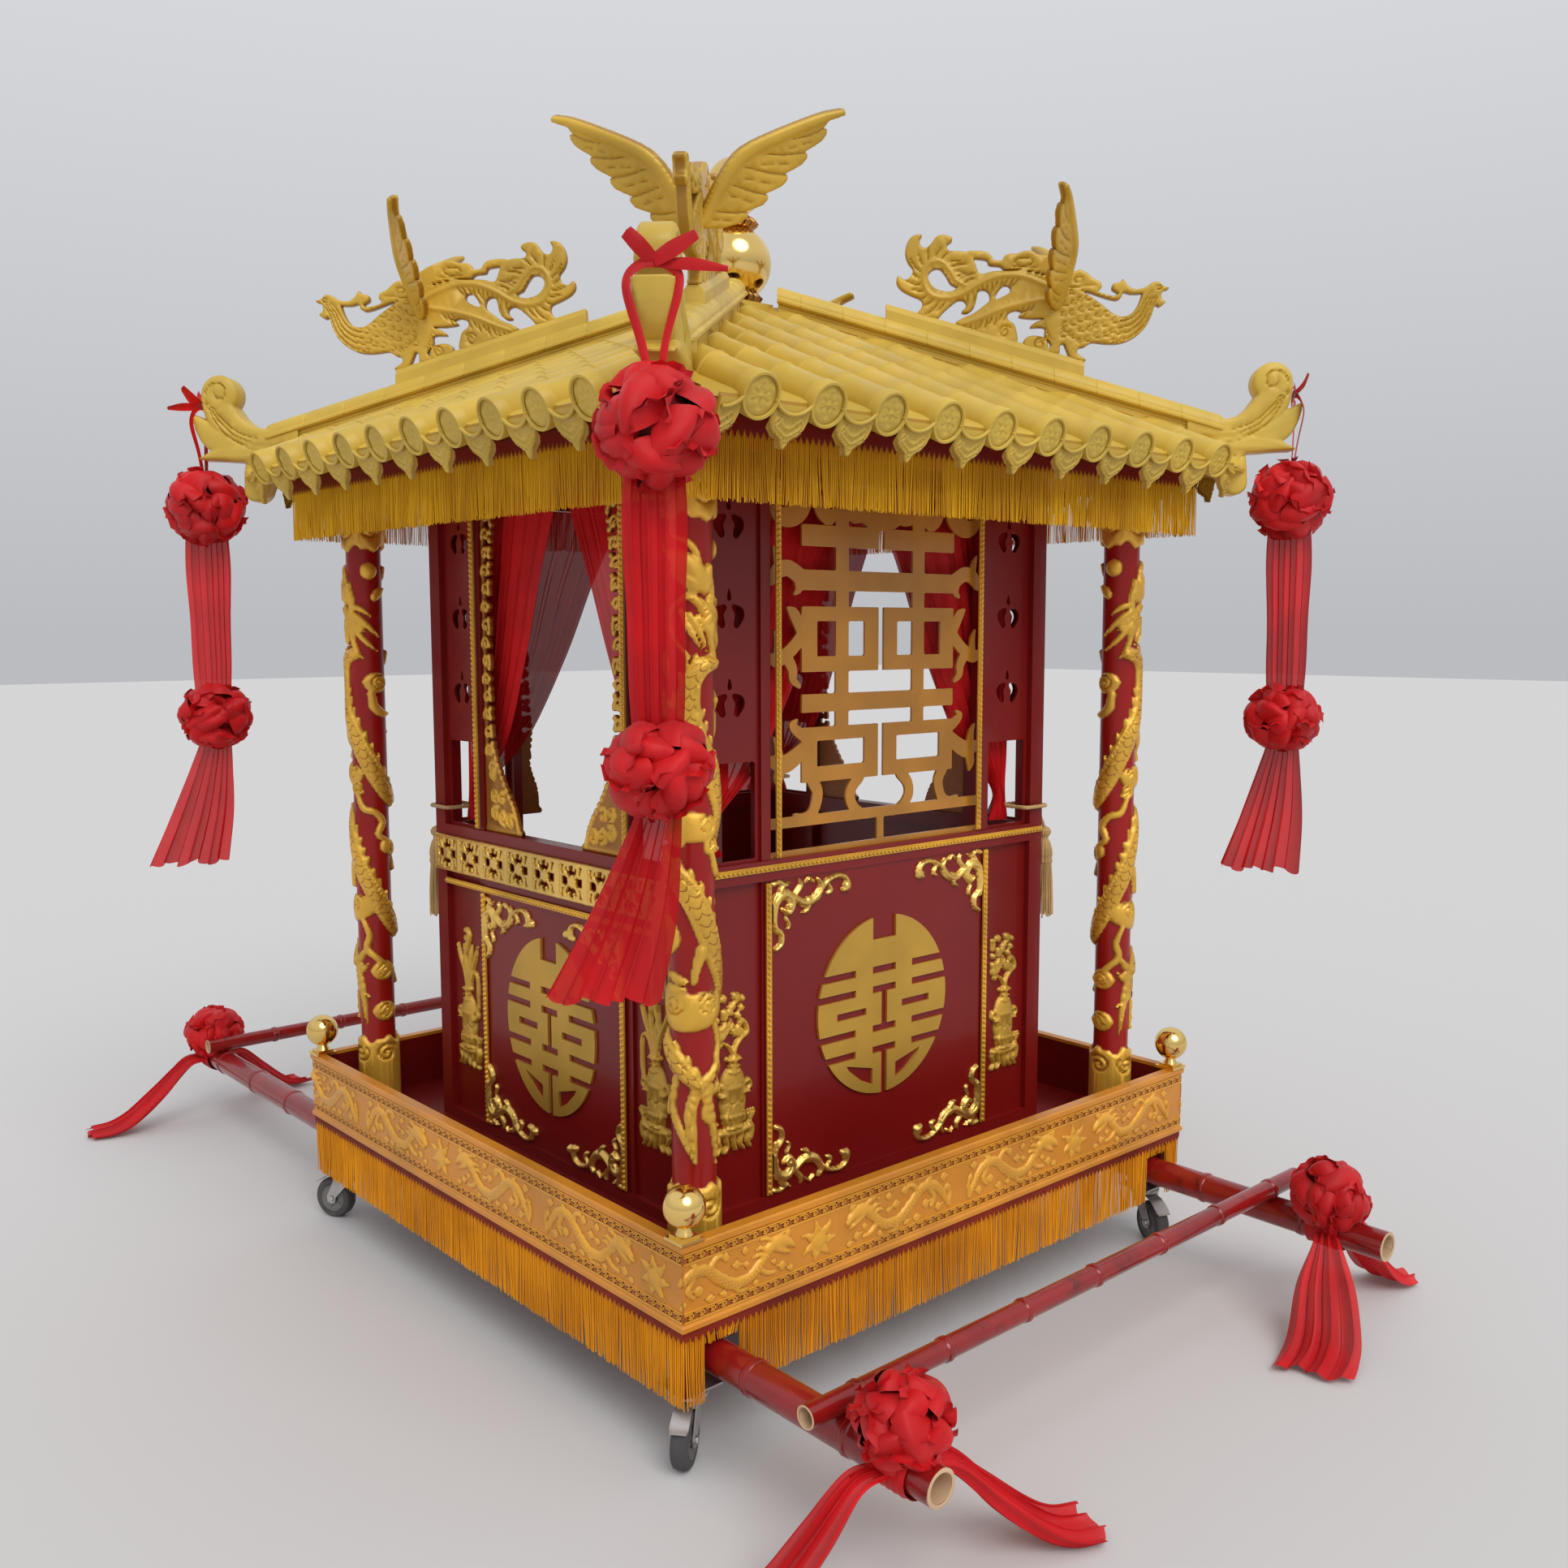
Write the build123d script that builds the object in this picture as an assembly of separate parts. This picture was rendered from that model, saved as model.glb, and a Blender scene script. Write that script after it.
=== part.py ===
"""A wheeled wedding palanquin: a red and gold sedan chair on four swivel casters, with carrying poles.

Millimetres, +Z up, floor at Z = 0. The poles run along Y. The chair's own middle is at (0, 0) here, and
every piece is moved by FRAME_SHIFT when it is written, so that the origin is the middle of the footprint.
The entrance is on the +Y side, the fixed double-happiness window on the -Y side.
"""
import os
from math import atan, atan2, ceil, cos, degrees, radians, sin, sqrt

from build123d import *

# Driving dimensions
FRAME_SHIFT = (0.0, -249.389, 0.0)  # the poles stand out further behind than in front

BASE_HALF = 750.0  # outside of the carved apron, square in plan
APRON_Z = (264.0, 418.0)
APRON_THICK = 15.0
DECK_Z = (276.0, 288.0)
BEAM = 40.0  # square steel tube of the base frame
LEG_AT = 712.0
BEARER_AT = 430.0
FRINGE_OUT = 745.0
FRINGE_THICK = 7.0
BASE_FRINGE_LOW = 120.0

BALL_R = 37.5
BALL_AT = 727.0
BALL_Z = 477.0

COLUMN_AT = 627.0
COLUMN_R = 40.0
COLLAR_R = 49.0
BOTTOM_COLLAR_TOP = 468.0
TOP_COLLAR_Z = (1644.0, 1742.0)

CABIN_X = 530.0  # outside of the cabin's corner posts
CABIN_Y = 487.0
POST = 45.0
SILL_TOP = 312.0
MID_RAIL_Z = (960.0, 1000.0)
HEAD_Z = (1745.0, 1790.0)
MULLION = 24.0
MULLION_X = 327.0  # middle of the uprights in the two wide faces
MULLION_Y = 285.0  # middle of the uprights in the two narrow faces
PANEL_THICK = 12.0
BAND_THICK = 12.0  # pierced bands along the top of the narrow faces' lower walls
BAND_HIGH = 84.0
BAND_Z = 933.0  # height of their middle
MEDALLION_Z = (655.0, 600.0)  # middle of the ovals on the wide face and on the narrow faces

CEILING_Z = (1790.0, 1798.0)
ROOF_BEAM_TOP = 1838.0
EAVE_AT = 845.0  # plane of the round tile ends
EAVE_AXIS_Z = 1822.0
ROOF_SLOPE = 0.417  # fall of a roof face
RIDGE_TOP_Z = 2258.0  # height of the hip ridges' top lines, drawn on to the middle
TILES_PER_SIDE = 10
TILE_PITCH = 146.0
TILE_R = 35.0
PAN_DROP = 14.0  # the pan between the barrel tiles lies this far below their axes
ROOF_ANGLE = atan(ROOF_SLOPE)
ROOF_CAP_HALF = 61.0
ROOF_CAP_TOP = 2190.0
SCROLL_THICK = 65.0
RIDGE_END = 1040.0  # distance from the middle at which a ridge's web runs into its scroll corner
EAVE_FRINGE_LOW = 1664.0

WHEEL_R = 50.0
WHEEL_WIDE = 30.0
CASTER_AT = 690.0
CASTER_TRAIL = 38.0
CASTER_PLATE_Z = (130.0, 134.0)

POLE_R = 32.5
POLE_AT = 655.0
POLE_Z = 185.0
CROSS_R = 21.0
CROSS_Z = POLE_Z + POLE_R + CROSS_R

BOW_AT = 892.0  # hanging bows, straight below the tips of the roof corners

# the lower edge of the roof face on the -Y side: local Y runs up the slope, local Z out of it
EAVE_PLANE = Pos(0, -EAVE_AT, EAVE_AXIS_Z) * Rot(degrees(ROOF_ANGLE), 0, 0)

os.makedirs("parts", exist_ok=True)


def write(shape, node):
    """Moves a piece into the object's frame and writes it as one node."""
    export_step(Pos(*FRAME_SHIFT) * shape, f"parts/{node}.step")


def block(x, y, z):
    """A box between two values on each axis."""
    size = (x[1] - x[0], y[1] - y[0], z[1] - z[0])
    middle = ((x[0] + x[1]) / 2, (y[0] + y[1]) / 2, (z[0] + z[1]) / 2)
    return Pos(*middle) * Box(*size)


def together(shapes):
    return Compound([solid for shape in shapes for solid in shape.solids()])


def four_turns(shape):
    return [Rot(0, 0, 90 * k) * shape for k in range(4)]


def four_corners(x, y):
    return [(sx * x, sy * y) for sx in (-1, 1) for sy in (-1, 1)]


def plate_xz(points, y0, thick):
    """A flat outline drawn in X and Z, standing from y0 towards +Y."""
    face = make_face(Polyline(*[(x, 0, z) for x, z in points], close=True))
    return Pos(0, y0, 0) * extrude(face, amount=thick, dir=(0, 1, 0))


def faceted_ball(radius, sides=12, levels=(-0.94, -0.6, 0.0, 0.6, 0.94)):
    """A gathered cloth flower as a plain faceted ball."""
    rings = []
    for level in levels:
        ring = Pos(0, 0, radius * level) * RegularPolygon(radius * sqrt(1 - level * level), sides)
        rings.append(ring)
    return loft(rings, ruled=True)


# Base
def base_frame():
    """Steel perimeter, two bearers over the poles and a leg down to each caster."""
    out, low = LEG_AT + BEAM / 2, DECK_Z[0] - BEAM
    ring = block((-out, out), (-out, out), (low, DECK_Z[0]))
    inner = out - BEAM
    ring -= block((-inner, inner), (-inner, inner), (low, DECK_Z[0]))
    frame = ring
    for y in (-BEARER_AT, BEARER_AT):
        frame += block((-inner, inner), (y - BEAM / 2, y + BEAM / 2), (low, DECK_Z[0]))
    for x, y in four_corners(LEG_AT, LEG_AT):
        leg = block((x - BEAM / 2, x + BEAM / 2), (y - BEAM / 2, y + BEAM / 2), (CASTER_PLATE_Z[1], low))
        frame += leg
    return frame


def pole_hoops():
    """U straps under the bearers, in which the carrying poles lie."""
    hoops = []
    strap = 4.0
    top = DECK_Z[0] - BEAM
    for x, y in four_corners(POLE_AT, BEARER_AT):
        outer = Cylinder(POLE_R + strap, BEAM) + Pos(0, (top - POLE_Z) / 2, 0) * Box(
            2 * (POLE_R + strap), top - POLE_Z, BEAM
        )
        inner = Cylinder(POLE_R, BEAM) + Pos(0, (top - POLE_Z) / 2, 0) * Box(2 * POLE_R, top - POLE_Z, BEAM)
        hoops.append(Pos(x, y, POLE_Z) * Rot(90, 0, 0) * (outer - inner))
    return together(hoops)


def apron_side():
    """One carved board on the -Y side, with moulded edges, mitred at both ends."""
    low, high = APRON_Z
    face = BASE_HALF - 4.0
    inside = BASE_HALF - APRON_THICK
    outline = [
        (-inside, low),
        (-BASE_HALF, low),
        (-BASE_HALF, low + 8),
        (-face, low + 12),
        (-face, high - 16),
        (-BASE_HALF, high - 12),
        (-BASE_HALF, high - 3),
        (-BASE_HALF + 3, high),
        (-inside + 10, high),
        (-inside + 10, high - 8),
        (-inside, high - 8),
    ]
    profile = make_face(Polyline(*[(-BASE_HALF, y, z) for y, z in outline], close=True))
    board = extrude(profile, amount=2 * BASE_HALF, dir=(1, 0, 0))
    for sign in (-1, 1):
        corner = [(sign * (BASE_HALF + 50), -BASE_HALF - 50), (sign * (BASE_HALF + 50), 0), (0, 0)]
        wedge = make_face(Polyline(*[(x, y, low - 1) for x, y in corner], close=True))
        board -= extrude(wedge, amount=high - low + 2, dir=(0, 0, 1))
    return board


def kerb_lining():
    """Dark inner boards between the deck and the apron's top rail."""
    out = BASE_HALF - APRON_THICK
    thick = 9.0
    walls = []
    for sign in (-1, 1):
        across = sorted((sign * out, sign * (out - thick)))
        walls.append(block((-out + thick, out - thick), across, (DECK_Z[1], APRON_Z[1] - 8)))
        walls.append(block(across, (-out, out), (DECK_Z[1], APRON_Z[1] - 8)))
    ring = walls[0]
    for wall in walls[1:]:
        ring += wall
    return ring


def corner_finial():
    """A polished ball on a flared neck and a two-step square foot."""
    foot = APRON_Z[1]
    steps = block((-25, 25), (-25, 25), (foot, foot + 6)) + block((-19, 19), (-19, 19), (foot + 6, foot + 11))
    neck = Pos(0, 0, foot + 11 + 8) * Cone(16, 9, 16)
    return steps + neck + Pos(0, 0, BALL_Z) * Sphere(BALL_R)


def base_fringe_side(with_gaps):
    """One side of the long skirt; the front and rear sides part around the poles."""
    low, high = BASE_FRINGE_LOW, APRON_Z[0]
    half = FRINGE_OUT - (FRINGE_THICK + 1 if with_gaps else 0)
    gap = POLE_R + 6
    points = [(-half, low)]
    if with_gaps:
        for x in (-POLE_AT, POLE_AT):
            points += [(x - gap, low), (x - gap, POLE_Z + gap), (x + gap, POLE_Z + gap), (x + gap, low)]
    points += [(half, low), (half, high), (-half, high)]
    return plate_xz(points, -FRINGE_OUT, FRINGE_THICK)


# Columns
def column():
    return block_cylinder(COLUMN_R, DECK_Z[1], CEILING_Z[0])


def block_cylinder(radius, low, high):
    return Pos(0, 0, (low + high) / 2) * Cylinder(radius, high - low)


def column_collar(low, high):
    """A cloud collar, wider in the middle, around the column."""
    shoulder = (high - low) / 4
    outline = [
        (COLUMN_R, low),
        (COLLAR_R - 3, low),
        (COLLAR_R, low + shoulder),
        (COLLAR_R, high - shoulder),
        (COLLAR_R - 5, high),
        (COLUMN_R, high),
    ]
    face = make_face(Polyline(*[(r, 0, z) for r, z in outline], close=True))
    return revolve(face, Axis.Z)


# The dragon carved round a column, from its neck down to its tail, with its head and clouds.
# columns: how far proud, then points along the form (degrees round the column from the chair's outer
# corner, height, half width)
DRAGON_FORMS = [
    (13, [(72, 1398, 13), (38, 1391, 16), (12, 1369, 18), (2, 1333, 20), (8, 1290, 21), (28, 1250, 22),
          (60, 1212, 22), (95, 1158, 22), (137, 1100, 22), (185, 1056, 21), (232, 1046, 20), (278, 1050, 20),
          (316, 1036, 21), (354, 1006, 22), (383, 970, 22), (404, 932, 21), (424, 896, 21), (455, 850, 21),
          (497, 790, 21), (548, 737, 20), (594, 724, 19), (632, 724, 19), (667, 708, 19), (703, 682, 17),
          (743, 652, 12)]),  # body
    (14, [(-40, 1585, 10), (-12, 1563, 24), (22, 1530, 28), (48, 1490, 18), (64, 1440, 12)]),  # head
    (9, [(62, 1475, 30), (100, 1455, 26), (150, 1430, 5)]),  # mane
    (9, [(-60, 1100, 8), (-30, 1112, 26), (10, 1115, 30), (55, 1114, 22)]),  # clouds under the two claws
    (9, [(-80, 800, 40), (-40, 796, 44), (0, 790, 38), (40, 795, 36), (78, 800, 26)]),
    (8, [(104, 1330, 8), (138, 1328, 26), (150, 1290, 18), (199, 1257, 5)]),  # clouds behind
    (8, [(96, 637, 8), (134, 636, 24), (172, 636, 8)]),
    (8, [(97, 537, 8), (135, 536, 24), (173, 536, 8)]),
    (7, [(20, 652, 14), (0, 603, 13), (4, 556, 9), (12, 513, 2)]),  # tail
    (7, [(36, 645, 14), (59, 588, 10), (71, 507, 2)]),
]
# columns: across a form in half widths, share of its height; below 0 is inside the column
DRAGON_SECTION = [
    (1.0, -0.5),
    (0.92, 0.38),
    (0.45, 0.88),
    (0.0, 1.0),
    (-0.45, 0.88),
    (-0.92, 0.38),
    (-1.0, -0.5),
]
DRAGON_STEP = 24.0  # degrees between two sections at most
DRAGON_ROOT = 6.0  # how deep the forms start inside the column, before they are cut to it
PEARL = (125, 1592, 19)  # degrees, height, radius


def on_column(angle, height, out):
    """A point on a column that stands at the origin, with the angle counted clockwise from +X."""
    radius = COLUMN_R + out
    return Vector(radius * cos(radians(angle)), -radius * sin(radians(angle)), height)


def closer_points(points):
    """The same line with more points, so that it follows the column."""
    line = [points[0]]
    for before, after in zip(points, points[1:]):
        count = max(1, ceil(abs(after[0] - before[0]) / DRAGON_STEP))
        for k in range(1, count + 1):
            line.append(tuple(a + (b - a) * k / count for a, b in zip(before, after)))
    return line


def wound_ring(line, k, proud):
    """The section of a wound form at one point of its line."""
    before, after = line[max(k - 1, 0)], line[min(k + 1, len(line) - 1)]
    run, rise = radians(after[0] - before[0]) * COLUMN_R, after[1] - before[1]
    length = sqrt(run * run + rise * rise)
    angle, height, half = line[k]
    ring = []
    for across, share in DRAGON_SECTION:
        turn = angle - degrees(across * half * rise / length / COLUMN_R)
        out = share * proud if share > 0 else -DRAGON_ROOT
        ring.append(on_column(turn, height + across * half * run / length, out))
    return ring


def wound_form(points, proud):
    """A faceted form that follows the column's surface."""
    line = closer_points(points)
    rings = [wound_ring(line, k, proud) for k in range(len(line))]
    corners = []
    for lower, upper in zip(rings, rings[1:]):
        for j in range(len(DRAGON_SECTION)):
            m = (j + 1) % len(DRAGON_SECTION)
            corners.append((lower[j], upper[j], upper[m]))
            corners.append((lower[j], upper[m], lower[m]))
    for ring in (rings[0], rings[-1]):
        for j in range(1, len(ring) - 1):
            corners.append((ring[0], ring[j], ring[j + 1]))
    return Solid(Shell([Face(Wire.make_polygon(three)) for three in corners]))


def column_dragon():
    """The dragon on a column at the origin, with the chair's outer corner towards +X."""
    angle, height, radius = PEARL
    dragon = Pos(*on_column(angle, height, -4)) * Sphere(radius)
    for proud, points in DRAGON_FORMS:
        dragon += wound_form(points, proud)
    return dragon - block_cylinder(COLUMN_R, DECK_Z[1], CEILING_Z[0])


def column_dragons():
    """The dragons face out of the chair's corners, and the left ones mirror the right ones."""
    dragon = column_dragon()
    placed = []
    for sx, sy in four_corners(1, 1):
        one = Pos(COLUMN_AT, sy * COLUMN_AT, 0) * Rot(0, 0, sy * 45) * dragon
        placed.append(one if sx > 0 else mirror(one, Plane.YZ))
    return together(placed)


# Cabin
def wall_uprights():
    """Corner posts and mullions, from the deck to the ceiling."""
    z = (DECK_Z[1], CEILING_Z[0])
    uprights = []
    for sx, sy in four_corners(1, 1):
        x, y = sx * (CABIN_X - POST / 2), sy * (CABIN_Y - POST / 2)
        uprights.append(block((x - POST / 2, x + POST / 2), (y - POST / 2, y + POST / 2), z))
        mx, my = sx * MULLION_X, sy * (CABIN_Y - POST / 2)
        uprights.append(block((mx - MULLION / 2, mx + MULLION / 2), (my - 16, my + 16), z))
        mx, my = sx * (CABIN_X - POST / 2), sy * MULLION_Y
        uprights.append(block((mx - 16, mx + 16), (my - MULLION / 2, my + MULLION / 2), z))
    return uprights


def cabin_frame():
    """Posts, mullions and the sill, middle and head rails, glued up as one frame."""
    frame = None
    for upright in wall_uprights():
        frame = upright if frame is None else frame + upright
    x_out, y_out = CABIN_X, CABIN_Y
    rails = [(DECK_Z[1], SILL_TOP), MID_RAIL_Z, HEAD_Z]
    for z in rails:
        depth = 36.0
        for sign in (-1, 1):
            across = sorted((sign * x_out, sign * (x_out - depth)))
            frame += block(across, (-y_out + POST, y_out - POST), z)
            across = sorted((sign * y_out, sign * (y_out - depth)))
            frame += block((-x_out + POST, x_out - POST), across, z)
    door_half = MULLION_X - MULLION / 2
    frame -= block((-door_half, door_half), (y_out - POST, y_out), MID_RAIL_Z)
    return frame


def lower_panels():
    """Boards below the middle rail: a proud middle board and a sunk one on each side of it."""
    z = (SILL_TOP, MID_RAIL_Z[0])
    boards = []
    mid_x, mid_y = MULLION_X - MULLION / 2, MULLION_Y - MULLION / 2
    bay_x = (MULLION_X + MULLION / 2, CABIN_X - POST)
    bay_y = (MULLION_Y + MULLION / 2, CABIN_Y - POST)
    proud, sunk = 4.0, 14.0
    for sign in (-1, 1):
        if sign < 0:
            face = sorted((sign * (CABIN_Y - proud), sign * (CABIN_Y - proud - PANEL_THICK)))
            boards.append(block((-mid_x, mid_x), face, z))
        face = sorted((sign * (CABIN_X - proud), sign * (CABIN_X - proud - PANEL_THICK)))
        boards.append(block(face, (-mid_y, mid_y), z))
        for side in (-1, 1):
            face = sorted((sign * (CABIN_Y - sunk), sign * (CABIN_Y - sunk - PANEL_THICK)))
            boards.append(block(sorted((side * bay_x[0], side * bay_x[1])), face, z))
            face = sorted((sign * (CABIN_X - sunk), sign * (CABIN_X - sunk - PANEL_THICK)))
            boards.append(block(face, sorted((side * bay_y[0], side * bay_y[1])), z))
    return together(boards)


def screen_plate(width, height):
    """A laser-cut screen: a thin frame with fret bars, open at the bottom."""
    plate = Box(width, 5, height)
    pane_w = width - 28
    for low, high in ((24, 96), (120, 300), (324, 560), (584, height - 24)):
        middle = -height / 2 + (low + high) / 2
        for side in (-1, 1):
            plate -= Pos(side * pane_w / 4, 0, middle) * Box(pane_w / 2 - 10, 6, high - low)
    return plate


def side_screens():
    """One screen above each sunk board."""
    z0, z1 = MID_RAIL_Z[1], HEAD_Z[0]
    depth = 16.0
    screens = []
    for sx, sy in four_corners(1, 1):
        x0, x1 = MULLION_X + MULLION / 2, CABIN_X - POST
        plate = screen_plate(x1 - x0, z1 - z0)
        screens.append(Pos(sx * (x0 + x1) / 2, sy * (CABIN_Y - depth), (z0 + z1) / 2) * plate)
        y0, y1 = MULLION_Y + MULLION / 2, CABIN_Y - POST
        plate = Rot(0, 0, 90) * screen_plate(y1 - y0, z1 - z0)
        screens.append(Pos(sx * (CABIN_X - depth), sy * (y0 + y1) / 2, (z0 + z1) / 2) * plate)
    return together(screens)


# Half of the double-happiness character, in units of its own cell.
# columns: left, right, bottom, top (millimetres from the middle line and from the window's foot)
HAPPINESS_BARS = [
    (8, 222, 520, 562),
    (96, 132, 155, 640),
    (0, 222, 436, 478),
    (8, 222, 376, 404),
    (8, 44, 286, 404),
    (186, 222, 286, 404),
    (8, 222, 286, 318),
    (0, 222, 220, 258),
    (8, 222, 158, 188),
    (8, 44, 78, 188),
    (186, 222, 78, 188),
    (8, 222, 78, 108),
    (96, 132, 40, 80),
]


def rear_window_screen():
    """Flat gold screen in the -Y window: the double-happiness character in a border."""
    width = 2 * (MULLION_X - MULLION / 2)
    z0, z1 = MID_RAIL_Z[1], HEAD_Z[0]
    height = z1 - z0
    thick = 5.0
    border = 16.0
    screen = Box(width, thick, height) - Box(width - 2 * border, thick, height - 2 * border)
    foot = -height / 2
    for left, right, low, high in HAPPINESS_BARS:
        for side in (-1, 1):
            x = sorted((side * left, side * right))
            screen += block(x, (-thick / 2, thick / 2), (foot + 60 + low, foot + 60 + high))
    for z in (96, 512):
        screen += Pos(0, 0, foot + z) * Box(width - 10, thick, 16)
    screen += Pos(0, 0, foot + 50) * Box(16, thick, 100)
    screen += Pos(0, 0, height / 2 - 25) * Box(16, thick, 50)
    return Pos(0, -CABIN_Y + 16, (z0 + z1) / 2) * screen


def fretwork_side(inner, reach, height):
    """The carved strip beside a window: narrow above, flaring to a bracket at the foot."""
    return [
        (inner, 0),
        (inner - reach, 0),
        (inner - reach + 12, 40),
        (inner - reach * 0.62, 110),
        (inner - 46, 190),
        (inner - 30, 300),
        (inner - 30, height - 120),
        (inner - 48, height - 40),
        (inner - 70, height),
        (inner, height),
    ]


def window_fretwork():
    """Carved gilt strips on both sides of the open windows and of the doorway."""
    z0, z1 = MID_RAIL_Z[1], HEAD_Z[0]
    height = z1 - z0
    strips = []
    for side in (-1, 1):
        half = MULLION_Y - MULLION / 2
        outline = [(side * x, z0 + z) for x, z in fretwork_side(half, 150, height)]
        for sign in (-1, 1):
            strip = plate_xz(outline, -6, 12)
            strips.append(Pos(sign * (CABIN_X - 16), 0, 0) * Rot(0, 0, 90) * strip)
        half = MULLION_X - MULLION / 2
        outline = [(side * x, z0 + z) for x, z in fretwork_side(half, 60, height)]
        strips.append(Pos(0, CABIN_Y - 16, 0) * plate_xz(outline, -6, 12))
    return together(strips)


def pierced_band():
    """A band of square scroll panels along the top of a lower wall, standing proud of it."""
    panels = 9
    pitch = 2 * (CABIN_Y - 12) / panels
    band = Box(BAND_THICK, panels * pitch, BAND_HIGH)
    for k in range(panels):
        y = (k - (panels - 1) / 2) * pitch
        for sy, sz in four_corners(pitch * 0.24, BAND_HIGH * 0.24):
            band -= Pos(0, y + sy, sz) * Box(BAND_THICK, pitch * 0.3, BAND_HIGH * 0.3)
    return band


def pierced_bands():
    out = CABIN_X + BAND_THICK / 2
    return together([Pos(sign * out, 0, BAND_Z) * pierced_band() for sign in (-1, 1)])


def oval_happiness(width, height):
    """The openwork oval double-happiness medallion, cut from one plate."""
    thick = 6.0
    oval = extrude(Ellipse(width / 2, height / 2), amount=thick)
    cell_w, cell_h = width / 100.0, height / 100.0
    # columns: left, right, bottom, top, in hundredths of the oval; mirrored on both halves
    slots = [
        (0, 9, 37, 60),
        (0, 9, 18, 22),
        (22, 60, 18, 22),
        (22, 60, 7, 11),
        (0, 9, 7, 11),
        (0, 2.2, -12, 7),
        (14, 36, -4, 0),
        (0, 9, -15, -11),
        (22, 60, -15, -11),
        (22, 60, -27, -23),
        (0, 9, -27, -23),
        (0, 2.2, -60, -23),
    ]
    for left, right, low, high in slots:
        for side in (-1, 1):
            x = sorted((side * left * cell_w, side * right * cell_w))
            oval -= block(x, (low * cell_h, high * cell_h), (0, thick))
    for side in (-1, 1):
        points = [(9, -35), (9, -44), (18, -40), (27, -33), (29, -30)]
        outline = [(side * x * cell_w, z * cell_h, 0) for x, z in points]
        oval -= extrude(make_face(Polyline(*outline, close=True)), amount=thick, dir=(0, 0, 1))
    return oval


def wall_medallions():
    """One medallion on each closed middle board."""
    face_y = CABIN_Y - 4.0
    face_x = CABIN_X - 4.0
    rear = Pos(0, -face_y, MEDALLION_Z[0]) * Rot(90, 0, 0) * oval_happiness(388, 388)
    side = oval_happiness(346, 388)
    left = Pos(-face_x, 0, MEDALLION_Z[1]) * Rot(0, 0, -90) * Rot(90, 0, 0) * side
    right = Pos(face_x, 0, MEDALLION_Z[1]) * Rot(0, 0, 90) * Rot(90, 0, 0) * side
    return together([rear, left, right])


def bench():
    return block((-CABIN_X + POST + 4, CABIN_X - POST - 4), (-CABIN_Y + POST + 4, -90), (DECK_Z[1], 640))


def seat_cushion():
    return block((-CABIN_X + POST + 14, CABIN_X - POST - 14), (-CABIN_Y + POST + 14, -96), (640, 700))


def curtain(window_half, post, low, high):
    """One half of a parted curtain: it meets its twin at the head and is drawn aside to the corner post."""
    tie = low + 70
    return [
        (post - 2, tie + 16),
        (post - 18, tie - 22),
        (post - 50, tie - 6),
        (window_half - 10, tie + 100),
        (window_half * 0.52, tie + 330),
        (12, high),
        (post - 2, high),
    ]


def window_curtains():
    """Parted curtains inside the four openings."""
    z0, z1 = MID_RAIL_Z[1] + 4, HEAD_Z[1] - 4
    pairs = []
    for side in (-1, 1):
        outline = [(side * x, z) for x, z in curtain(MULLION_Y, CABIN_Y - POST - 16, z0, z1)]
        for sign in (-1, 1):
            strip = plate_xz(outline, -3, 6)
            pairs.append(Pos(sign * (CABIN_X - POST - 8), 0, 0) * Rot(0, 0, 90) * strip)
        outline = [(side * x, z) for x, z in curtain(MULLION_X, CABIN_X - POST - 24, z0, z1)]
        pairs.append(Pos(0, -CABIN_Y + POST + 8, 0) * plate_xz(outline, -3, 6))
        pairs.append(Pos(0, CABIN_Y - POST - 8, 0) * plate_xz(outline, -3, 6))
    return pairs


# Tie ropes: closed loops round the corner posts, through the screens' lower openings.
ROPE_R = 5.0
ROPE_Z = MID_RAIL_Z[1] + 40
ROPE_INNER = (459.0, 416.0)  # the loop's inner runs, through the screens' lower openings
ROPE_OUTER = (CABIN_X + 9, CABIN_Y + 9)
# columns: corner in X, corner in Y, 1 where the tassel hangs on the face along Y and 0 on the face along X
TASSEL_CORNERS = [(-1, -1, 1), (-1, 1, 0), (1, -1, 1), (1, 1, 0)]


def tie_rope(sx, sy, on_side):
    """The loop and the strand that the tassel hangs from."""
    x0, x1 = ROPE_INNER[0], ROPE_OUTER[0]
    y0, y1 = ROPE_INNER[1], ROPE_OUTER[1]
    corners = [(x0, y0, ROPE_Z), (x1, y0, ROPE_Z), (x1, y1, ROPE_Z), (x0, y1, ROPE_Z)]
    loop = FilletPolyline(*corners, radius=12, close=True)
    rope = sweep(Plane(origin=loop @ 0, z_dir=loop % 0) * Circle(ROPE_R), path=loop)
    x, y = tassel_place(on_side, 0)
    x_low, y_low = tassel_place(on_side, TASSEL_OUT)
    strand = Line((x, y, ROPE_Z), (x_low, y_low, TASSEL_TOP - 2))
    rope += sweep(Plane(origin=strand @ 0, z_dir=strand % 0) * Circle(ROPE_R - 1), path=strand)
    return mirrored(rope - tassel(1, 1, on_side), sx, sy)


def tassel_place(on_side, out):
    """Where the strand is, at a distance from the rope's line."""
    if on_side:
        return ROPE_OUTER[0] + out, CABIN_Y - 24
    return CABIN_X - 24, ROPE_OUTER[1] + out


def mirrored(shape, sx, sy):
    if sx < 0:
        shape = mirror(shape, Plane.YZ)
    if sy < 0:
        shape = mirror(shape, Plane.XZ)
    return shape


TASSEL_TOP = 985.0
TASSEL_OUT = 32.0  # the tassels hang this much further out than the rope, clear of the walls' bands


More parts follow.
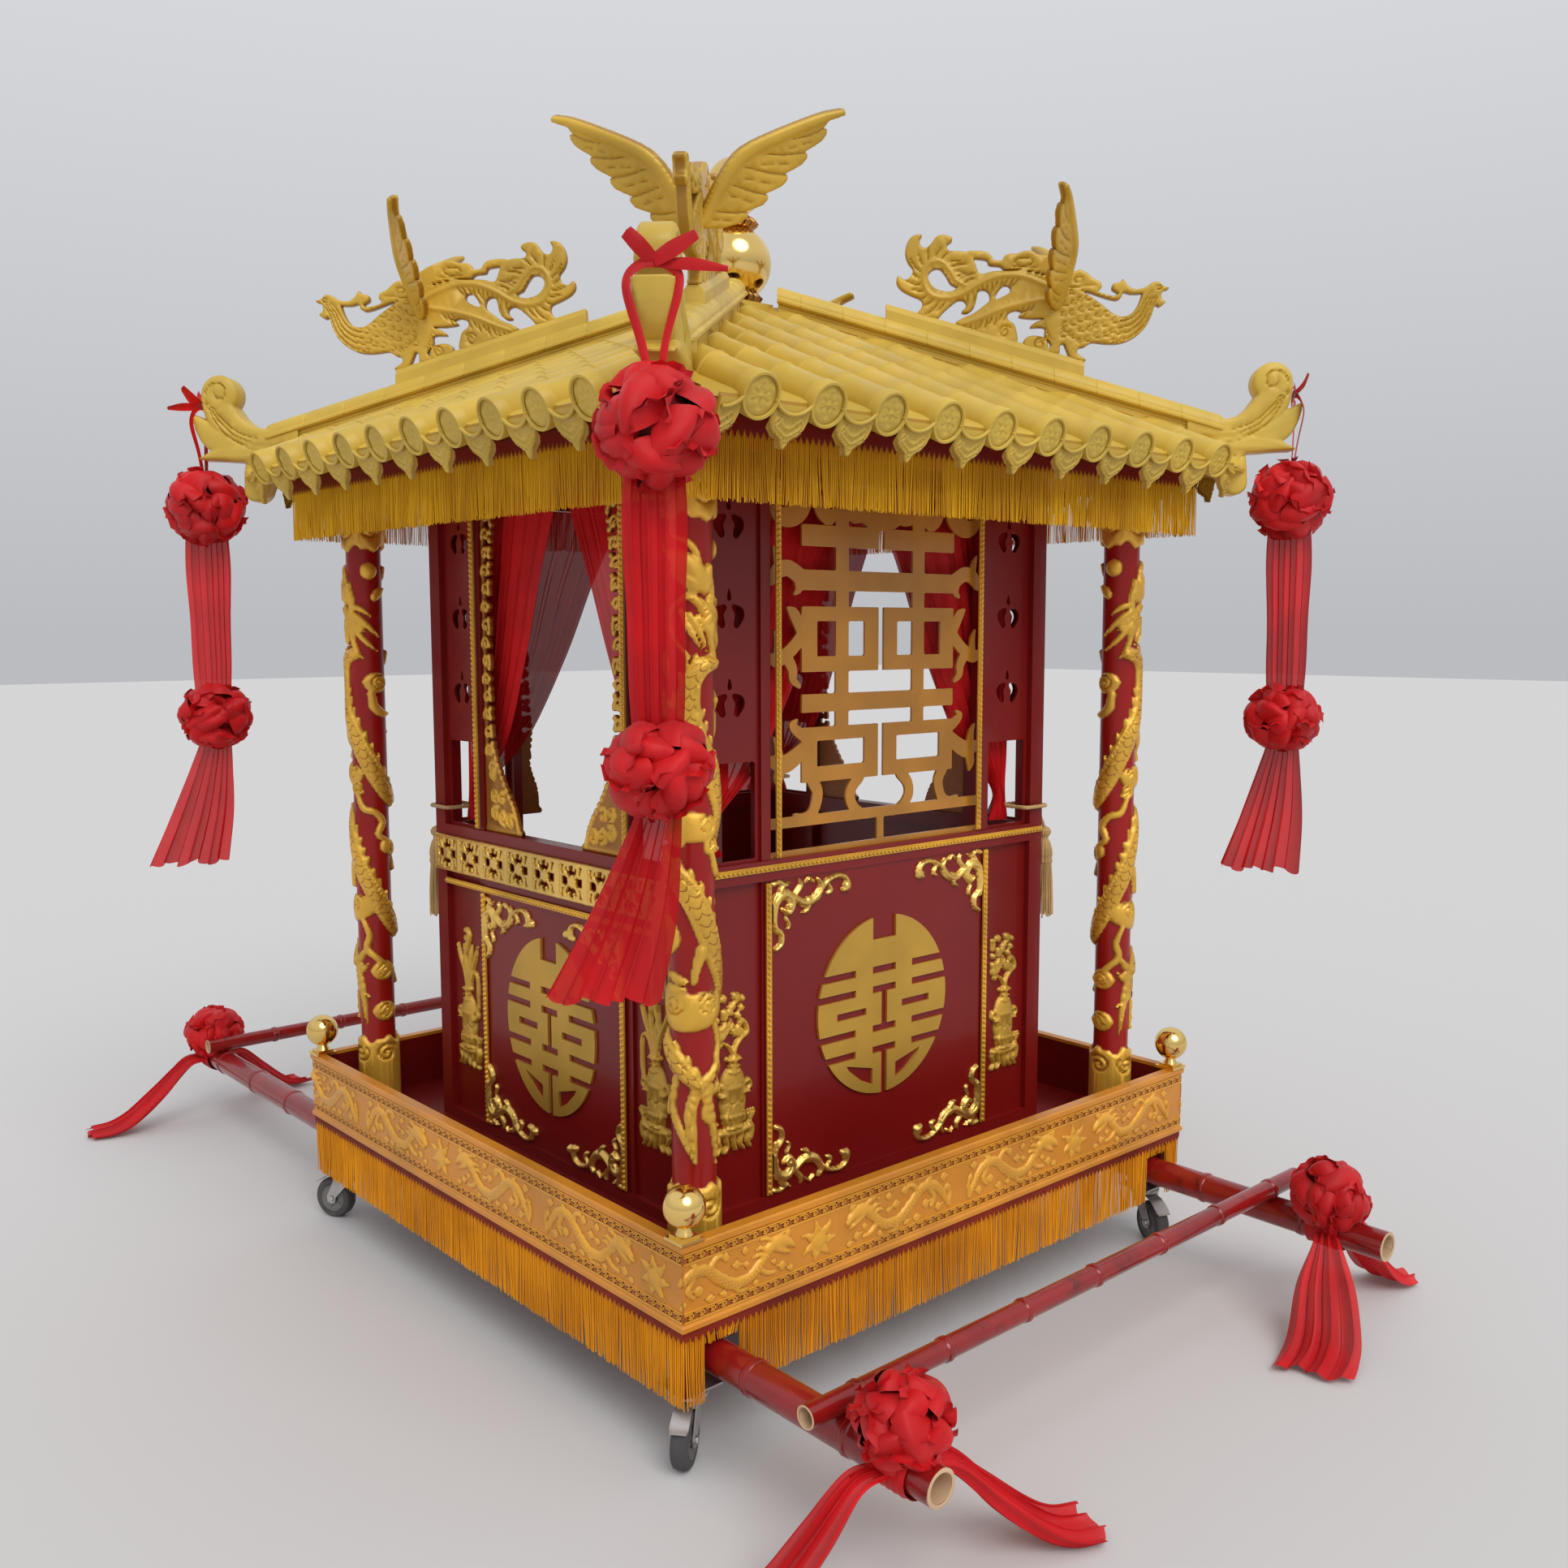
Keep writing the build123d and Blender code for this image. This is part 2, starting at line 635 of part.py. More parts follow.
def tassel(sx, sy, on_side):
    """A knot, a bell-shaped head and a long skirt."""
    outline = [
        (0, TASSEL_TOP),
        (12, TASSEL_TOP),
        (17, TASSEL_TOP - 14),
        (10, TASSEL_TOP - 30),
        (15, TASSEL_TOP - 42),
        (20, TASSEL_TOP - 70),
        (18, TASSEL_TOP - 82),
        (25, TASSEL_TOP - 225),
        (0, TASSEL_TOP - 225),
    ]
    body = revolve(make_face(Polyline(*[(r, 0, z) for r, z in outline], close=True)), Axis.Z)
    x, y = tassel_place(on_side, TASSEL_OUT)
    return mirrored(Pos(x, y, 0) * body, sx, sy)


# Roof
def ceiling():
    """A board across the columns and the cabin, covered with red cloth below."""
    return block((-FRINGE_OUT + 8, FRINGE_OUT - 8), (-FRINGE_OUT + 8, FRINGE_OUT - 8), CEILING_Z)


def roof_beams():
    """The square frame on the ceiling that carries the tile shells."""
    out = FRINGE_OUT - 8
    wide = 40.0
    ring = block((-out, out), (-out, out), (CEILING_Z[1], ROOF_BEAM_TOP))
    ring -= block((-out + wide, out - wide), (-out + wide, out - wide), (CEILING_Z[1], ROOF_BEAM_TOP))
    return ring


def tile_axis_z(d):
    """Height of the barrel tiles' axes at distance d from the middle of the roof."""
    return EAVE_AXIS_Z + ROOF_SLOPE * (EAVE_AT - d)


def tile_slope():
    """One face of the roof: a pan with barrel tiles, round ends and pointed drip tiles."""
    sheet = 6.0
    length = (EAVE_AT + 60) / cos(ROOF_ANGLE)
    pan = Pos(0, length / 2 + 2, -PAN_DROP - sheet / 2) * Box(2 * EAVE_AT + 60, length, sheet)
    face = pan
    barrel = Rot(90, 0, 0) * Cylinder(TILE_R, length)
    barrel -= Pos(0, 0, -PAN_DROP - TILE_R) * Box(2 * TILE_R, length, 2 * TILE_R)
    for k in range(TILES_PER_SIDE):
        x = (k - (TILES_PER_SIDE - 1) / 2) * TILE_PITCH
        face += Pos(x, length / 2 + 2, 0) * barrel
    face = EAVE_PLANE * face
    half, cap = EAVE_AT + 200, ROOF_CAP_HALF
    outline = [(-half, -half), (half, -half), (cap, -cap), (-cap, -cap)]
    wedge = make_face(Polyline(*[(x, y, 1500) for x, y in outline], close=True))
    face &= extrude(wedge, amount=1000, dir=(0, 0, 1))
    corner = block((RIDGE_END, 1400), (-SCROLL_THICK / 2, SCROLL_THICK / 2), (1700, 1900))
    for turn in (225, 315):
        face -= Rot(0, 0, turn) * (hip_ridge() + corner)
    return face


def eave_ends():
    """Round ends of the barrel tiles and the pointed drip tiles between them, along one eave."""
    ends = []
    for k in range(TILES_PER_SIDE):
        x = (k - (TILES_PER_SIDE - 1) / 2) * TILE_PITCH
        disc = Rot(90, 0, 0) * Cylinder(TILE_R + 3, 8)
        ends.append(EAVE_PLANE * Pos(x, -2, 0) * disc)
    for k in range(TILES_PER_SIDE - 1):
        x = (k - (TILES_PER_SIDE - 2) / 2) * TILE_PITCH
        drip = [(-33, 0), (-31, -26), (-14, -44), (0, -62), (14, -44), (31, -26), (33, 0)]
        ends.append(EAVE_PLANE * plate_xz([(x + a, -PAN_DROP + b) for a, b in drip], -4, 6))
    return ends


def hip_corner_outline():
    """Outline of the ridge's outer end in the diagonal plane: leaf, two lobes and the scroll's neck."""
    return [
        (1040, 1838),
        (1092, 1838),
        (1096, 1775),
        (1112, 1755),
        (1138, 1752),
        (1160, 1766),
        (1163, 1792),
        (1149, 1841),
        (1195, 1849),
        (1254, 1856),
        (1226, 1872),
        (1204, 1880),
        (1238, 1900),
        (1262, 1928),
        (1272, 1950),
        (1254, 1962),
        (1251, 2000),
        (1200, 2000),
        (1190, 1968),
        (1156, 1936),
        (1128, 1924),
        (1040, 1922),
    ]


def hip_ridge():
    """The ridge over one hip, along +X here: web, round cap, and the scroll corner."""
    start, end, cap_end = 98.0, RIDGE_END, 1101.0
    cap_r = 30.0
    hip_fall = ROOF_SLOPE / sqrt(2)

    def top(r):
        return RIDGE_TOP_Z - hip_fall * r

    web = [
        (start, tile_axis_z(start / sqrt(2)) - 24),
        (end, tile_axis_z(end / sqrt(2)) - 24),
        (end, top(end) - cap_r),
        (start, top(start) - cap_r),
    ]
    ridge = plate_xz(web, -24, 48)
    fall_angle = atan(hip_fall)
    middle = (start + cap_end) / 2
    cap = Rot(0, 90, 0) * Cylinder(cap_r, (cap_end - start) / cos(fall_angle))
    ridge += Pos(middle, 0, top(middle) - cap_r / cos(fall_angle)) * Rot(0, degrees(fall_angle), 0) * cap
    ridge += plate_xz(hip_corner_outline(), -SCROLL_THICK / 2, SCROLL_THICK)
    return ridge + Pos(1208, 0, 2002) * Rot(90, 0, 0) * Cylinder(43, SCROLL_THICK)


def hip_ridges():
    return together([Rot(0, 0, 45 + 90 * k) * hip_ridge() for k in range(4)])


def roof_cap():
    """The square block at the top that the ridges run into and the double ball stands on."""
    half = ROOF_CAP_HALF
    return block((-half, half), (-half, half), (2080, ROOF_CAP_TOP))


def finial_balls():
    """Two polished balls, one on the other, on short necks."""
    lower = Pos(0, 0, 2281) * Sphere(82.5)
    upper = Pos(0, 0, 2452) * Sphere(64.4)
    neck = Pos(0, 0, 2376) * Cylinder(30, 40)
    foot = block_cylinder(38, ROOF_CAP_TOP, 2218)
    return lower + upper + neck + foot


def eave_fringe_side(is_short):
    half = FRINGE_OUT - (FRINGE_THICK + 1 if is_short else 0)
    return block((-half, half), (-FRINGE_OUT, -FRINGE_OUT + FRINGE_THICK), (EAVE_FRINGE_LOW, ROOF_BEAM_TOP))


# The phoenix's carved plate as tapering strokes in the diagonal plane.
# columns: points along the stroke (distance from the roof's middle, height), half widths at those points
PHOENIX_STROKES = [
    ([(866, 2122), (824, 2143), (755, 2162), (708, 2192)], [33, 51, 46, 26]),  # body
    ([(862, 2116), (905, 2134), (925, 2165), (946, 2204)], [30, 25, 17, 17]),  # neck
    ([(936, 2202), (958, 2214), (980, 2212)], [16, 8, 2]),  # head and upper bill
    ([(940, 2194), (969, 2182)], [11, 3]),  # lower bill
    ([(936, 2216), (903, 2207), (883, 2212), (874, 2231)], [5, 5, 6, 3]),  # crest
    ([(876, 2226), (852, 2206), (822, 2212)], [5, 6, 7]),  # ribbon
    ([(822, 2212), (792, 2230), (750, 2244)], [12, 18, 16]),  # cloud on the back
    ([(738, 2262), (698, 2266), (663, 2272), (622, 2274)], [14, 22, 22, 10]),  # long cloud
    ([(624, 2272), (599, 2267), (575, 2277), (557, 2291), (520, 2294)], [6, 5, 5, 5, 6]),  # cloud's ribbon
    ([(707, 2200), (660, 2226), (612, 2228), (560, 2204), (500, 2178), (440, 2188)], [20, 22, 22, 30, 34, 28]),
    ([(500, 2200), (455, 2188), (412, 2206), (402, 2246), (422, 2284), (470, 2298), (512, 2276)],
     [20, 26, 28, 28, 27, 26, 24]),  # curl of the upper plume
    ([(408, 2222), (382, 2226), (367, 2245)], [22, 12, 2]),
    ([(412, 2264), (398, 2300), (422, 2338)], [22, 18, 3]),
    ([(446, 2286), (464, 2318), (489, 2333)], [24, 16, 6]),
    ([(496, 2282), (525, 2287), (540, 2287)], [24, 20, 13]),
    ([(440, 2192), (423, 2166)], [22, 4]),
    ([(710, 2190), (652, 2187), (609, 2172), (566, 2152), (512, 2140)], [18, 18, 18, 16, 6]),  # lower plume
    ([(586, 2196), (552, 2194), (536, 2176), (544, 2160)], [13, 12, 9, 5]),  # hooked feather
    ([(712, 2166), (642, 2155)], [14, 2]),
    ([(716, 2146), (670, 2133)], [13, 2]),
    ([(632, 2122), (608, 2124), (590, 2112)], [20, 25, 20]),  # clouds on the bar
    ([(700, 2088), (676, 2094)], [15, 16]),
    ([(738, 2138), (713, 2116), (722, 2096), (733, 2070)], [18, 12, 8, 8]),  # legs
    ([(775, 2118), (762, 2098), (770, 2084), (784, 2058)], [18, 12, 8, 8]),
]
# The wing, from the root's front round the tip and back along the scalloped feathers.
# columns: distance from the roof's middle, distance from the diagonal plane, height
WING_OUTLINE = [
    (744, 8, 2176),
    (768, 50, 2232),
    (774, 80, 2270),
    (764, 120, 2300),
    (730, 210, 2351),
    (712, 250, 2370),
    (704, 228, 2338),
    (712, 212, 2336),
    (699, 192, 2298),
    (707, 176, 2296),
    (696, 156, 2262),
    (704, 142, 2260),
    (694, 120, 2228),
    (702, 106, 2228),
    (693, 82, 2200),
    (701, 68, 2202),
    (700, 8, 2160),
]
PHOENIX_THICK = 28.0
PHOENIX_BAR = (38.0, 30.0)  # width and height of the bar that the plate stands on


def tapered_stroke(points, half_widths, samples=12):
    """The outline of a brush stroke in X and Z: a smooth line that swells and tapers."""
    line = Spline(*[(x, z) for x, z in points]) if len(points) > 2 else Line(*points)
    left, right = [], []
    for k in range(samples + 1):
        t = k / samples
        at, ahead = line @ t, line % t
        place = t * (len(half_widths) - 1)
        before = min(int(place), len(half_widths) - 2)
        half = half_widths[before] + (half_widths[before + 1] - half_widths[before]) * (place - before)
        left.append((at.X - ahead.Y * half, at.Y + ahead.X * half))
        right.append((at.X + ahead.Y * half, at.Y - ahead.X * half))
    return left + right[::-1]


def wing():
    """One spread wing: a flat plate through the root and the tip, tilted back towards the tail."""
    root, tip, trailing = Vector(722, 8, 2168), Vector(712, 250, 2370), Vector(696, 156, 2262)
    across = (tip - root).normalized()
    normal = across.cross(trailing - root).normalized()
    plane = Plane(origin=root, x_dir=across, z_dir=normal)
    flat = [plane.to_local_coords(Vector(*point)) for point in WING_OUTLINE]
    face = make_face(Polyline(*[(point.X, point.Y) for point in flat], close=True))
    return plane * (Pos(0, 0, -7) * extrude(face, amount=14))


def phoenix():
    """A phoenix on a bevelled bar, on the ridge along +X here, facing outwards."""
    plate = None
    for points, half_widths in PHOENIX_STROKES:
        stroke = plate_xz(tapered_stroke(points, half_widths), -PHOENIX_THICK / 2, PHOENIX_THICK)
        plate = stroke if plate is None else plate + stroke
    wide, high = PHOENIX_BAR
    hip_fall = ROOF_SLOPE / sqrt(2)
    ends = [(r, RIDGE_TOP_Z - hip_fall * r) for r in (343, 790)]
    bar = [ends[0], ends[1], (790, ends[1][1] + high), (343, ends[0][1] + high)]
    bird = plate_xz([(x, z - 12 * (k < 2)) for k, (x, z) in enumerate(bar)], -wide / 2, wide) + plate
    spread = wing()
    bird += spread
    bird += mirror(spread, Plane.XZ)
    return bird - hip_ridge()


def phoenixes():
    return [Rot(0, 0, 45 + 90 * k) * phoenix() for k in range(4)]


# Poles
# columns: side of the chair, front end and rear end along Y
MAIN_POLES = [(-1, -1253.0, 1756.0), (1, -1301.0, 1709.0)]
# columns: place along Y, left end and right end along X
CROSS_POLES = [(-1045.0, -738.0, 742.0), (1590.0, -704.0, 742.0)]


def bamboo(radius, length, spacing):
    """A hollow bamboo pole along +Z from the origin, with a low ring at each joint of the cane."""
    pole = Pos(0, 0, length / 2) * Cylinder(radius - 1.5, length)
    count = int(length // spacing)
    first = (length - (count - 1) * spacing) / 2
    for k in range(count):
        pole += Pos(0, 0, first + k * spacing) * Cylinder(radius, 10)
    bore = radius * 0.72
    depth = 110.0
    pole -= Pos(0, 0, depth / 2) * Cylinder(bore, depth)
    pole -= Pos(0, 0, length - depth / 2) * Cylinder(bore, depth)
    return pole


def carrying_poles():
    poles = []
    for side, front, rear in MAIN_POLES:
        pole = bamboo(POLE_R, rear - front, 240.0)
        poles.append(Pos(side * POLE_AT, front, POLE_Z) * Rot(-90, 0, 0) * pole)
    return together(poles)


def cross_poles():
    poles = []
    for y, left, right in CROSS_POLES:
        pole = bamboo(CROSS_R, right - left, 210.0)
        poles.append(Pos(left, y, CROSS_Z) * Rot(0, 90, 0) * pole)
    return together(poles)


# Cloth flowers
def hanging_bow(facing, drift):
    """Two gathered flowers on a wide ribbon with a flaring tail, hung from a roof corner."""
    upper = Pos(0, 0, 1745) * faceted_ball(92)
    lower = Pos(0, 0, 1250) * faceted_ball(86)
    tie = block((-10, 10), (-2, 2), (1800, 1945))
    tie -= Pos(0, -BOW_AT * sqrt(2), 0) * Rot(0, 0, 90) * hip_ridge()
    ribbon = block((-46, 46), (-8, 8), (1300, 1700))
    hem = [(drift + 90, 905), (drift - 90, 885)]
    tail = plate_xz([(-30, 1200), (30, 1200), *hem], -8, 16)
    return upper + tie + lower + Rot(0, 0, facing) * (ribbon + tail)


# The light wind drifts all four tails to the same side.
# columns: node's ending, corner in X, corner in Y,
# turn of the ribbon from square to the corner, how far the hem has drifted
CORNERS = [
    ("left_rear", -1, -1, 0, 95),
    ("left_front", -1, 1, 115, 75),
    ("right_front", 1, 1, 180, 60),
    ("right_rear", 1, -1, -106, 45),
]


def floor_tail(reach, half_wide):
    """A cloth tail along +X here, from under the pole out and down on to the floor."""
    floor = 0.5 - POLE_Z
    outline = [
        (POLE_R, 12),
        (90, 0),
        (0.5 * reach, -88),
        (0.82 * reach, floor + 16),
        (reach, floor + 12),
        (reach, floor),
        (0.74 * reach, floor),
        (0.44 * reach, -100),
        (80, -22),
        (POLE_R, -26),
    ]
    return plate_xz(outline, -half_wide, 2 * half_wide)


def pole_bow(tails):
    """A cloth flower tied on a carrying pole with a wrap, and its tails down to the floor."""
    bow = Pos(0, 0, POLE_BOW_LIFT) * faceted_ball(80) + Rot(90, 0, 0) * Cylinder(POLE_R + 6, 76)
    for turn, reach, half_wide in tails:
        bow += Rot(0, 0, turn) * floor_tail(reach, half_wide)
    bow -= Rot(90, 0, 0) * Cylinder(POLE_R, 1000)
    return bow


# columns: side, place along Y,
# tails as (direction in degrees from +X, reach, half width)
POLE_BOWS = [
    (-1, -1172.0, [(166, 355, 52), (-21, 365, 50)]),
    (1, -1172.0, [(205, 330, 70), (-6, 300, 50)]),
    (-1, 1672.0, [(172, 370, 52), (25, 370, 50)]),
    (1, 1625.0, [(8, 370, 52), (155, 370, 50)]),
]
POLE_BOW_LIFT = 72.0  # height of the flowers' middles over the pole's axis


def pole_bows():
    """The four flowers, cut where a cross pole presses into them."""
    bows = []
    for side, y, tails in POLE_BOWS:
        bow = Pos(side * POLE_AT, y, POLE_Z) * pole_bow(tails)
        for cross_y, left, right in CROSS_POLES:
            bow -= Pos(0, cross_y, CROSS_Z) * Rot(0, 90, 0) * Cylinder(CROSS_R, 2 * BASE_HALF)
        bows.append(bow)
    return together(bows)


# Casters
# columns: node's ending, corner in X, corner in Y, direction the wheel trails in, degrees from +X
CASTERS = [
    ("left_rear", -1, -1, 218.0),
    ("left_front", -1, 1, 118.0),
    ("right_front", 1, 1, 60.0),
    ("right_rear", 1, -1, 247.0),
]


def caster_plate():
    """Bolted plate with the king bolt that the fork turns on."""
    low, high = CASTER_PLATE_Z
    plate = block((-45, 45), (-38, 38), (low, high))
    for x, y in four_corners(34, 27):
        plate -= Pos(x, y, (low + high) / 2) * Cylinder(4.5, high - low)
    plate += block_cylinder(6.0, 110.0, low)
    plate += block_cylinder(10.0, 106.0, 112.6)
    return plate


def caster_fork():
    """Swivel head with two legs and the axle, trailing along +X here."""
    head = block_cylinder(31.0, 113.0, 129.6) - block_cylinder(6.06, 113.0, 129.6)
    fork = head
    trail, axle = CASTER_TRAIL, WHEEL_R
    for side in (-1, 1):
        outline = [
            (-24, 116),
            (-24, 106),
            (trail - 13, axle + 4),
            (trail - 10, axle - 9),
            (trail, axle - 13),
            (trail + 10, axle - 9),
            (trail + 13, axle + 4),
            (26, 106),
            (26, 116),
        ]
        y0 = 17.0 if side > 0 else -20.5
        fork += plate_xz(outline, y0, 3.5)
    axle_pin = Pos(trail, 0, axle) * Rot(90, 0, 0) * Cylinder(5.0, 46)
    return fork + axle_pin


def caster_wheel():
    """Solid rubber wheel on a ridged hub, bored for the axle."""
    half = WHEEL_WIDE / 2
    outline = [
        (5.06, -16.4),
        (13, -16.4),
        (13, -11),
        (31, -11),
        (34, -half),
        (45, -half),
        (WHEEL_R, -half + 6),
        (WHEEL_R, half - 6),
        (45, half),
        (34, half),
        (31, 11),
        (13, 11),
        (13, 16.4),
        (5.06, 16.4),
    ]
    face = make_face(Polyline(*[(r, 0, z) for r, z in outline], close=True))
    wheel = Rot(90, 0, 0) * revolve(face, Axis.Z)
    return Pos(CASTER_TRAIL, 0, WHEEL_R) * wheel


def main():
    write(base_frame(), "base_frame")
    write(pole_hoops(), "pole_hoops")
    write(block((-735, 735), (-735, 735), DECK_Z), "deck")
    sides = four_turns(apron_side())
    for name, side in zip(("rear", "right", "front", "left"), sides):
        write(side, f"apron_{name}")
    write(kerb_lining(), "kerb_lining")
    finials = [Pos(x, y, 0) * corner_finial() for x, y in four_corners(BALL_AT, BALL_AT)]
    write(together(finials), "corner_finials")
    skirts = [Rot(0, 0, 90 * k) * base_fringe_side(k % 2 == 0) for k in range(4)]
    write(together(skirts), "base_fringe")

    places = four_corners(COLUMN_AT, COLUMN_AT)
    write(together([Pos(x, y, 0) * column() for x, y in places]), "columns")
    collars = []
    for x, y in places:
        collars.append(Pos(x, y, 0) * column_collar(DECK_Z[1], BOTTOM_COLLAR_TOP))
        collars.append(Pos(x, y, 0) * column_collar(*TOP_COLLAR_Z))
    write(together(collars), "column_collars")
    write(column_dragons(), "column_dragons")

    write(cabin_frame(), "cabin_frame")
    write(lower_panels(), "lower_panels")
    write(side_screens(), "side_screens")
    write(rear_window_screen(), "rear_window_screen")
    write(window_fretwork(), "window_fretwork")
    write(pierced_bands(), "pierced_bands")
    write(wall_medallions(), "wall_medallions")
    write(bench(), "bench")
    write(seat_cushion(), "seat_cushion")
    write(together(window_curtains()), "curtains")
    write(together([tie_rope(*corner) for corner in TASSEL_CORNERS]), "tie_ropes")
    write(together([tassel(*corner) for corner in TASSEL_CORNERS]), "tassels")

    write(ceiling(), "ceiling")
    write(roof_beams(), "roof_beams")
    for name, slope in zip(("rear", "right", "front", "left"), four_turns(tile_slope())):
        write(slope, f"tile_slope_{name}")
    ends = []
    for k in range(4):
        ends += [Rot(0, 0, 90 * k) * piece for piece in eave_ends()]
    write(together(ends), "eave_tile_ends")
    write(hip_ridges(), "hip_ridges")
    write(roof_cap(), "roof_cap")
    write(finial_balls(), "finial_balls")
    write(together(phoenixes()), "phoenixes")
    write(together([Rot(0, 0, 90 * k) * eave_fringe_side(k % 2 == 0) for k in range(4)]), "eave_fringe")

    write(carrying_poles(), "carrying_poles")
    write(cross_poles(), "cross_poles")
    for name, sx, sy, facing, drift in CORNERS:
        turn = degrees(atan2(sy, sx)) - 90
        bow = Rot(0, 0, turn) * hanging_bow(facing, drift)
        write(Pos(sx * BOW_AT, sy * BOW_AT, 0) * bow, f"hanging_bow_{name}")
    write(pole_bows(), "pole_bows")

    plates = []
    for name, sx, sy, trail in CASTERS:
        place = Pos(sx * CASTER_AT, sy * CASTER_AT, 0)
        plates.append(place * caster_plate())
        write(place * Rot(0, 0, trail) * caster_fork(), f"caster_fork_{name}")
        write(place * Rot(0, 0, trail) * caster_wheel(), f"caster_wheel_{name}")
    write(together(plates), "caster_plates")


main()
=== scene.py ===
"""Looks of the wedding palanquin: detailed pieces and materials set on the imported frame.

Lengths are metres. Places in this file are measured from the middle of the chair on the floor;
SHIFT moves every mesh into the row frame when it is made.
"""
import copy
import math
import random

import bmesh
import bpy
import numpy as np
from mathutils import Matrix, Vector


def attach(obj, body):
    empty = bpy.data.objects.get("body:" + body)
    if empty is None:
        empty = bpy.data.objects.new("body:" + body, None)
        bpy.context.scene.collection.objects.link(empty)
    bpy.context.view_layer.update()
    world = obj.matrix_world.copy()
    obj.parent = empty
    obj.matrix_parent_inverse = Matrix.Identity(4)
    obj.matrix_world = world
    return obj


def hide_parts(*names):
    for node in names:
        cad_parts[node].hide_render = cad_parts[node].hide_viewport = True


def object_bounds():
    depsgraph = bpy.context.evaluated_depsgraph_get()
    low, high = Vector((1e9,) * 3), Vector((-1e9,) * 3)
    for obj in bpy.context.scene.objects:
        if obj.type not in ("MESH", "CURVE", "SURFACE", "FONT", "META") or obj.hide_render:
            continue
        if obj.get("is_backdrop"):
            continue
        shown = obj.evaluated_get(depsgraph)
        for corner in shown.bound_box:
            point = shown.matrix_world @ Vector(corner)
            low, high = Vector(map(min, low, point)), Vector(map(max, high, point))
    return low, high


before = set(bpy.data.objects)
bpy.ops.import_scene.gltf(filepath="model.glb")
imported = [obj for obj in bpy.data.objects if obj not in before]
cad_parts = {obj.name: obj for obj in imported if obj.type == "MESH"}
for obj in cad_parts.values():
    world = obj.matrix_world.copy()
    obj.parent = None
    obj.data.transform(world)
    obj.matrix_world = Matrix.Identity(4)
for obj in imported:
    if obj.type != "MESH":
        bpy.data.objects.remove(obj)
cad_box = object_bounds()
SHIFT = np.array((0.0, -0.249389, 0.0))
# Roof: rise over run, half the eave's width, height of the barrel tiles' axes at the eave, top of the ridges
# where they would meet
SLOPE = 0.417
EAVE = 0.845
EAVE_AXIS = 1.822
RIDGE_TOP = 2.258
BARRELS = 10
# Carrying poles: distance from the middle, height, radius, and for each its side and its two ends
POLE_X, POLE_Z, POLE_R = 0.655, 0.185, 0.0325
CARRYING_POLES = ((-1, -1.253, 1.756), (1, -1.301, 1.709))
# Cross poles: height, radius, and for each its place along Y and its two ends
CROSS_Z, CROSS_R = 0.2385, 0.021
CROSS_POLES = ((-1.045, -0.738, 0.742), (1.590, -0.704, 0.742))
BOW_AT = 0.892
CASTER_AT = 0.690
APRON_FACE = 0.7461
TAU = 2 * math.pi
BAR_FACES = np.array([(0, 1, 2, 3), (4, 5, 1, 0), (5, 6, 2, 1), (6, 7, 3, 2), (7, 4, 0, 3)])


# Mesh tools


class Soup:
    """Many small forms gathered into one mesh, with a tone for each point from 0 (recess, painted in full
    shade) to 1 (face, no painted shade), and the place in a pattern of scales where it has one."""

    def __init__(self):
        self.points, self.faces, self.tones, self.scales, self.count = [], [], [], [], 0

    def add(self, points, faces, tone=1.0, scales=None):
        points = np.asarray(points, float).reshape(-1, 3)
        for group in faces:
            if len(group):
                self.faces.append(np.asarray(group, np.int64) + self.count)
        self.points.append(points)
        self.tones.append(np.broadcast_to(np.asarray(tone, float), len(points)).copy())
        self.scales.append(np.zeros((len(points), 3)) if scales is None else scales)
        self.count += len(points)

    def merge(self, other, move=None, flip=False):
        """Adds another soup, moved by a function on its points, turned inside out where that mirrors it."""
        points = np.concatenate(other.points)
        faces = [group[:, ::-1] for group in other.faces] if flip else other.faces
        moved = points if move is None else move(points)
        self.add(moved, faces, np.concatenate(other.tones), np.concatenate(other.scales))


def thin_mesh(mesh, angle):
    """Merges faces that differ by less than an angle in degrees."""
    shape = bmesh.new()
    shape.from_mesh(mesh)
    bmesh.ops.dissolve_limit(shape, angle_limit=math.radians(angle), verts=shape.verts, edges=shape.edges)
    bmesh.ops.triangulate(shape, faces=shape.faces)
    shape.to_mesh(mesh)
    shape.free()


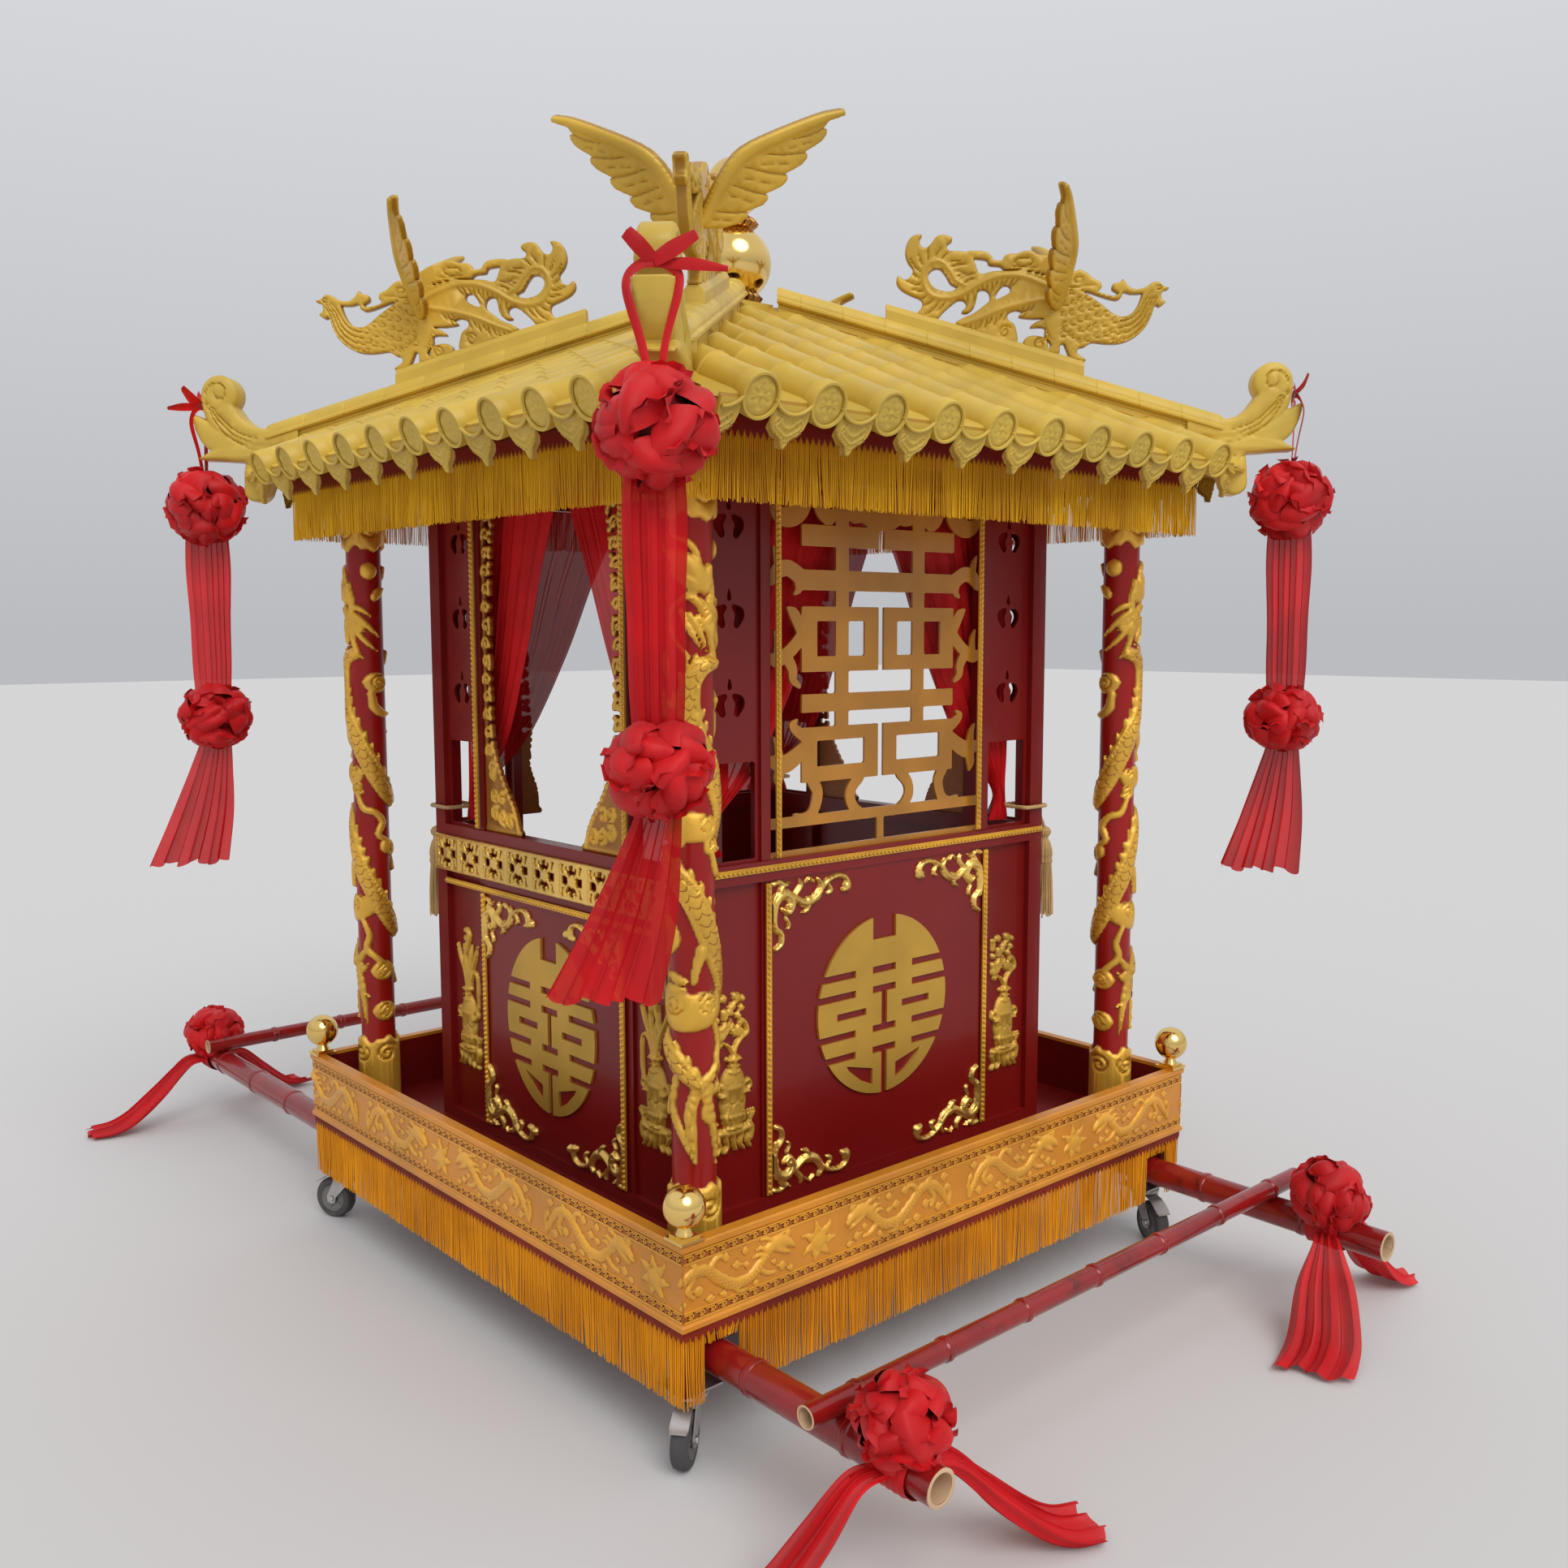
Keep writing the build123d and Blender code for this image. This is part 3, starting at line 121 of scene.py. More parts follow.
def piece(name, soup, material, slot, body="chair", smooth=True, sharp=40.0, thin=0.0, replaces=()):
    """Makes the object of a soup and lets it ride on a body."""
    mesh = bpy.data.meshes.new(name)
    points = np.concatenate(soup.points) + SHIFT
    sizes = np.concatenate([np.full(len(group), group.shape[1]) for group in soup.faces])
    corners = np.concatenate([group.ravel() for group in soup.faces])
    mesh.vertices.add(len(points))
    mesh.vertices.foreach_set("co", points.astype(np.float32).ravel())
    mesh.loops.add(len(corners))
    mesh.loops.foreach_set("vertex_index", corners.astype(np.int32))
    mesh.polygons.add(len(sizes))
    starts = np.concatenate(([0], np.cumsum(sizes)[:-1]))
    mesh.polygons.foreach_set("loop_start", starts.astype(np.int32))
    mesh.polygons.foreach_set("loop_total", sizes.astype(np.int32))
    mesh.polygons.foreach_set("use_smooth", np.full(len(sizes), smooth))
    mesh.update(calc_edges=True)
    mesh.validate()
    # depth is 1 − tone: how far a point lies in painted shade, which the recess colours of the materials
    # follow
    depth = mesh.attributes.new("depth", "FLOAT", "POINT")
    depth.data.foreach_set("value", (1 - np.concatenate(soup.tones)).astype(np.float32))
    scales = np.concatenate(soup.scales)
    if scales.any():
        carve = mesh.attributes.new("carve", "FLOAT_VECTOR", "POINT")
        carve.data.foreach_set("vector", scales.astype(np.float32).ravel())
    if thin:
        thin_mesh(mesh, thin)
    if smooth and sharp:
        mesh.set_sharp_from_angle(angle=math.radians(sharp))
    mesh.materials.append(material)
    made = bpy.data.objects.new(name, mesh)
    bpy.context.scene.collection.objects.link(made)
    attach(made, body)
    if replaces:
        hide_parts(*replaces)
    return made


def turning(c, s):
    """Turns points about the middle of the chair by the angle with this cosine and sine."""
    return lambda p: np.stack((c * p[:, 0] - s * p[:, 1], s * p[:, 0] + c * p[:, 1], p[:, 2]), 1)


def turned(quarter):
    return turning(*((1, 0), (0, 1), (-1, 0), (0, -1))[quarter % 4])


def rotated(degrees):
    return turning(math.cos(math.radians(degrees)), math.sin(math.radians(degrees)))


def framed(origin, a, b, n):
    """Places points given along a, b and n."""
    basis = np.array((a, b, n), float)
    return lambda p: np.asarray(origin, float) + np.asarray(p, float) @ basis


def laid_flat(u, v, high):
    """Points of a field as they are, for a later move."""
    return np.stack((u, v, high), -1)


def four_sides(name, one, look, slot, **more):
    """The piece that repeats a soup on the four sides or corners."""
    whole = Soup()
    for side in range(4):
        whole.merge(one, turned(side))
    return piece(name, whole, look, slot, **more)


def smooth_line(points, per=8, closed=False):
    """A Catmull-Rom line through the points, with any number of columns."""
    p = np.asarray(points, float)
    if len(p) == 2:
        t = np.linspace(0, 1, per + 1)[:, None]
        return p[0] * (1 - t) + p[1] * t
    if closed:
        p = np.vstack((p[-1], p, p[0], p[1]))
    else:
        p = np.vstack((2 * p[0] - p[1], p, 2 * p[-1] - p[-2]))
    out = []
    for k in range(1, len(p) - 2):
        t = np.linspace(0, 1, per, endpoint=False)[:, None]
        a, b, c, d = p[k - 1], p[k], p[k + 1], p[k + 2]
        cubic = 3 * b - a - 3 * c + d
        out.append(0.5 * (2 * b + (c - a) * t + (2 * a - 5 * b + 4 * c - d) * t**2 + cubic * t**3))
    if not closed:
        out.append(p[-2:-1])
    return np.concatenate(out)


def grid_faces(rows, columns, wrap_rows=False, wrap_columns=False):
    """Quads of a rows by columns grid of points."""
    i = np.arange(rows if wrap_rows else rows - 1)
    j = np.arange(columns if wrap_columns else columns - 1)
    i, j = np.meshgrid(i, j, indexing="ij")
    i2, j2 = (i + 1) % rows, (j + 1) % columns
    return np.stack((i * columns + j, i2 * columns + j, i2 * columns + j2, i * columns + j2), -1).reshape(-1,
                                                                                                          4)


def fan_caps(rows, columns):
    """Two triangle fans that close the first and the last row of a tube."""
    k = np.arange(1, columns - 1)
    first = np.stack((np.zeros_like(k), k, k + 1), -1)
    last = (rows - 1) * columns + np.stack((np.zeros_like(k), k + 1, k), -1)
    return np.concatenate((first, last))


def tube(soup, path, radius, sides=8, closed=False, up=(0, 0, 1), tone=1.0, cap=True):
    """A round tube along a path, with a radius for each point or one for all."""
    path = np.asarray(path, float)
    rows = len(path)
    radius = np.broadcast_to(np.asarray(radius, float), rows)
    if closed:
        ahead = np.roll(path, -1, 0) - np.roll(path, 1, 0)
    else:
        ahead = np.gradient(path, axis=0)
    ahead /= np.linalg.norm(ahead, axis=1, keepdims=True) + 1e-12
    normal = np.empty_like(path)
    n = np.asarray(up, float)
    for k in range(rows):
        n = n - ahead[k] * (n @ ahead[k])
        length = np.linalg.norm(n)
        if length < 1e-6:
            n = np.cross(ahead[k], (0.3, 0.5, 0.8))
            length = np.linalg.norm(n)
        n = n / length
        normal[k] = n
    side = np.cross(ahead, normal)
    a = np.linspace(0, TAU, sides, endpoint=False)
    ring = np.cos(a)[None, :, None] * side[:, None] + np.sin(a)[None, :, None] * normal[:, None]
    points = path[:, None] + ring * radius[:, None, None]
    faces = [grid_faces(rows, sides, closed, True)]
    if cap and not closed:
        faces.append(fan_caps(rows, sides))
    soup.add(points.reshape(-1, 3), faces, tone)


def lathe(soup, profile, sides=24, move=None, tone=1.0):
    """A turned form about +Z from (radius, height) points, first to last from the bottom up."""
    profile = np.asarray(profile, float)
    a = np.linspace(0, TAU, sides, endpoint=False)
    x = profile[:, None, 0] * np.cos(a)
    y = profile[:, None, 0] * np.sin(a)
    z = np.broadcast_to(profile[:, None, 1], x.shape)
    points = np.stack((x, y, z), -1).reshape(-1, 3)
    quads = grid_faces(len(profile), sides, False, True)[:, ::-1]
    soup.add(points if move is None else move(points), [quads], tone)


def flat_bars(soup, bars, place, proud):
    """Flat raised bars, each given by its left, right, lower and upper edge."""
    bars = np.asarray(bars, float)
    x, z = bars[:, [0, 1, 1, 0]], bars[:, [2, 2, 3, 3]]
    front = np.stack((x, z, np.full_like(x, proud)), -1)
    back = np.stack((x, z, np.zeros_like(x)), -1)
    points = np.concatenate((front, back), 1).reshape(-1, 3)
    faces = (BAR_FACES[None] + 8 * np.arange(len(bars))[:, None, None]).reshape(-1, 4)
    soup.add(place(points[:, 0], points[:, 1], points[:, 2]), [faces])


def box(soup, low, high, move):
    (x0, y0, z0), (x1, y1, z1) = low, high
    points = np.array([(x, y, z) for z in (z0, z1) for y in (y0, y1) for x in (x0, x1)])
    quads = [(0, 2, 3, 1), (4, 5, 7, 6), (0, 1, 5, 4), (2, 6, 7, 3), (0, 4, 6, 2), (1, 3, 7, 5)]
    soup.add(move(points), [np.array(quads)])


def beads(soup, start, end, radius, pitch, normal, oval):
    """A row of low half-round beads on a surface."""
    start, end, normal = (np.asarray(x, float) for x in (start, end, normal))
    length = np.linalg.norm(end - start)
    count = max(1, int(length / pitch))
    along = (end - start) / length
    side = np.cross(normal, along)
    rings, sides = 2, 7
    a = np.linspace(0, TAU, sides, endpoint=False)
    rows = []
    for k in range(rings):
        t = k / rings * math.pi / 2
        ring = np.outer(np.cos(a) * oval, along) + np.outer(np.sin(a), side)
        rows.append(ring * math.cos(t) + normal * math.sin(t))
    shape = np.concatenate(rows + [normal[None]]) * radius
    faces = grid_faces(rings, sides, False, True)
    top = (rings - 1) * sides
    k = np.arange(sides)
    tip = np.stack((top + k, top + (k + 1) % sides, np.full(sides, rings * sides)), -1)
    centres = start + np.outer((np.arange(count) + 0.5) / count * length, along)
    points = (centres[:, None] + shape[None]).reshape(-1, 3)
    step = np.arange(count)[:, None, None] * len(shape)
    soup.add(points, [(faces[None] + step).reshape(-1, 4), (tip[None] + step).reshape(-1, 3)])


class Field:
    """A carved relief on a flat grid: strokes swell and taper along smooth lines and stand proud."""

    def __init__(self, u_range, v_range, step):
        self.step = step
        self.u = np.arange(u_range[0], u_range[1] + step, step)
        self.v = np.arange(v_range[0], v_range[1] + step, step)
        self.U, self.V = np.meshgrid(self.u, self.v, indexing="ij")
        self.inside = np.full(self.U.shape, -0.02)
        self.high = np.full(self.U.shape, -0.02)
        self.scales = np.zeros((*self.U.shape, 3))

    def window(self, low, high):
        i0, i1 = np.searchsorted(self.u, (low[0], high[0]))
        j0, j1 = np.searchsorted(self.v, (low[1], high[1]))
        return slice(max(i0 - 1, 0), i1 + 1), slice(max(j0 - 1, 0), j1 + 1)

    def stroke(self, points, widths, proud, detail=None, per=8, sharp=0.5, closed=False, cut=False,
               scales=0.0):
        """One brush stroke. widths are half widths at the points; detail(along, across) scales the relief;
        scales is the length of one row of scales in the material."""
        line = smooth_line(np.column_stack((points, widths)), per, closed)
        if closed:
            line = np.vstack((line, line[0]))
        line[:, 2] = np.maximum(line[:, 2], 1e-4)
        reach = line[:, 2].max() + 3 * self.step
        box_i, box_j = self.window(line[:, :2].min(0) - reach, line[:, :2].max(0) + reach)
        U, V = self.U[box_i, box_j], self.V[box_i, box_j]
        if not U.size:
            return
        best = np.full(U.shape, -1e9)
        along, across = np.zeros(U.shape), np.zeros(U.shape)
        travelled = 0.0
        for (x0, y0, w0), (x1, y1, w1) in zip(line[:-1], line[1:]):
            dx, dy = x1 - x0, y1 - y0
            square = dx * dx + dy * dy
            if square < 1e-14:
                continue
            t = np.clip(((U - x0) * dx + (V - y0) * dy) / square, 0, 1)
            gone = np.hypot(U - x0 - t * dx, V - y0 - t * dy)
            width = w0 + (w1 - w0) * t
            s = width - gone
            better = s > best
            best = np.where(better, s, best)
            length = math.sqrt(square)
            along = np.where(better, travelled + t * length, along)
            sign = np.sign((V - y0) * dx - (U - x0) * dy)
            across = np.where(better, sign * gone / width, across)
            travelled += length
        if cut:
            self.inside[box_i, box_j] = np.minimum(self.inside[box_i, box_j], -best)
            return
        rise = np.clip(1 - np.abs(across) ** 2, 0, 1) ** sharp
        height = proud * rise
        if detail is not None:
            height = height * detail(along, np.clip(across, -1, 1))
        height = np.where(best > 0, height, best * 0.9)
        above = height > self.high[box_i, box_j]
        pattern = np.zeros((*U.shape, 3))
        if scales:
            widest = line[:, 2].max()
            pattern = np.stack((along / scales, across * widest / scales, 1.0 * (np.abs(across) < 0.62)), -1)
        self.scales[box_i, box_j] = np.where(above[..., None], pattern, self.scales[box_i, box_j])
        self.high[box_i, box_j] = np.maximum(self.high[box_i, box_j], height)
        self.inside[box_i, box_j] = np.maximum(self.inside[box_i, box_j], best)

    def groove(self, points, widths, depth, per=8, closed=False):
        """Engraves a line into what is there."""
        scratch = copy.copy(self)
        scratch.inside = np.full(self.U.shape, -0.02)
        scratch.high = np.zeros(self.U.shape)
        scratch.scales = np.zeros((*self.U.shape, 3))
        scratch.stroke(points, widths, depth, per=per, closed=closed, sharp=1.0)
        self.high = np.where(self.high > 0, np.maximum(self.high - np.maximum(scratch.high, 0), 0.0003),
                             self.high)

    def dome(self, centre, radius, proud, petals=0, dip=0.0):
        """A round boss, or a flower with petals."""
        box_i, box_j = self.window(np.subtract(centre, radius * 1.4), np.add(centre, radius * 1.4))
        U, V = self.U[box_i, box_j] - centre[0], self.V[box_i, box_j] - centre[1]
        r = np.hypot(U, V)
        edge = radius
        if petals:
            edge = radius * (1 + 0.16 * np.cos(petals * np.arctan2(V, U)))
        s = edge - r
        height = proud * np.sqrt(np.clip(1 - (r / edge) ** 2, 0, 1))
        if dip:
            height = height - dip * proud * np.exp(-((r / (0.35 * radius)) ** 2))
        height = np.where(s > 0, height, s * 0.9)
        self.high[box_i, box_j] = np.maximum(self.high[box_i, box_j], height)
        self.inside[box_i, box_j] = np.maximum(self.inside[box_i, box_j], s)

    def polygon(self, corners, proud, edge=0.004, cut=False):
        """A raised form inside a closed outline, rounded over a width of edge along its border, or a hole."""
        corners = np.asarray(corners, float)
        box_i, box_j = self.window(corners.min(0) - 3 * self.step, corners.max(0) + 3 * self.step)
        U, V = self.U[box_i, box_j], self.V[box_i, box_j]
        near = np.full(U.shape, 1e9)
        within = np.zeros(U.shape, bool)
        for (x0, y0), (x1, y1) in zip(corners, np.roll(corners, -1, 0)):
            dx, dy = x1 - x0, y1 - y0
            square = dx * dx + dy * dy
            if square < 1e-14:
                continue
            t = np.clip(((U - x0) * dx + (V - y0) * dy) / square, 0, 1)
            near = np.minimum(near, np.hypot(U - x0 - t * dx, V - y0 - t * dy))
            if y0 != y1:
                within ^= ((V < y0) != (V < y1)) & (U < x0 + (V - y0) * dx / dy)
        s = np.where(within, near, -near)
        if cut:
            self.inside[box_i, box_j] = np.minimum(self.inside[box_i, box_j], -s)
            self.high[box_i, box_j] = np.where(s > 0, 0, self.high[box_i, box_j])
            return
        rise = np.clip(1 - (1 - np.clip(s / edge, 0, 1)) ** 2, 0, 1) ** 0.5
        height = np.where(s > 0, proud * rise, s * 0.9)
        self.high[box_i, box_j] = np.maximum(self.high[box_i, box_j], height)
        self.inside[box_i, box_j] = np.maximum(self.inside[box_i, box_j], s)

    def relief(self, soup, place, sink=0.0015, tone_height=None):
        """Adds the relief as a skin that dips under the surface round the ornament."""
        high = np.clip(self.high, -sink, None)
        keep = (high > -sink).astype(np.int8)
        cell = keep[:-1, :-1] + keep[1:, :-1] + keep[:-1, 1:] + keep[1:, 1:] > 0
        used = np.zeros(self.U.shape, bool)
        used[:-1, :-1] |= cell
        used[1:, :-1] |= cell
        used[:-1, 1:] |= cell
        used[1:, 1:] |= cell
        number = np.cumsum(used.ravel()) - 1
        columns = self.U.shape[1]
        i, j = np.nonzero(cell)
        quads = np.stack((i * columns + j, (i + 1) * columns + j, (i + 1) * columns + j + 1,
                          i * columns + j + 1), -1)
        # Tone rises with height, so the low parts of the relief are painted in shade.
        top = tone_height or max(high.max(), 1e-4)
        points = place(self.U[used], self.V[used], high[used])
        soup.add(points, [number[quads]], np.clip(high[used] / top, 0, 1), self.scales[used])

    def plate(self, soup, place, half, base=0.5, flat_back=False):
        """Adds a pierced plate with this relief on both faces or on one, cut along the strokes' outline.
        half is half the plate's thickness where the relief is lowest."""
        s = self.inside
        columns = s.shape[1]
        i, j = np.meshgrid(np.arange(s.shape[0] - 1), np.arange(columns - 1), indexing="ij")
        a = (i * columns + j).ravel()
        tris = np.concatenate((np.stack((a, a + columns, a + columns + 1), -1),
                               np.stack((a, a + columns + 1, a + 1), -1)))
        flat = s.ravel()
        sign = flat[tris] > 0
        number = sign.sum(1)
        pieces, cuts, new_tris = [tris[number == 3]], [], []

        def crossing(p, q):
            return np.stack((np.minimum(p, q), np.maximum(p, q)), -1)

        for inside_count in (1, 2):
            group = tris[number == inside_count]
            lone = sign[number == inside_count] if inside_count == 1 else ~sign[number == inside_count]
            start = lone.argmax(1)
            rows = np.arange(len(group))
            p, q, r = (group[rows, (start + k) % 3] for k in range(3))
            new_tris.append((inside_count, p, q, r))
        edges = np.concatenate([np.concatenate((crossing(p, q), crossing(p, r))) for _, p, q, r in new_tris])
        unique, back = np.unique(edges, axis=0, return_inverse=True)
        back = back.reshape(-1)
        first, second = unique.T
        t = flat[first] / (flat[first] - flat[second])
        total = flat.size
        U, V = (np.concatenate((grid, grid[first] * (1 - t) + grid[second] * t))
                for grid in (self.U.ravel(), self.V.ravel()))
        H = np.concatenate((np.clip(self.high.ravel(), 0, None), np.zeros(len(unique))))
        used_edges = 0
        for inside_count, p, q, r in new_tris:
            n = len(p)
            pq = total + back[used_edges : used_edges + n]
            pr = total + back[used_edges + n : used_edges + 2 * n]
            used_edges += 2 * n
            if inside_count == 1:
                pieces.append(np.stack((p, pq, pr), -1))
                cuts.append(np.stack((pq, pr), -1))
            else:
                pieces.append(np.stack((pq, q, r), -1))
                pieces.append(np.stack((pq, r, pr), -1))
                cuts.append(np.stack((pr, pq), -1))
        faces = np.concatenate(pieces)
        cuts = np.concatenate(cuts)
        used, back = np.unique(faces, return_inverse=True)
        faces = back.reshape(-1, 3)
        lookup = np.zeros(len(U), np.int64)
        lookup[used] = np.arange(len(used))
        cuts = lookup[cuts]
        U, V, H = U[used], V[used], H[used]
        scales = np.concatenate((self.scales.reshape(-1, 3), np.zeros((len(unique), 3))))[used]
        n = len(U)
        top = max(H.max(), 1e-4)
        front, rear = place(U, V, half + H), place(U, V, -half - (0 * H if flat_back else H))
        # Tone rises from base on the plate's low parts to 1 on top of the relief: painted shade on the low
        # parts.
        tone = np.clip(base + (1 - base) * H / top, 0, 1)
        walls = np.stack((cuts[:, 0], cuts[:, 0] + n, cuts[:, 1] + n, cuts[:, 1]), -1)
        soup.add(np.concatenate((front, rear)), [faces, faces[:, ::-1] + n, walls],
                 np.concatenate((tone, tone)), np.concatenate((scales, scales)))


# Materials


GRAIN = 900.0


def material(name, color, roughness=0.5, metallic=0.0, coat=0.0, sheen=0.0, recess_shade=None, vary=0.12,
             bump=0.15, scale=6.0, alpha=1.0, wear=None, weave=None, specular=None, scaled=0.0):
    """A painted, gilded or woven surface. The recess colour is painted shade, mixed in by the depth attribute
    where a point lies low in a carving, inside gathered cloth or at the top of a fringe; wear is (colour,
    amount) that shows in patches; weave is the scale of a cloth's bump; scaled is how deep the bump of dragon
    scales is, and the rim of each scale is painted in the recess shade too."""
    made = bpy.data.materials.new(name)
    made.use_nodes = True
    nodes, links = made.node_tree.nodes, made.node_tree.links
    shader = nodes["Principled BSDF"]
    shader.inputs["Metallic"].default_value = metallic
    if coat:
        shader.inputs["Coat Weight"].default_value = coat
        shader.inputs["Coat Roughness"].default_value = 0.08
    if sheen:
        shader.inputs["Sheen Weight"].default_value = sheen
        shader.inputs["Sheen Roughness"].default_value = 0.4
    if alpha < 1:
        shader.inputs["Alpha"].default_value = alpha
    if specular is not None:
        shader.inputs["Specular IOR Level"].default_value = specular
    place = nodes.new("ShaderNodeTexCoord")

    def noise(size, detail=4.0, distortion=0.0):
        node = nodes.new("ShaderNodeTexNoise")
        node.inputs["Scale"].default_value = size
        node.inputs["Detail"].default_value = detail
        node.inputs["Distortion"].default_value = distortion
        links.new(place.outputs["Object"], node.inputs["Vector"])
        return node.outputs["Fac"]

    def mix(factor, a, b):
        node = nodes.new("ShaderNodeMix")
        node.data_type = "RGBA"
        for socket, value in ((node.inputs[0], factor), (node.inputs[6], a), (node.inputs[7], b)):
            if hasattr(value, "links") or hasattr(value, "is_linked"):
                links.new(value, socket)
            elif isinstance(value, (int, float)):
                socket.default_value = value
            else:
                socket.default_value = (*value, 1.0)
        return node.outputs[2]

    def ramp(value, low, high):
        node = nodes.new("ShaderNodeMapRange")
        node.interpolation_type = "SMOOTHSTEP"
        node.inputs["From Min"].default_value = low
        node.inputs["From Max"].default_value = high
        links.new(value, node.inputs["Value"])
        return node.outputs["Result"]

    dark = tuple(c * (1 - vary * 1.6) for c in color)
    light = tuple(min(1.0, c * (1 + vary)) for c in color)
    tint = mix(ramp(noise(scale, 5.0), 0.3, 0.7), dark, light)
    if wear:
        tint = mix(ramp(noise(scale * 5, 8.0, 0.4), 0.66 - wear[1] * 0.25, 0.76), tint, wear[0])
    # Painted shade: the recess colour fills points by their depth.
    if recess_shade:
        attribute = nodes.new("ShaderNodeAttribute")
        attribute.attribute_name = "depth"
        tint = mix(ramp(attribute.outputs["Fac"], 0.55, 0.97), tint, recess_shade)
    fish = None
    if scaled:
        carve = nodes.new("ShaderNodeAttribute")
        carve.attribute_name = "carve"
        parts = nodes.new("ShaderNodeSeparateXYZ")
        links.new(carve.outputs["Vector"], parts.inputs[0])

        def math_node(operation, a, b=None):
            node = nodes.new("ShaderNodeMath")
            node.operation = operation
            for socket, value in zip(node.inputs, (a, b)):
                if isinstance(value, (int, float)):
                    socket.default_value = value
                elif value is not None:
                    links.new(value, socket)
            return node.outputs["Value"]

        shifted = math_node("ADD", parts.outputs["Y"],
                            math_node("MULTIPLY", math_node("FLOOR", parts.outputs["X"]), 0.5))
        off = math_node("SUBTRACT", math_node("FRACT", shifted), 0.5)
        arc = math_node("MULTIPLY", math_node("MULTIPLY", off, off), 1.9)
        saw = math_node("FRACT", math_node("ADD", math_node("FRACT", parts.outputs["X"]), arc))
        fish = math_node("MULTIPLY", saw, parts.outputs["Z"])
        # Painted shade along the rim of each carved scale, in the recess colour.
        tint = mix(math_node("MULTIPLY", ramp(fish, 0.74, 1.0), 0.95), tint, recess_shade)
    links.new(tint, shader.inputs["Base Color"])
    rough = nodes.new("ShaderNodeMapRange")
    rough.inputs["To Min"].default_value = max(0.03, roughness - 0.08)
    rough.inputs["To Max"].default_value = min(1.0, roughness + 0.12)
    links.new(noise(scale * 3, 3.0), rough.inputs["Value"])
    links.new(rough.outputs["Result"], shader.inputs["Roughness"])
    height = noise(GRAIN, 3.0)
    bumper = nodes.new("ShaderNodeBump")
    bumper.inputs["Strength"].default_value = bump
    bumper.inputs["Distance"].default_value = 0.002
    if weave:
        wave = nodes.new("ShaderNodeTexWave")
        wave.wave_type = "BANDS"
        wave.bands_direction = "DIAGONAL"
        wave.inputs["Scale"].default_value = weave
        wave.inputs["Distortion"].default_value = 2.0
        wave.inputs["Detail"].default_value = 2.0
        links.new(place.outputs["Object"], wave.inputs["Vector"])
        joined = nodes.new("ShaderNodeMath")
        joined.operation = "ADD"
        links.new(wave.outputs["Fac"], joined.inputs[0])
        links.new(height, joined.inputs[1])
        height = joined.outputs["Value"]
    if fish is not None:
        height = math_node("ADD", height, math_node("MULTIPLY", fish, -scaled))
    links.new(height, bumper.inputs["Height"])
    links.new(bumper.outputs["Normal"], shader.inputs["Normal"])
    return made


# The recess colours below are painted shade: low parts of carvings, gathered cloth, tops of the fringes, the
# cane's bore and the finial's flutes.
ROOF = material("roof_gold", (0.64, 0.435, 0.062), 0.42, 0.0, coat=0.08, recess_shade=(0.38, 0.20, 0.016),
                vary=0.08, specular=0.35)
PHOENIX_GOLD = material("phoenix_gold", (0.64, 0.40, 0.045), 0.36, 0.1, coat=0.1, recess_shade=(0.26, 0.10, 0.008),
                        vary=0.12, bump=0.2, specular=0.35)
GILT = material("gilt_relief", (0.82, 0.46, 0.05), 0.28, 0.45, coat=0.15, recess_shade=(0.26, 0.06, 0.006),
                vary=0.12, bump=0.35, scaled=5.0)
APRON = material("apron_gold", (0.70, 0.27, 0.018), 0.36, 0.15, coat=0.15, vary=0.10, bump=0.2)
OVAL = material("medallion_gold", (0.60, 0.35, 0.05), 0.38, 0.45, vary=0.08, bump=0.1)
MIRROR = material("polished_gold", (0.90, 0.62, 0.20), 0.12, 1.0, vary=0.06, bump=0.02)
RED_WALL = material("red_lacquer", (0.20, 0.006, 0.005), 0.34, 0.0, coat=0.15, vary=0.07, bump=0.05,
                    scale=2.0, specular=0.3)
RED_COLUMN = material("red_column", (0.32, 0.007, 0.005), 0.30, 0.0, coat=0.15, vary=0.08, bump=0.05,
                      specular=0.25)
RED_FRAME = material("base_paint", (0.16, 0.010, 0.008), 0.45, 0.0, coat=0.1, vary=0.2, bump=0.2,
                     wear=((0.10, 0.03, 0.02), 0.3))
DECK = material("deck_paint", (0.16, 0.005, 0.004), 0.40, 0.0, coat=0.1, vary=0.12, bump=0.1, specular=0.3)
AMBER = material("amber_screen", (0.50, 0.21, 0.015), 0.30, 0.25, coat=0.3, vary=0.12, bump=0.06)
CLOTH = material("red_organza", (0.60, 0.005, 0.008), 0.45, 0.0, sheen=0.06, vary=0.14, bump=0.2, weave=500.0,
                 recess_shade=(0.20, 0.002, 0.003), specular=0.3)
SATIN = material("red_satin", (0.42, 0.008, 0.010), 0.30, 0.0, sheen=0.3, vary=0.14, bump=0.15, weave=700.0)
DARK_GOLD = material("aged_gold", (0.42, 0.20, 0.05), 0.28, 0.9, vary=0.2, bump=0.1,
                     recess_shade=(0.08, 0.03, 0.01))
HUB = material("hub_grey", (0.16, 0.155, 0.15), 0.5, 0.0, vary=0.2, bump=0.2, wear=((0.30, 0.26, 0.22), 0.4))
SHEER = material("red_sheer", (0.62, 0.006, 0.010), 0.5, 0.0, sheen=0.05, vary=0.12, bump=0.15, weave=500.0,
                 alpha=0.94, specular=0.25)
VOILE = material("red_voile", (0.62, 0.006, 0.008), 0.6, 0.0, vary=0.10, bump=0.15, weave=600.0, alpha=0.93,
                 specular=0.2)
FRINGE = material("base_fringe_silk", (0.98, 0.36, 0.008), 0.45, 0.0, vary=0.14, bump=0.2,
                  recess_shade=(0.72, 0.16, 0.006), specular=0.3)
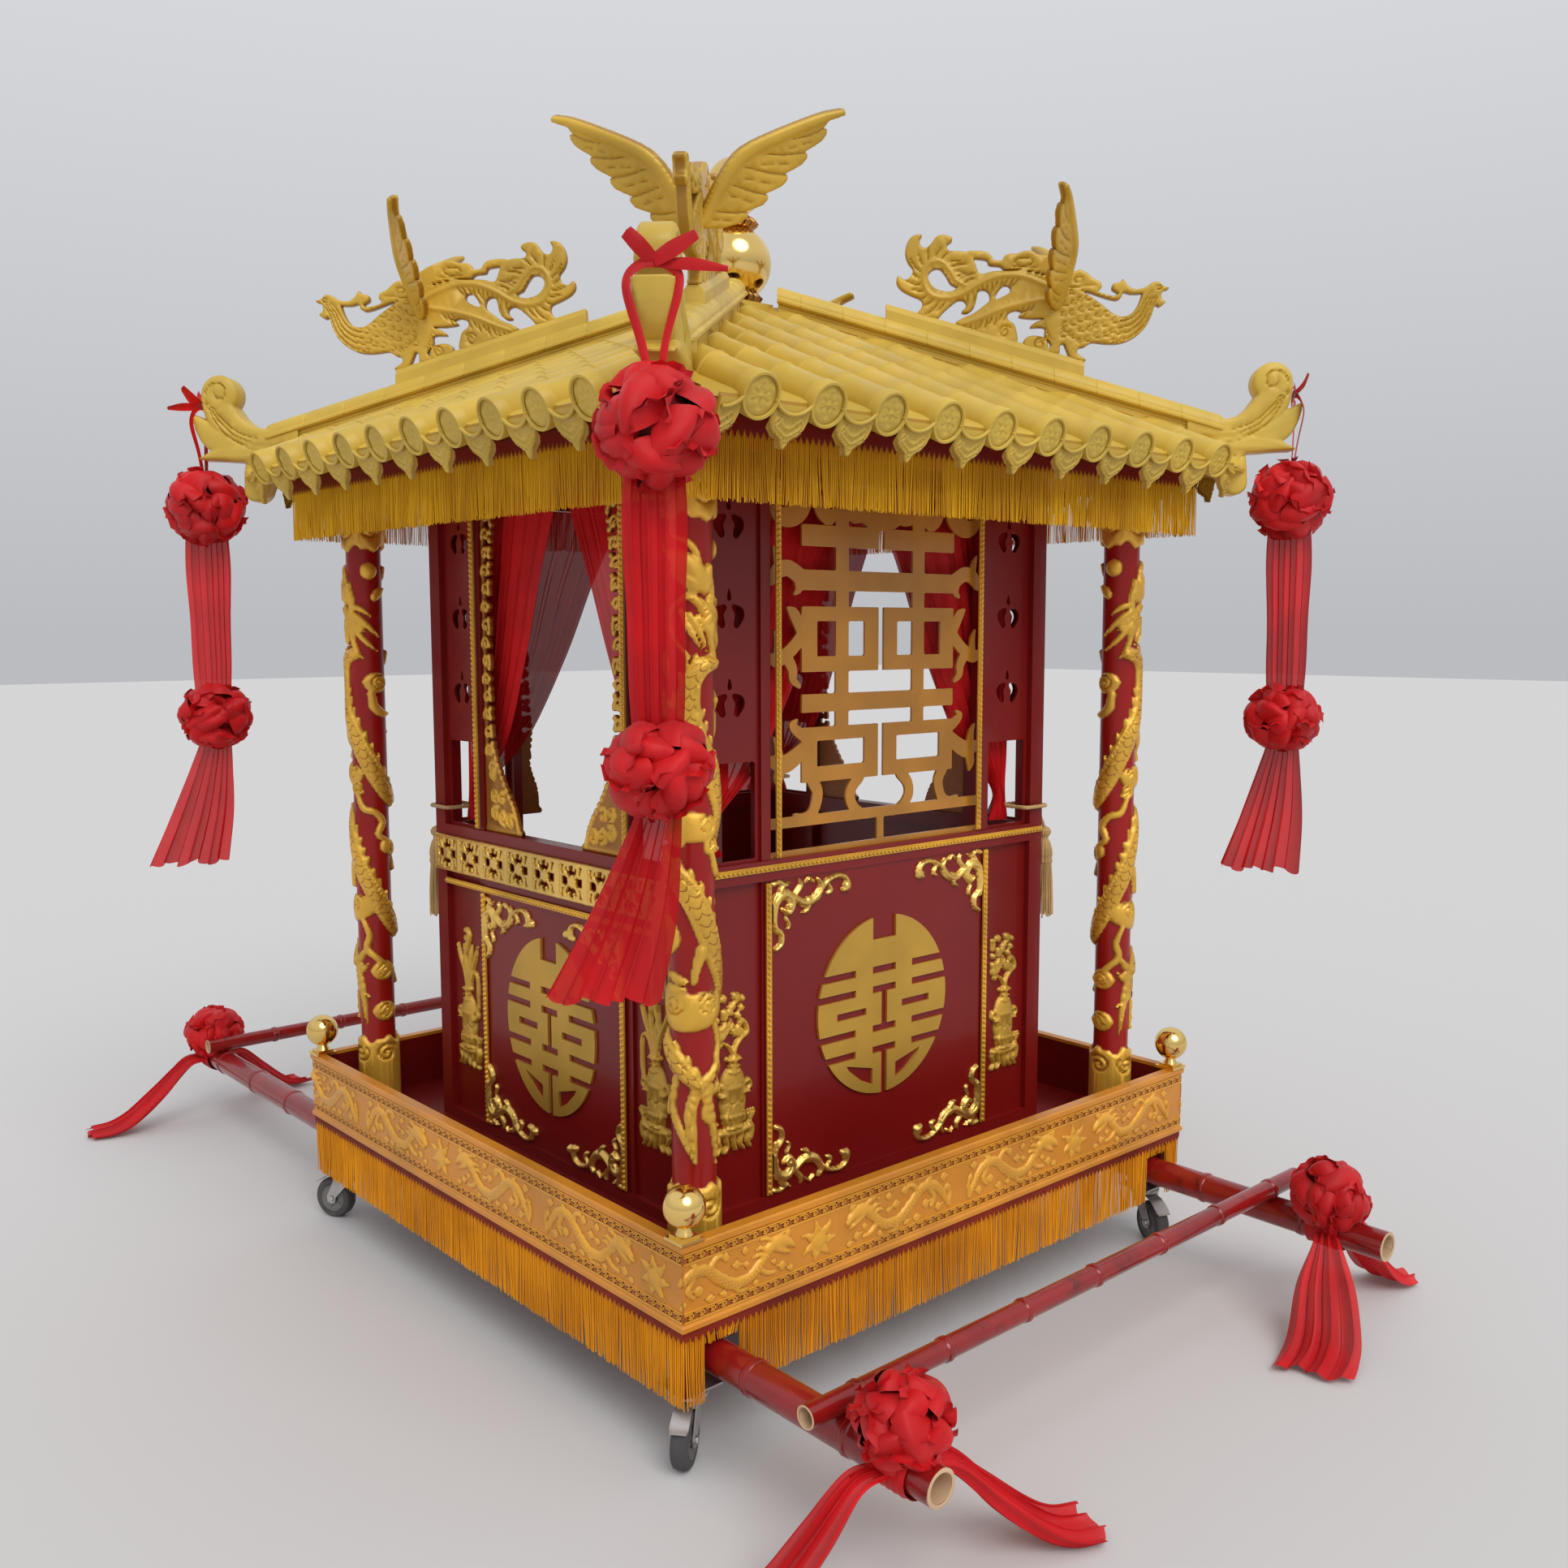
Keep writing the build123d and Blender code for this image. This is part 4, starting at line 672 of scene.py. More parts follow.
EAVE_SILK = material("eave_fringe_silk", (1.0, 0.50, 0.010), 0.45, 0.0, vary=0.14, bump=0.2,
                     recess_shade=(0.98, 0.30, 0.006), specular=0.3)
ROPE = material("rope_gold", (0.60, 0.38, 0.14), 0.55, 0.0, sheen=0.3, vary=0.2, bump=0.3,
                recess_shade=(0.30, 0.12, 0.03))
POLE = material("pole_paint", (0.27, 0.008, 0.007), 0.20, 0.0, coat=0.45, vary=0.16, bump=0.1,
                wear=((0.13, 0.008, 0.006), 0.5), specular=0.4)
CANE = material("cut_cane", (0.66, 0.45, 0.26), 0.7, 0.0, vary=0.2, bump=0.5, recess_shade=(0.20, 0.08, 0.04))
ZINC = material("zinc_plate", (0.52, 0.50, 0.48), 0.35, 0.9, vary=0.2, bump=0.2,
                wear=((0.30, 0.18, 0.10), 0.3))
TYRE = material("tyre_rubber", (0.06, 0.055, 0.055), 0.6, 0.0, vary=0.25, bump=0.3,
                wear=((0.18, 0.13, 0.12), 0.4))
WOOD = material("bench_wood", (0.16, 0.010, 0.008), 0.4, 0.0, coat=0.2, vary=0.2, bump=0.2)
APRON_RELIEF = material("apron_relief", (0.84, 0.40, 0.03), 0.33, 0.2, coat=0.2, recess_shade=(0.38, 0.10, 0.008),
                        vary=0.10, bump=0.25, scaled=3.0)
GILT_BRIGHT = material("bright_gilt", (0.86, 0.56, 0.13), 0.22, 0.75, coat=0.2, recess_shade=(0.30, 0.08, 0.01),
                       vary=0.12, bump=0.15)
VASE = material("vase_gilt", (0.66, 0.38, 0.05), 0.32, 0.45, coat=0.1, recess_shade=(0.20, 0.07, 0.008), vary=0.12,
                bump=0.3)
TAPE = material("zigzag_tape", (0.22, 0.02, 0.008), 0.6, 0.0, vary=0.2, bump=0.3, specular=0.2)
SCREW = material("screw_steel", (0.45, 0.43, 0.40), 0.3, 1.0, vary=0.1, bump=0.1)

FINISH = {
    "base_frame": RED_FRAME, "pole_hoops": RED_FRAME, "deck": DECK, "kerb_lining": DECK,
    "corner_finials": MIRROR, "columns": RED_COLUMN, "cabin_frame": RED_WALL, "lower_panels": RED_WALL,
    "bench": WOOD, "ceiling": CLOTH, "roof_beams": RED_WALL, "roof_cap": ROOF, "finial_balls": MIRROR,
    "carrying_poles": POLE, "cross_poles": POLE, "caster_plates": ZINC, "rear_window_screen": AMBER,
    "side_screens": RED_WALL, "window_fretwork": GILT, "pierced_bands": GILT, "wall_medallions": OVAL,
    "column_collars": GILT, "hip_ridges": ROOF, "phoenixes": PHOENIX_GOLD, "eave_tile_ends": ROOF,
    "base_fringe": FRINGE, "eave_fringe": EAVE_SILK, "curtains": VOILE, "tie_ropes": ROPE, "tassels": ROPE,
    "seat_cushion": CLOTH, "column_dragons": GILT, "pole_bows": CLOTH, "apron_rear": APRON,
    "apron_right": APRON, "apron_front": APRON, "apron_left": APRON,
}


def finish_for(node):
    if node in FINISH:
        return FINISH[node]
    for start, made in (("tile_slope", ROOF), ("hanging_bow", CLOTH), ("caster_fork", ZINC),
                        ("caster_wheel", TYRE)):
        if node.startswith(start):
            return made
    return RED_WALL


for node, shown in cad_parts.items():
    shown.data.materials.clear()
    shown.data.materials.append(finish_for(node))



# Roof

ANGLE = math.atan(SLOPE)
DOWN = np.array((0.0, -math.cos(ANGLE), -math.sin(ANGLE)))
OUT = np.array((0.0, -math.sin(ANGLE), math.cos(ANGLE)))
PITCH = 0.146
JOINTS = [0.845, 0.741, 0.651, 0.561, 0.475, 0.388, 0.301, 0.213, 0.126]


def slope_points(x, up_slope, rise):
    """Points of the -Y roof face: across, up the slope from the eave, rise over the barrels' axes."""
    base = np.array((0.0, -EAVE, EAVE_AXIS))
    return base + np.multiply.outer(x, (1.0, 0, 0)) - np.multiply.outer(up_slope,
                                                                        DOWN) + np.multiply.outer(rise, OUT)


def clipped_strip(soup, across, rise, stations, tone):
    """A strip up the slope, cut off at the hip. Across and rise are given for each station and column."""
    limit = (EAVE + rise * math.sin(ANGLE) - np.abs(across) - 0.002) / math.cos(ANGLE)
    up = np.minimum(np.broadcast_to(stations[:, None], across.shape), limit)
    cut = stations[:, None] >= limit
    faces = grid_faces(*across.shape)
    dead = cut.ravel()[faces].all(1)
    points = slope_points(across.ravel(), up.ravel(), rise.ravel())
    soup.add(points, [faces[~dead]], tone)


def tiles():
    """Barrel and pan tiles on the four faces, each course with its lip."""
    one = Soup()
    ends = [(EAVE - d) / math.cos(ANGLE) for d in JOINTS] + [0.95]
    stations, radii = [], []
    for start, end in zip(ends[:-1], ends[1:]):
        stations += [start, start + 0.002, start + 0.008, start + 0.012, end - 0.001]
        radii += [0.0362, 0.0386, 0.0386, 0.0368, 0.0360]
    stations, radii = np.array(stations), np.array(radii)
    angles = np.radians(np.linspace(-25, 205, 14))
    for k in range(BARRELS):
        x = (k - (BARRELS - 1) / 2) * PITCH
        across = x + radii[:, None] * np.cos(angles)
        rise = radii[:, None] * np.sin(angles)
        clipped_strip(one, across, rise, stations, 1.0)
    u = np.linspace(-0.040, 0.040, 5)
    lift = np.where(radii > 0.0365, 0.0035, 0.0)
    for k in range(BARRELS + 1):
        x = (k - BARRELS / 2) * PITCH
        across = np.broadcast_to(x + u, (len(stations), len(u)))
        rise = -0.0125 + 0.011 * (u / 0.04) ** 2 + lift[:, None]
        clipped_strip(one, across[:, ::-1], rise[:, ::-1], stations, 0.9)
    four_sides("roof_tiles", one, ROOF, "roof_gold", sharp=35)


def tile_end(soup, x):
    """The round end of a barrel tile: a rim round a sunk six-petal rosette."""
    origin = (x, -EAVE, EAVE_AXIS)
    place = framed(origin, (1, 0, 0), OUT, DOWN)
    lathe(soup, [(0.0388, -0.012), (0.0392, 0.009), (0.0378, 0.0125), (0.0338, 0.0125), (0.0322, 0.0085)], 30,
          place)
    rings = np.linspace(0.0322, 0.0006, 11)
    a = np.linspace(0, TAU, 30, endpoint=False)
    R, A = np.meshgrid(rings, a, indexing="ij")
    petal = np.abs(np.cos(3 * A)) ** 1.5 * np.exp(-(((R - 0.0145) / 0.0062) ** 2))
    vein = 0.55 * np.abs(np.cos(3 * A)) ** 40 * np.exp(-(((R - 0.0145) / 0.005) ** 2))
    outer = np.abs(np.sin(3 * A)) ** 3 * np.exp(-(((R - 0.0245) / 0.0038) ** 2))
    boss = np.exp(-((R / 0.0042) ** 2))
    high = 0.0045 * (petal - vein) + 0.0035 * outer + 0.0045 * boss
    points = np.stack((R * np.cos(A), R * np.sin(A), 0.0075 + high), -1).reshape(-1, 3)
    # The rosette's low ground gets a low tone: painted shade in its hollows.
    soup.add(place(points), [grid_faces(11, 30, False, True)[:, ::-1]],
             np.clip(0.25 + high.ravel() / 0.005, 0, 1))


def drip_field():
    """The pointed drip tile: a raised border round two scrolls and a bud."""
    half = [(0.0372, -0.010), (0.0376, -0.030), (0.0330, -0.044), (0.0225, -0.055), (0.0095, -0.063)]
    outline = smooth_line([(-x, y) for x, y in half] + [(0.0, -0.079)] + half[::-1], 6)
    field = Field((-0.040, 0.040), (-0.082, -0.006), 0.0030)
    field.polygon(np.vstack((outline, [(0.0372, -0.008), (-0.0372, -0.008)])), 0.0016, 0.002)
    field.stroke(outline[::3], [0.0022] * len(outline[::3]), 0.0042, per=3)
    for side in (-1, 1):
        curl = [(0, -0.060), (0.012, -0.054), (0.024, -0.046), (0.029, -0.037), (0.024, -0.031),
                (0.018, -0.036), (0.021, -0.040)]
        field.stroke([(side * x, y) for x, y in curl], [0.002, 0.0026, 0.003, 0.0026, 0.0022, 0.002, 0.002],
                     0.0052)
        field.stroke([(side * 0.004, -0.046), (side * 0.013, -0.040), (side * 0.016, -0.030)],
                     [0.003, 0.0034, 0.001], 0.0048)
    field.dome((0, -0.046), 0.0045, 0.0055)
    field.dome((0, -0.067), 0.0030, 0.0050)
    return field


def eaves():
    """Round ends, drip tiles with their half-moon lips, and the dark zigzag ribbon behind them."""
    ends, drips, ribbon = Soup(), Soup(), Soup()
    for k in range(BARRELS):
        tile_end(ends, (k - (BARRELS - 1) / 2) * PITCH)
    field = drip_field()
    arc = np.linspace(-1, 1, 11)
    for k in range(BARRELS + 1):
        at = framed(((k - BARRELS / 2) * PITCH, -EAVE, EAVE_AXIS), (1, 0, 0), OUT, DOWN)

        def on_drip(u, v, high):
            return at(np.stack((u, v, 0.0045 + high), -1))

        keep = field
        if k in (0, BARRELS):
            keep = copy.copy(field)
            inner = field.U * (1 if k == 0 else -1) > -0.002
            keep.high, keep.inside = np.where(inner, field.high, -0.02), np.where(inner, field.inside, -0.02)
        keep.relief(drips, on_drip, 0.0042)
        lip = [(0.040 * t, -0.002 - 0.021 * (1 - t * t) ** 0.8, 0.010) for t in arc]
        if k in (0, BARRELS):
            lip = lip[5:] if k == 0 else lip[:6]
        tube(drips, at(np.array(lip)), 0.0034, 8, up=OUT, tone=0.95)
        skirt = np.array([[(a, b, c), (a * 0.98, b + 0.004, -0.035)] for a, b, c in lip]).reshape(-1, 3)
        drips.add(at(skirt), [grid_faces(len(lip), 2)], 0.8)
    zigzag(ribbon, 0.742, -0.7475, 1.803, 1.783, 1.768, 106)
    four_sides("tile_round_ends", ends, ROOF, "roof_gold", sharp=50, thin=4.0)
    four_sides("drip_tiles", drips, ROOF, "roof_gold", sharp=50, thin=4.0)
    four_sides("eave_zigzag", ribbon, RED_WALL, "red_lacquer", sharp=50, thin=4.0)


def on_diagonal(r, lateral, z):
    """Points in the frame of the corner at -X, -Y: outwards along the diagonal, across it, up."""
    c = math.sqrt(0.5)
    return np.stack((-c * r + c * lateral, -c * r - c * lateral, np.broadcast_to(z, np.shape(r))), -1)


def ridge_top(r):
    return RIDGE_TOP - SLOPE / math.sqrt(2) * np.asarray(r)


def web_foot(r):
    return EAVE_AXIS + SLOPE * (EAVE - np.asarray(r) / math.sqrt(2)) - 0.030


def hip_ridges():
    """Cap rolls with their joints, and the webs under them with sunk panels and small scrolls."""
    roll, web = Soup(), Soup()
    half = [(0.0, 0.0), (0.012, -0.0015), (0.022, -0.006), (0.029, -0.014), (0.032, -0.023),
            (0.0322, -0.0275), (0.0345, -0.0290), (0.0372, -0.032), (0.0372, -0.037), (0.033, -0.040),
            (0.024, -0.041)]
    section = np.array([(-x, y) for x, y in half[::-1]] + half[1:])
    stations, scales = [0.098], [1.0]
    for joint in np.arange(0.150, 1.09, 0.095):
        stations += [joint - 0.003, joint - 0.001, joint + 0.001, joint + 0.003]
        scales += [1.0, 0.955, 0.955, 1.0]
    stations += [1.085, 1.097, 1.103]
    scales += [1.0, 0.97, 0.80]
    stations, scales = np.array(stations), np.array(scales)
    R = np.repeat(stations[:, None], len(section), 1)
    L = section[None, :, 0] * scales[:, None]
    Z = ridge_top(R) - 0.020 + (section[None, :, 1] + 0.020) * scales[:, None]
    points = on_diagonal(R.ravel(), L.ravel(), Z.ravel())
    end = np.arange(len(section))[None] + len(section) * (len(stations) - 1)
    roll.add(points, [grid_faces(*R.shape)[:, ::-1], end])
    rail = np.linspace(0.10, 1.05, 20)
    for side in (-1, 1):
        corners = np.array([(r, z) for r in rail for z in (web_foot(r), ridge_top(r) - 0.030)])
        points = on_diagonal(corners[:, 0], np.full(len(corners), side * 0.0245), corners[:, 1])
        faces = grid_faces(20, 2)
        web.add(points, [faces if side < 0 else faces[:, ::-1]], 0.8)
        tube(web, on_diagonal(rail, np.full(20, side * 0.0255), ridge_top(rail) - 0.046), 0.0022, 6)
        for centre in np.arange(0.19, 1.0, 0.19):
            for turn in (-1, 1):
                a = np.linspace(0, 4.6, 14)
                rr = 0.0035 + 0.0022 * a
                r = centre + turn * (0.016 - rr * np.cos(a))
                z = ridge_top(r) - 0.060 + rr * np.sin(a) * 0.9
                tube(web, on_diagonal(r, np.full(14, side * 0.0250), z), 0.0018, 5)
            for gap in (-0.070, 0.070):
                r = np.array((centre + gap - 0.022, centre + gap + 0.022))
                tube(web, on_diagonal(r, np.full(2, side * 0.0250), ridge_top(r) - 0.060), 0.0016, 5)
    four_sides("ridge_rolls", roll, ROOF, "roof_gold", replaces=("hip_ridges",), sharp=30)
    four_sides("ridge_webs", web, ROOF, "roof_gold", sharp=30)


def scroll_corners():
    """The swept corner of each hip: neck rising into a scroll, two leaves and the flange under them."""
    field = Field((1.020, 1.285), (1.735, 2.055), 0.0042)
    body = [
        # points, half widths, how far proud
        ([(1.00, 1.872), (1.06, 1.868), (1.12, 1.868)], [0.055, 0.050, 0.040], 0.004),
        ([(1.10, 1.880), (1.118, 1.830), (1.130, 1.782)], [0.040, 0.036, 0.028], 0.009),
        ([(1.10, 1.866), (1.170, 1.868), (1.215, 1.864), (1.258, 1.855)], [0.020, 0.021, 0.014, 0.003],
         0.012),
        ([(1.190, 1.890), (1.225, 1.900), (1.250, 1.925), (1.273, 1.954)], [0.030, 0.028, 0.019, 0.003],
         0.011),
        ([(1.02, 1.906), (1.08, 1.900), (1.13, 1.903), (1.172, 1.922), (1.206, 1.955), (1.226, 1.990)],
         [0.020, 0.022, 0.024, 0.030, 0.036, 0.026], 0.013),
    ]
    for points, widths, proud in body:
        field.stroke(points, widths, proud, sharp=0.32)
    field.dome((1.208, 2.002), 0.0435, 0.013)
    field.high = np.where(field.inside > 0.004, np.minimum(field.high, 0.0115), field.high)
    coil = [(1.238, 1.972), (1.240, 2.000), (1.226, 2.022), (1.205, 2.026), (1.191, 2.012), (1.195, 1.994),
            (1.210, 1.990), (1.217, 2.002)]
    field.groove(coil, [0.0024] * 8, 0.007)
    for off in (0.0, 0.010, 0.020):
        field.groove([(1.120 + off, 1.898 - off), (1.165 + off, 1.914 - off * 0.6),
                      (1.204 + off * 0.7, 1.948 - off * 0.5), (1.228 + off * 0.35, 1.980)],
                     [0.001, 0.0024, 0.0024, 0.001], 0.006)
    field.groove([(1.045, 1.862), (1.066, 1.866), (1.072, 1.878), (1.060, 1.886), (1.050, 1.878)],
                 [0.0018] * 5, 0.004)
    field.groove([(1.085, 1.852), (1.105, 1.868), (1.128, 1.872), (1.150, 1.880)], [0.0018] * 4, 0.004)
    field.groove([(1.112, 1.850), (1.132, 1.838), (1.152, 1.842)], [0.002] * 3, 0.005)
    one = Soup()
    field.plate(one, lambda u, v, side: on_diagonal(u, side, v), 0.0215, base=0.6)
    four_sides("scroll_corners", one, ROOF, "roof_gold", sharp=55, thin=3.0)


# The phoenix plate's outlines in its diagonal plane, in millimetres from the middle and up
TAIL = [
    (413, 2160), (425, 2179), (423, 2195), (401, 2205), (378, 2218), (367, 2234), (371, 2250), (384, 2240),
    (399, 2247), (404, 2262), (393, 2277), (386, 2298), (391, 2321), (404, 2336), (424, 2338), (418, 2324),
    (424, 2311), (436, 2310), (446, 2320), (456, 2333), (471, 2337), (489, 2332), (491, 2322), (480, 2314),
    (485, 2302), (508, 2301), (530, 2296), (540, 2285), (546, 2266), (556, 2250), (582, 2255), (616, 2256),
    (651, 2254), (690, 2246), (725, 2226), (740, 2180), (720, 2150), (700, 2150), (673, 2170), (650, 2166),
    (638, 2169), (623, 2165), (617, 2155), (622, 2146), (636, 2130), (638, 2098), (584, 2108), (504, 2138),
    (514, 2152), (540, 2163), (564, 2180), (577, 2192), (575, 2208), (564, 2215), (552, 2212), (548, 2196),
    (542, 2176), (527, 2164), (514, 2167), (525, 2179), (521, 2190), (507, 2193), (489, 2181), (472, 2166),
    (455, 2152),
]
TAIL_HOLES = [
    [(438, 2246), (449, 2261), (465, 2262), (478, 2247), (489, 2229), (503, 2221), (491, 2213), (471, 2214),
     (449, 2224)],
    [(590, 2194), (596, 2211), (609, 2224), (622, 2220), (622, 2209), (608, 2200)],
]
CLOUD_BANDS = [
    [(526, 2300), (564, 2299), (579, 2290), (586, 2280), (603, 2279), (609, 2288), (620, 2293), (637, 2293),
     (653, 2299), (671, 2298), (684, 2290), (710, 2286), (760, 2254), (777, 2256), (792, 2250), (807, 2237),
     (824, 2228), (827, 2216), (820, 2208), (840, 2200), (856, 2198), (863, 2203), (850, 2212), (853, 2225),
     (868, 2227), (874, 2235), (883, 2222), (899, 2212), (920, 2214), (942, 2224), (942, 2209), (916, 2202),
     (893, 2201), (875, 2205), (871, 2194), (859, 2188), (831, 2195), (793, 2208), (740, 2220), (700, 2246),
     (651, 2256), (612, 2258), (599, 2266), (575, 2269), (569, 2280), (541, 2285)],
    [(584, 2106), (590, 2135), (609, 2145), (627, 2144), (638, 2126), (636, 2092)],
    [(655, 2090), (657, 2106), (674, 2113), (700, 2109), (709, 2095), (707, 2074), (679, 2080)],
]
BIRD = [
    (702, 2240), (726, 2238), (754, 2226), (793, 2203), (827, 2180), (852, 2160), (875, 2152), (896, 2160),
    (910, 2181), (918, 2203), (930, 2219), (943, 2227), (955, 2226), (963, 2218), (980, 2212), (964, 2207),
    (959, 2197), (962, 2188), (970, 2183), (956, 2172), (946, 2176), (938, 2151), (923, 2124), (897, 2103),
    (868, 2093), (836, 2093), (808, 2096), (790, 2086), (779, 2084), (776, 2072), (798, 2056), (764, 2058),
    (750, 2082), (744, 2094), (736, 2089), (734, 2070), (706, 2076), (716, 2092), (702, 2112), (702, 2128),
    (690, 2131), (668, 2131), (680, 2142), (700, 2150), (672, 2150), (642, 2155), (658, 2167), (690, 2176),
]
QUILLS = [
    [(716, 2216), (651, 2242), (600, 2244), (556, 2229), (515, 2206), (478, 2197), (442, 2207), (427, 2240),
     (439, 2273), (466, 2277), (486, 2258), (501, 2236), (520, 2224)],
    [(706, 2192), (650, 2183), (600, 2170), (555, 2152), (520, 2140)],
]


def feathered(field, quill, start, reach):
    """Short grooves that slant off a quill, on its left."""
    line = smooth_line(quill)
    gone = np.concatenate(([0], np.cumsum(np.hypot(*np.diff(line, axis=0).T))))
    for k, place in enumerate(np.arange(start, gone[-1], 0.0125)):
        first, ahead = (np.array([np.interp(place + more, gone, line[:, n]) for n in (0, 1)])
                        for more in (0, 0.004))
        ahead = (ahead - first) / 0.004
        out = np.array((-ahead[1], ahead[0]))
        far = reach * (1 if k % 2 else 0.72)
        bend = [first + out * 0.009, first + out * far * 0.6 + ahead * far * 0.18,
                first + out * far + ahead * far * 0.55]
        field.groove(bend, [0.0020, 0.0034, 0.0016], 0.0050, per=3)


def phoenix_plate():
    """A flat cut plate with raised quills, engraved vanes, scales, hair and cloud rings."""
    field = Field((0.355, 0.990), (2.030, 2.345), 0.0036)
    field.polygon(smooth_line(np.array(TAIL) / 1000, 3, True), 0.0050)
    for hole in TAIL_HOLES:
        field.polygon(smooth_line(np.array(hole) / 1000, 3, True), 0, cut=True)
    for outline in (*CLOUD_BANDS, BIRD):
        field.polygon(smooth_line(np.array(outline) / 1000, 3, True), 0.0050)
    for quill, start, reach in zip(QUILLS, (0.080, 0.030), (0.042, 0.028)):
        quill = np.array(quill) / 1000
        feathered(field, quill, start, reach)
        field.stroke(quill, np.linspace(0.0075, 0.0045, len(quill)), 0.0085)
    field.stroke(np.array([(706, 2238), (655, 2251), (604, 2252)]) / 1000, [0.004, 0.003, 0.001], 0.0065)
    for row in range(8):
        for k in range(5):
            r = 0.742 + 0.0185 * row + 0.004 * (k % 2)
            z = 2.204 - 0.0225 * k - 0.0065 * row + 0.009 * (row % 2)
            turn = np.linspace(0.45 * math.pi, 1.75 * math.pi, 6)
            field.groove(np.column_stack((r + 0.0075 * np.cos(turn), z + 0.0050 * np.sin(turn))),
                         [0.0022] * 6, 0.0042, per=3)
    for shift in (-0.020, -0.008, 0.004, 0.016):
        neck = np.array([(0.862, 2.121), (0.893, 2.130), (0.917, 2.152), (0.932, 2.184), (0.946, 2.204)])
        across = np.array([(0.3, 1), (0.0, 1), (-0.55, 0.85), (-0.8, 0.5), (-0.8, 0.4)])
        field.groove(neck + across * shift * np.array([1.3, 1.1, 0.8, 0.6, 0.5])[:, None],
                     [0.002, 0.003, 0.003, 0.003, 0.001], 0.0045)
    for ring in ((0.653, 2.274, 0.020, 0.009), (0.775, 2.233, 0.010, 0.007), (0.953, 2.214, 0.0055, 0.0045)):
        turn = np.linspace(0, TAU, 12, endpoint=False)
        field.groove(np.column_stack((ring[0] + ring[2] * np.cos(turn), ring[1] + ring[3] * np.sin(turn))),
                     [0.0022] * 12, 0.0045, closed=True, per=2)
    for middle in ((0.690, 2.093), (0.612, 2.122)):
        field.groove(spiral(middle, 0.015, 1, 0.5, 1.4), [0.0024] * 20, 0.0045, per=2)
    for line in ([(0.622, 2.266), (0.660, 2.262), (0.700, 2.262)],
                 [(0.752, 2.216), (0.785, 2.219), (0.815, 2.220)],
                 [(0.700, 2.140), (0.712, 2.110), (0.722, 2.096)],
                 [(0.738, 2.130), (0.760, 2.108), (0.786, 2.100)]):
        field.groove(line, [0.002, 0.0028, 0.001], 0.0045)
    one = Soup()
    field.plate(one, lambda u, v, side: on_diagonal(u, side, v), 0.0075, base=0.2)
    return one


def phoenix_bar(soup):
    """The bevelled bar on the ridge, its joint plate and two screws."""
    r = np.array((0.343, 0.345, 0.788, 0.790))
    shrink = np.array((0.94, 1.0, 1.0, 0.94))
    section = np.array([(-0.020, -0.006), (-0.020, 0.016), (-0.015, 0.024), (-0.011, 0.030), (0.011, 0.030),
                        (0.015, 0.024), (0.020, 0.016), (0.020, -0.006)])
    R = np.repeat(r[:, None], 8, 1)
    L = section[None, :, 0] * shrink[:, None]
    Z = ridge_top(R) + section[None, :, 1] * shrink[:, None]
    faces = grid_faces(4, 8, False, True)[:, ::-1]
    soup.add(on_diagonal(R.ravel(), L.ravel(), Z.ravel()),
             [faces, np.array([list(range(8)), list(range(31, 23, -1))])], 0.8)


# A wing's leading edge from the root, and the places of the feathers' tips behind it, in millimetres in the
# corner's own frame
WING_LEAD = [(722, 8, 2168), (744, 8, 2176), (768, 50, 2232), (774, 80, 2270), (764, 120, 2300),
             (730, 210, 2351), (712, 250, 2370)]
WING_TRAIL = [(709, 222, 2338), (706, 188, 2299), (702, 152, 2264), (699, 116, 2232), (697, 78, 2204),
              (699, 36, 2176)]


def wing(soup, side):
    """A spread wing: a thick leading edge over rows of long feathers with round tips."""
    root, tip, trail = (np.array(p) / 1000 for p in (WING_LEAD[0], WING_LEAD[-1], WING_TRAIL[2]))
    a = (tip - root) / np.linalg.norm(tip - root)
    n = np.cross(a, trail - root)
    n /= np.linalg.norm(n)
    b = np.cross(n, a)
    lead, back = ((np.array(p) / 1000 - root) @ np.stack((a, b), 1) for p in (WING_LEAD, WING_TRAIL))
    edge = [lead[-1]]
    for first, last in zip(back[:-1], back[1:]):
        out = np.array((first[1] - last[1], last[0] - first[0]))
        out *= -math.copysign(1, out @ (lead.mean(0) - back.mean(0))) / np.hypot(*out)
        for along, bulge in ((0.0, 0.0), (-0.10, 0.006), (0.02, 0.012), (0.30, 0.013), (0.65, 0.007)):
            edge.append(first + (last - first) * along + out * bulge)
    edge.append(back[-1])
    outline = np.vstack((lead[:-1], edge))
    field = Field(*zip(outline.min(0) - 0.018, outline.max(0) + 0.018), 0.0038)
    field.polygon(outline, 0.0035, 0.003)
    inward = back.mean(0) - lead.mean(0)
    inward /= np.hypot(*inward)
    field.stroke(lead[1:] + inward * 0.009, [0.010, 0.012, 0.012, 0.011, 0.009, 0.006], 0.0085, sharp=0.35)
    for k, (first, last) in enumerate(zip(back[:-1], back[1:])):
        root_end = np.array([np.interp(4.4 - 0.75 * k, range(len(lead)), lead[:, n]) for n in (0, 1)])
        root_end = root_end + inward * 0.024
        field.groove([root_end, (root_end + first) / 2 + inward * 0.004, first], [0.0015, 0.0032, 0.0024],
                     0.0036, per=4)
        middle, reach = (first + last) / 2, root_end - first
        for low, high in ((0.10, 0.34), (0.50, 0.74)):
            field.groove([middle + reach * low, middle + reach * high], [0.0016, 0.0030], 0.0030, per=4)

    def place(u, v, high):
        p = root + np.multiply.outer(u, a) + np.multiply.outer(v, b) + np.multiply.outer(high, n)
        return on_diagonal(p[..., 0], side * p[..., 1], p[..., 2])

    field.plate(soup, place, 0.0045, base=0.2)


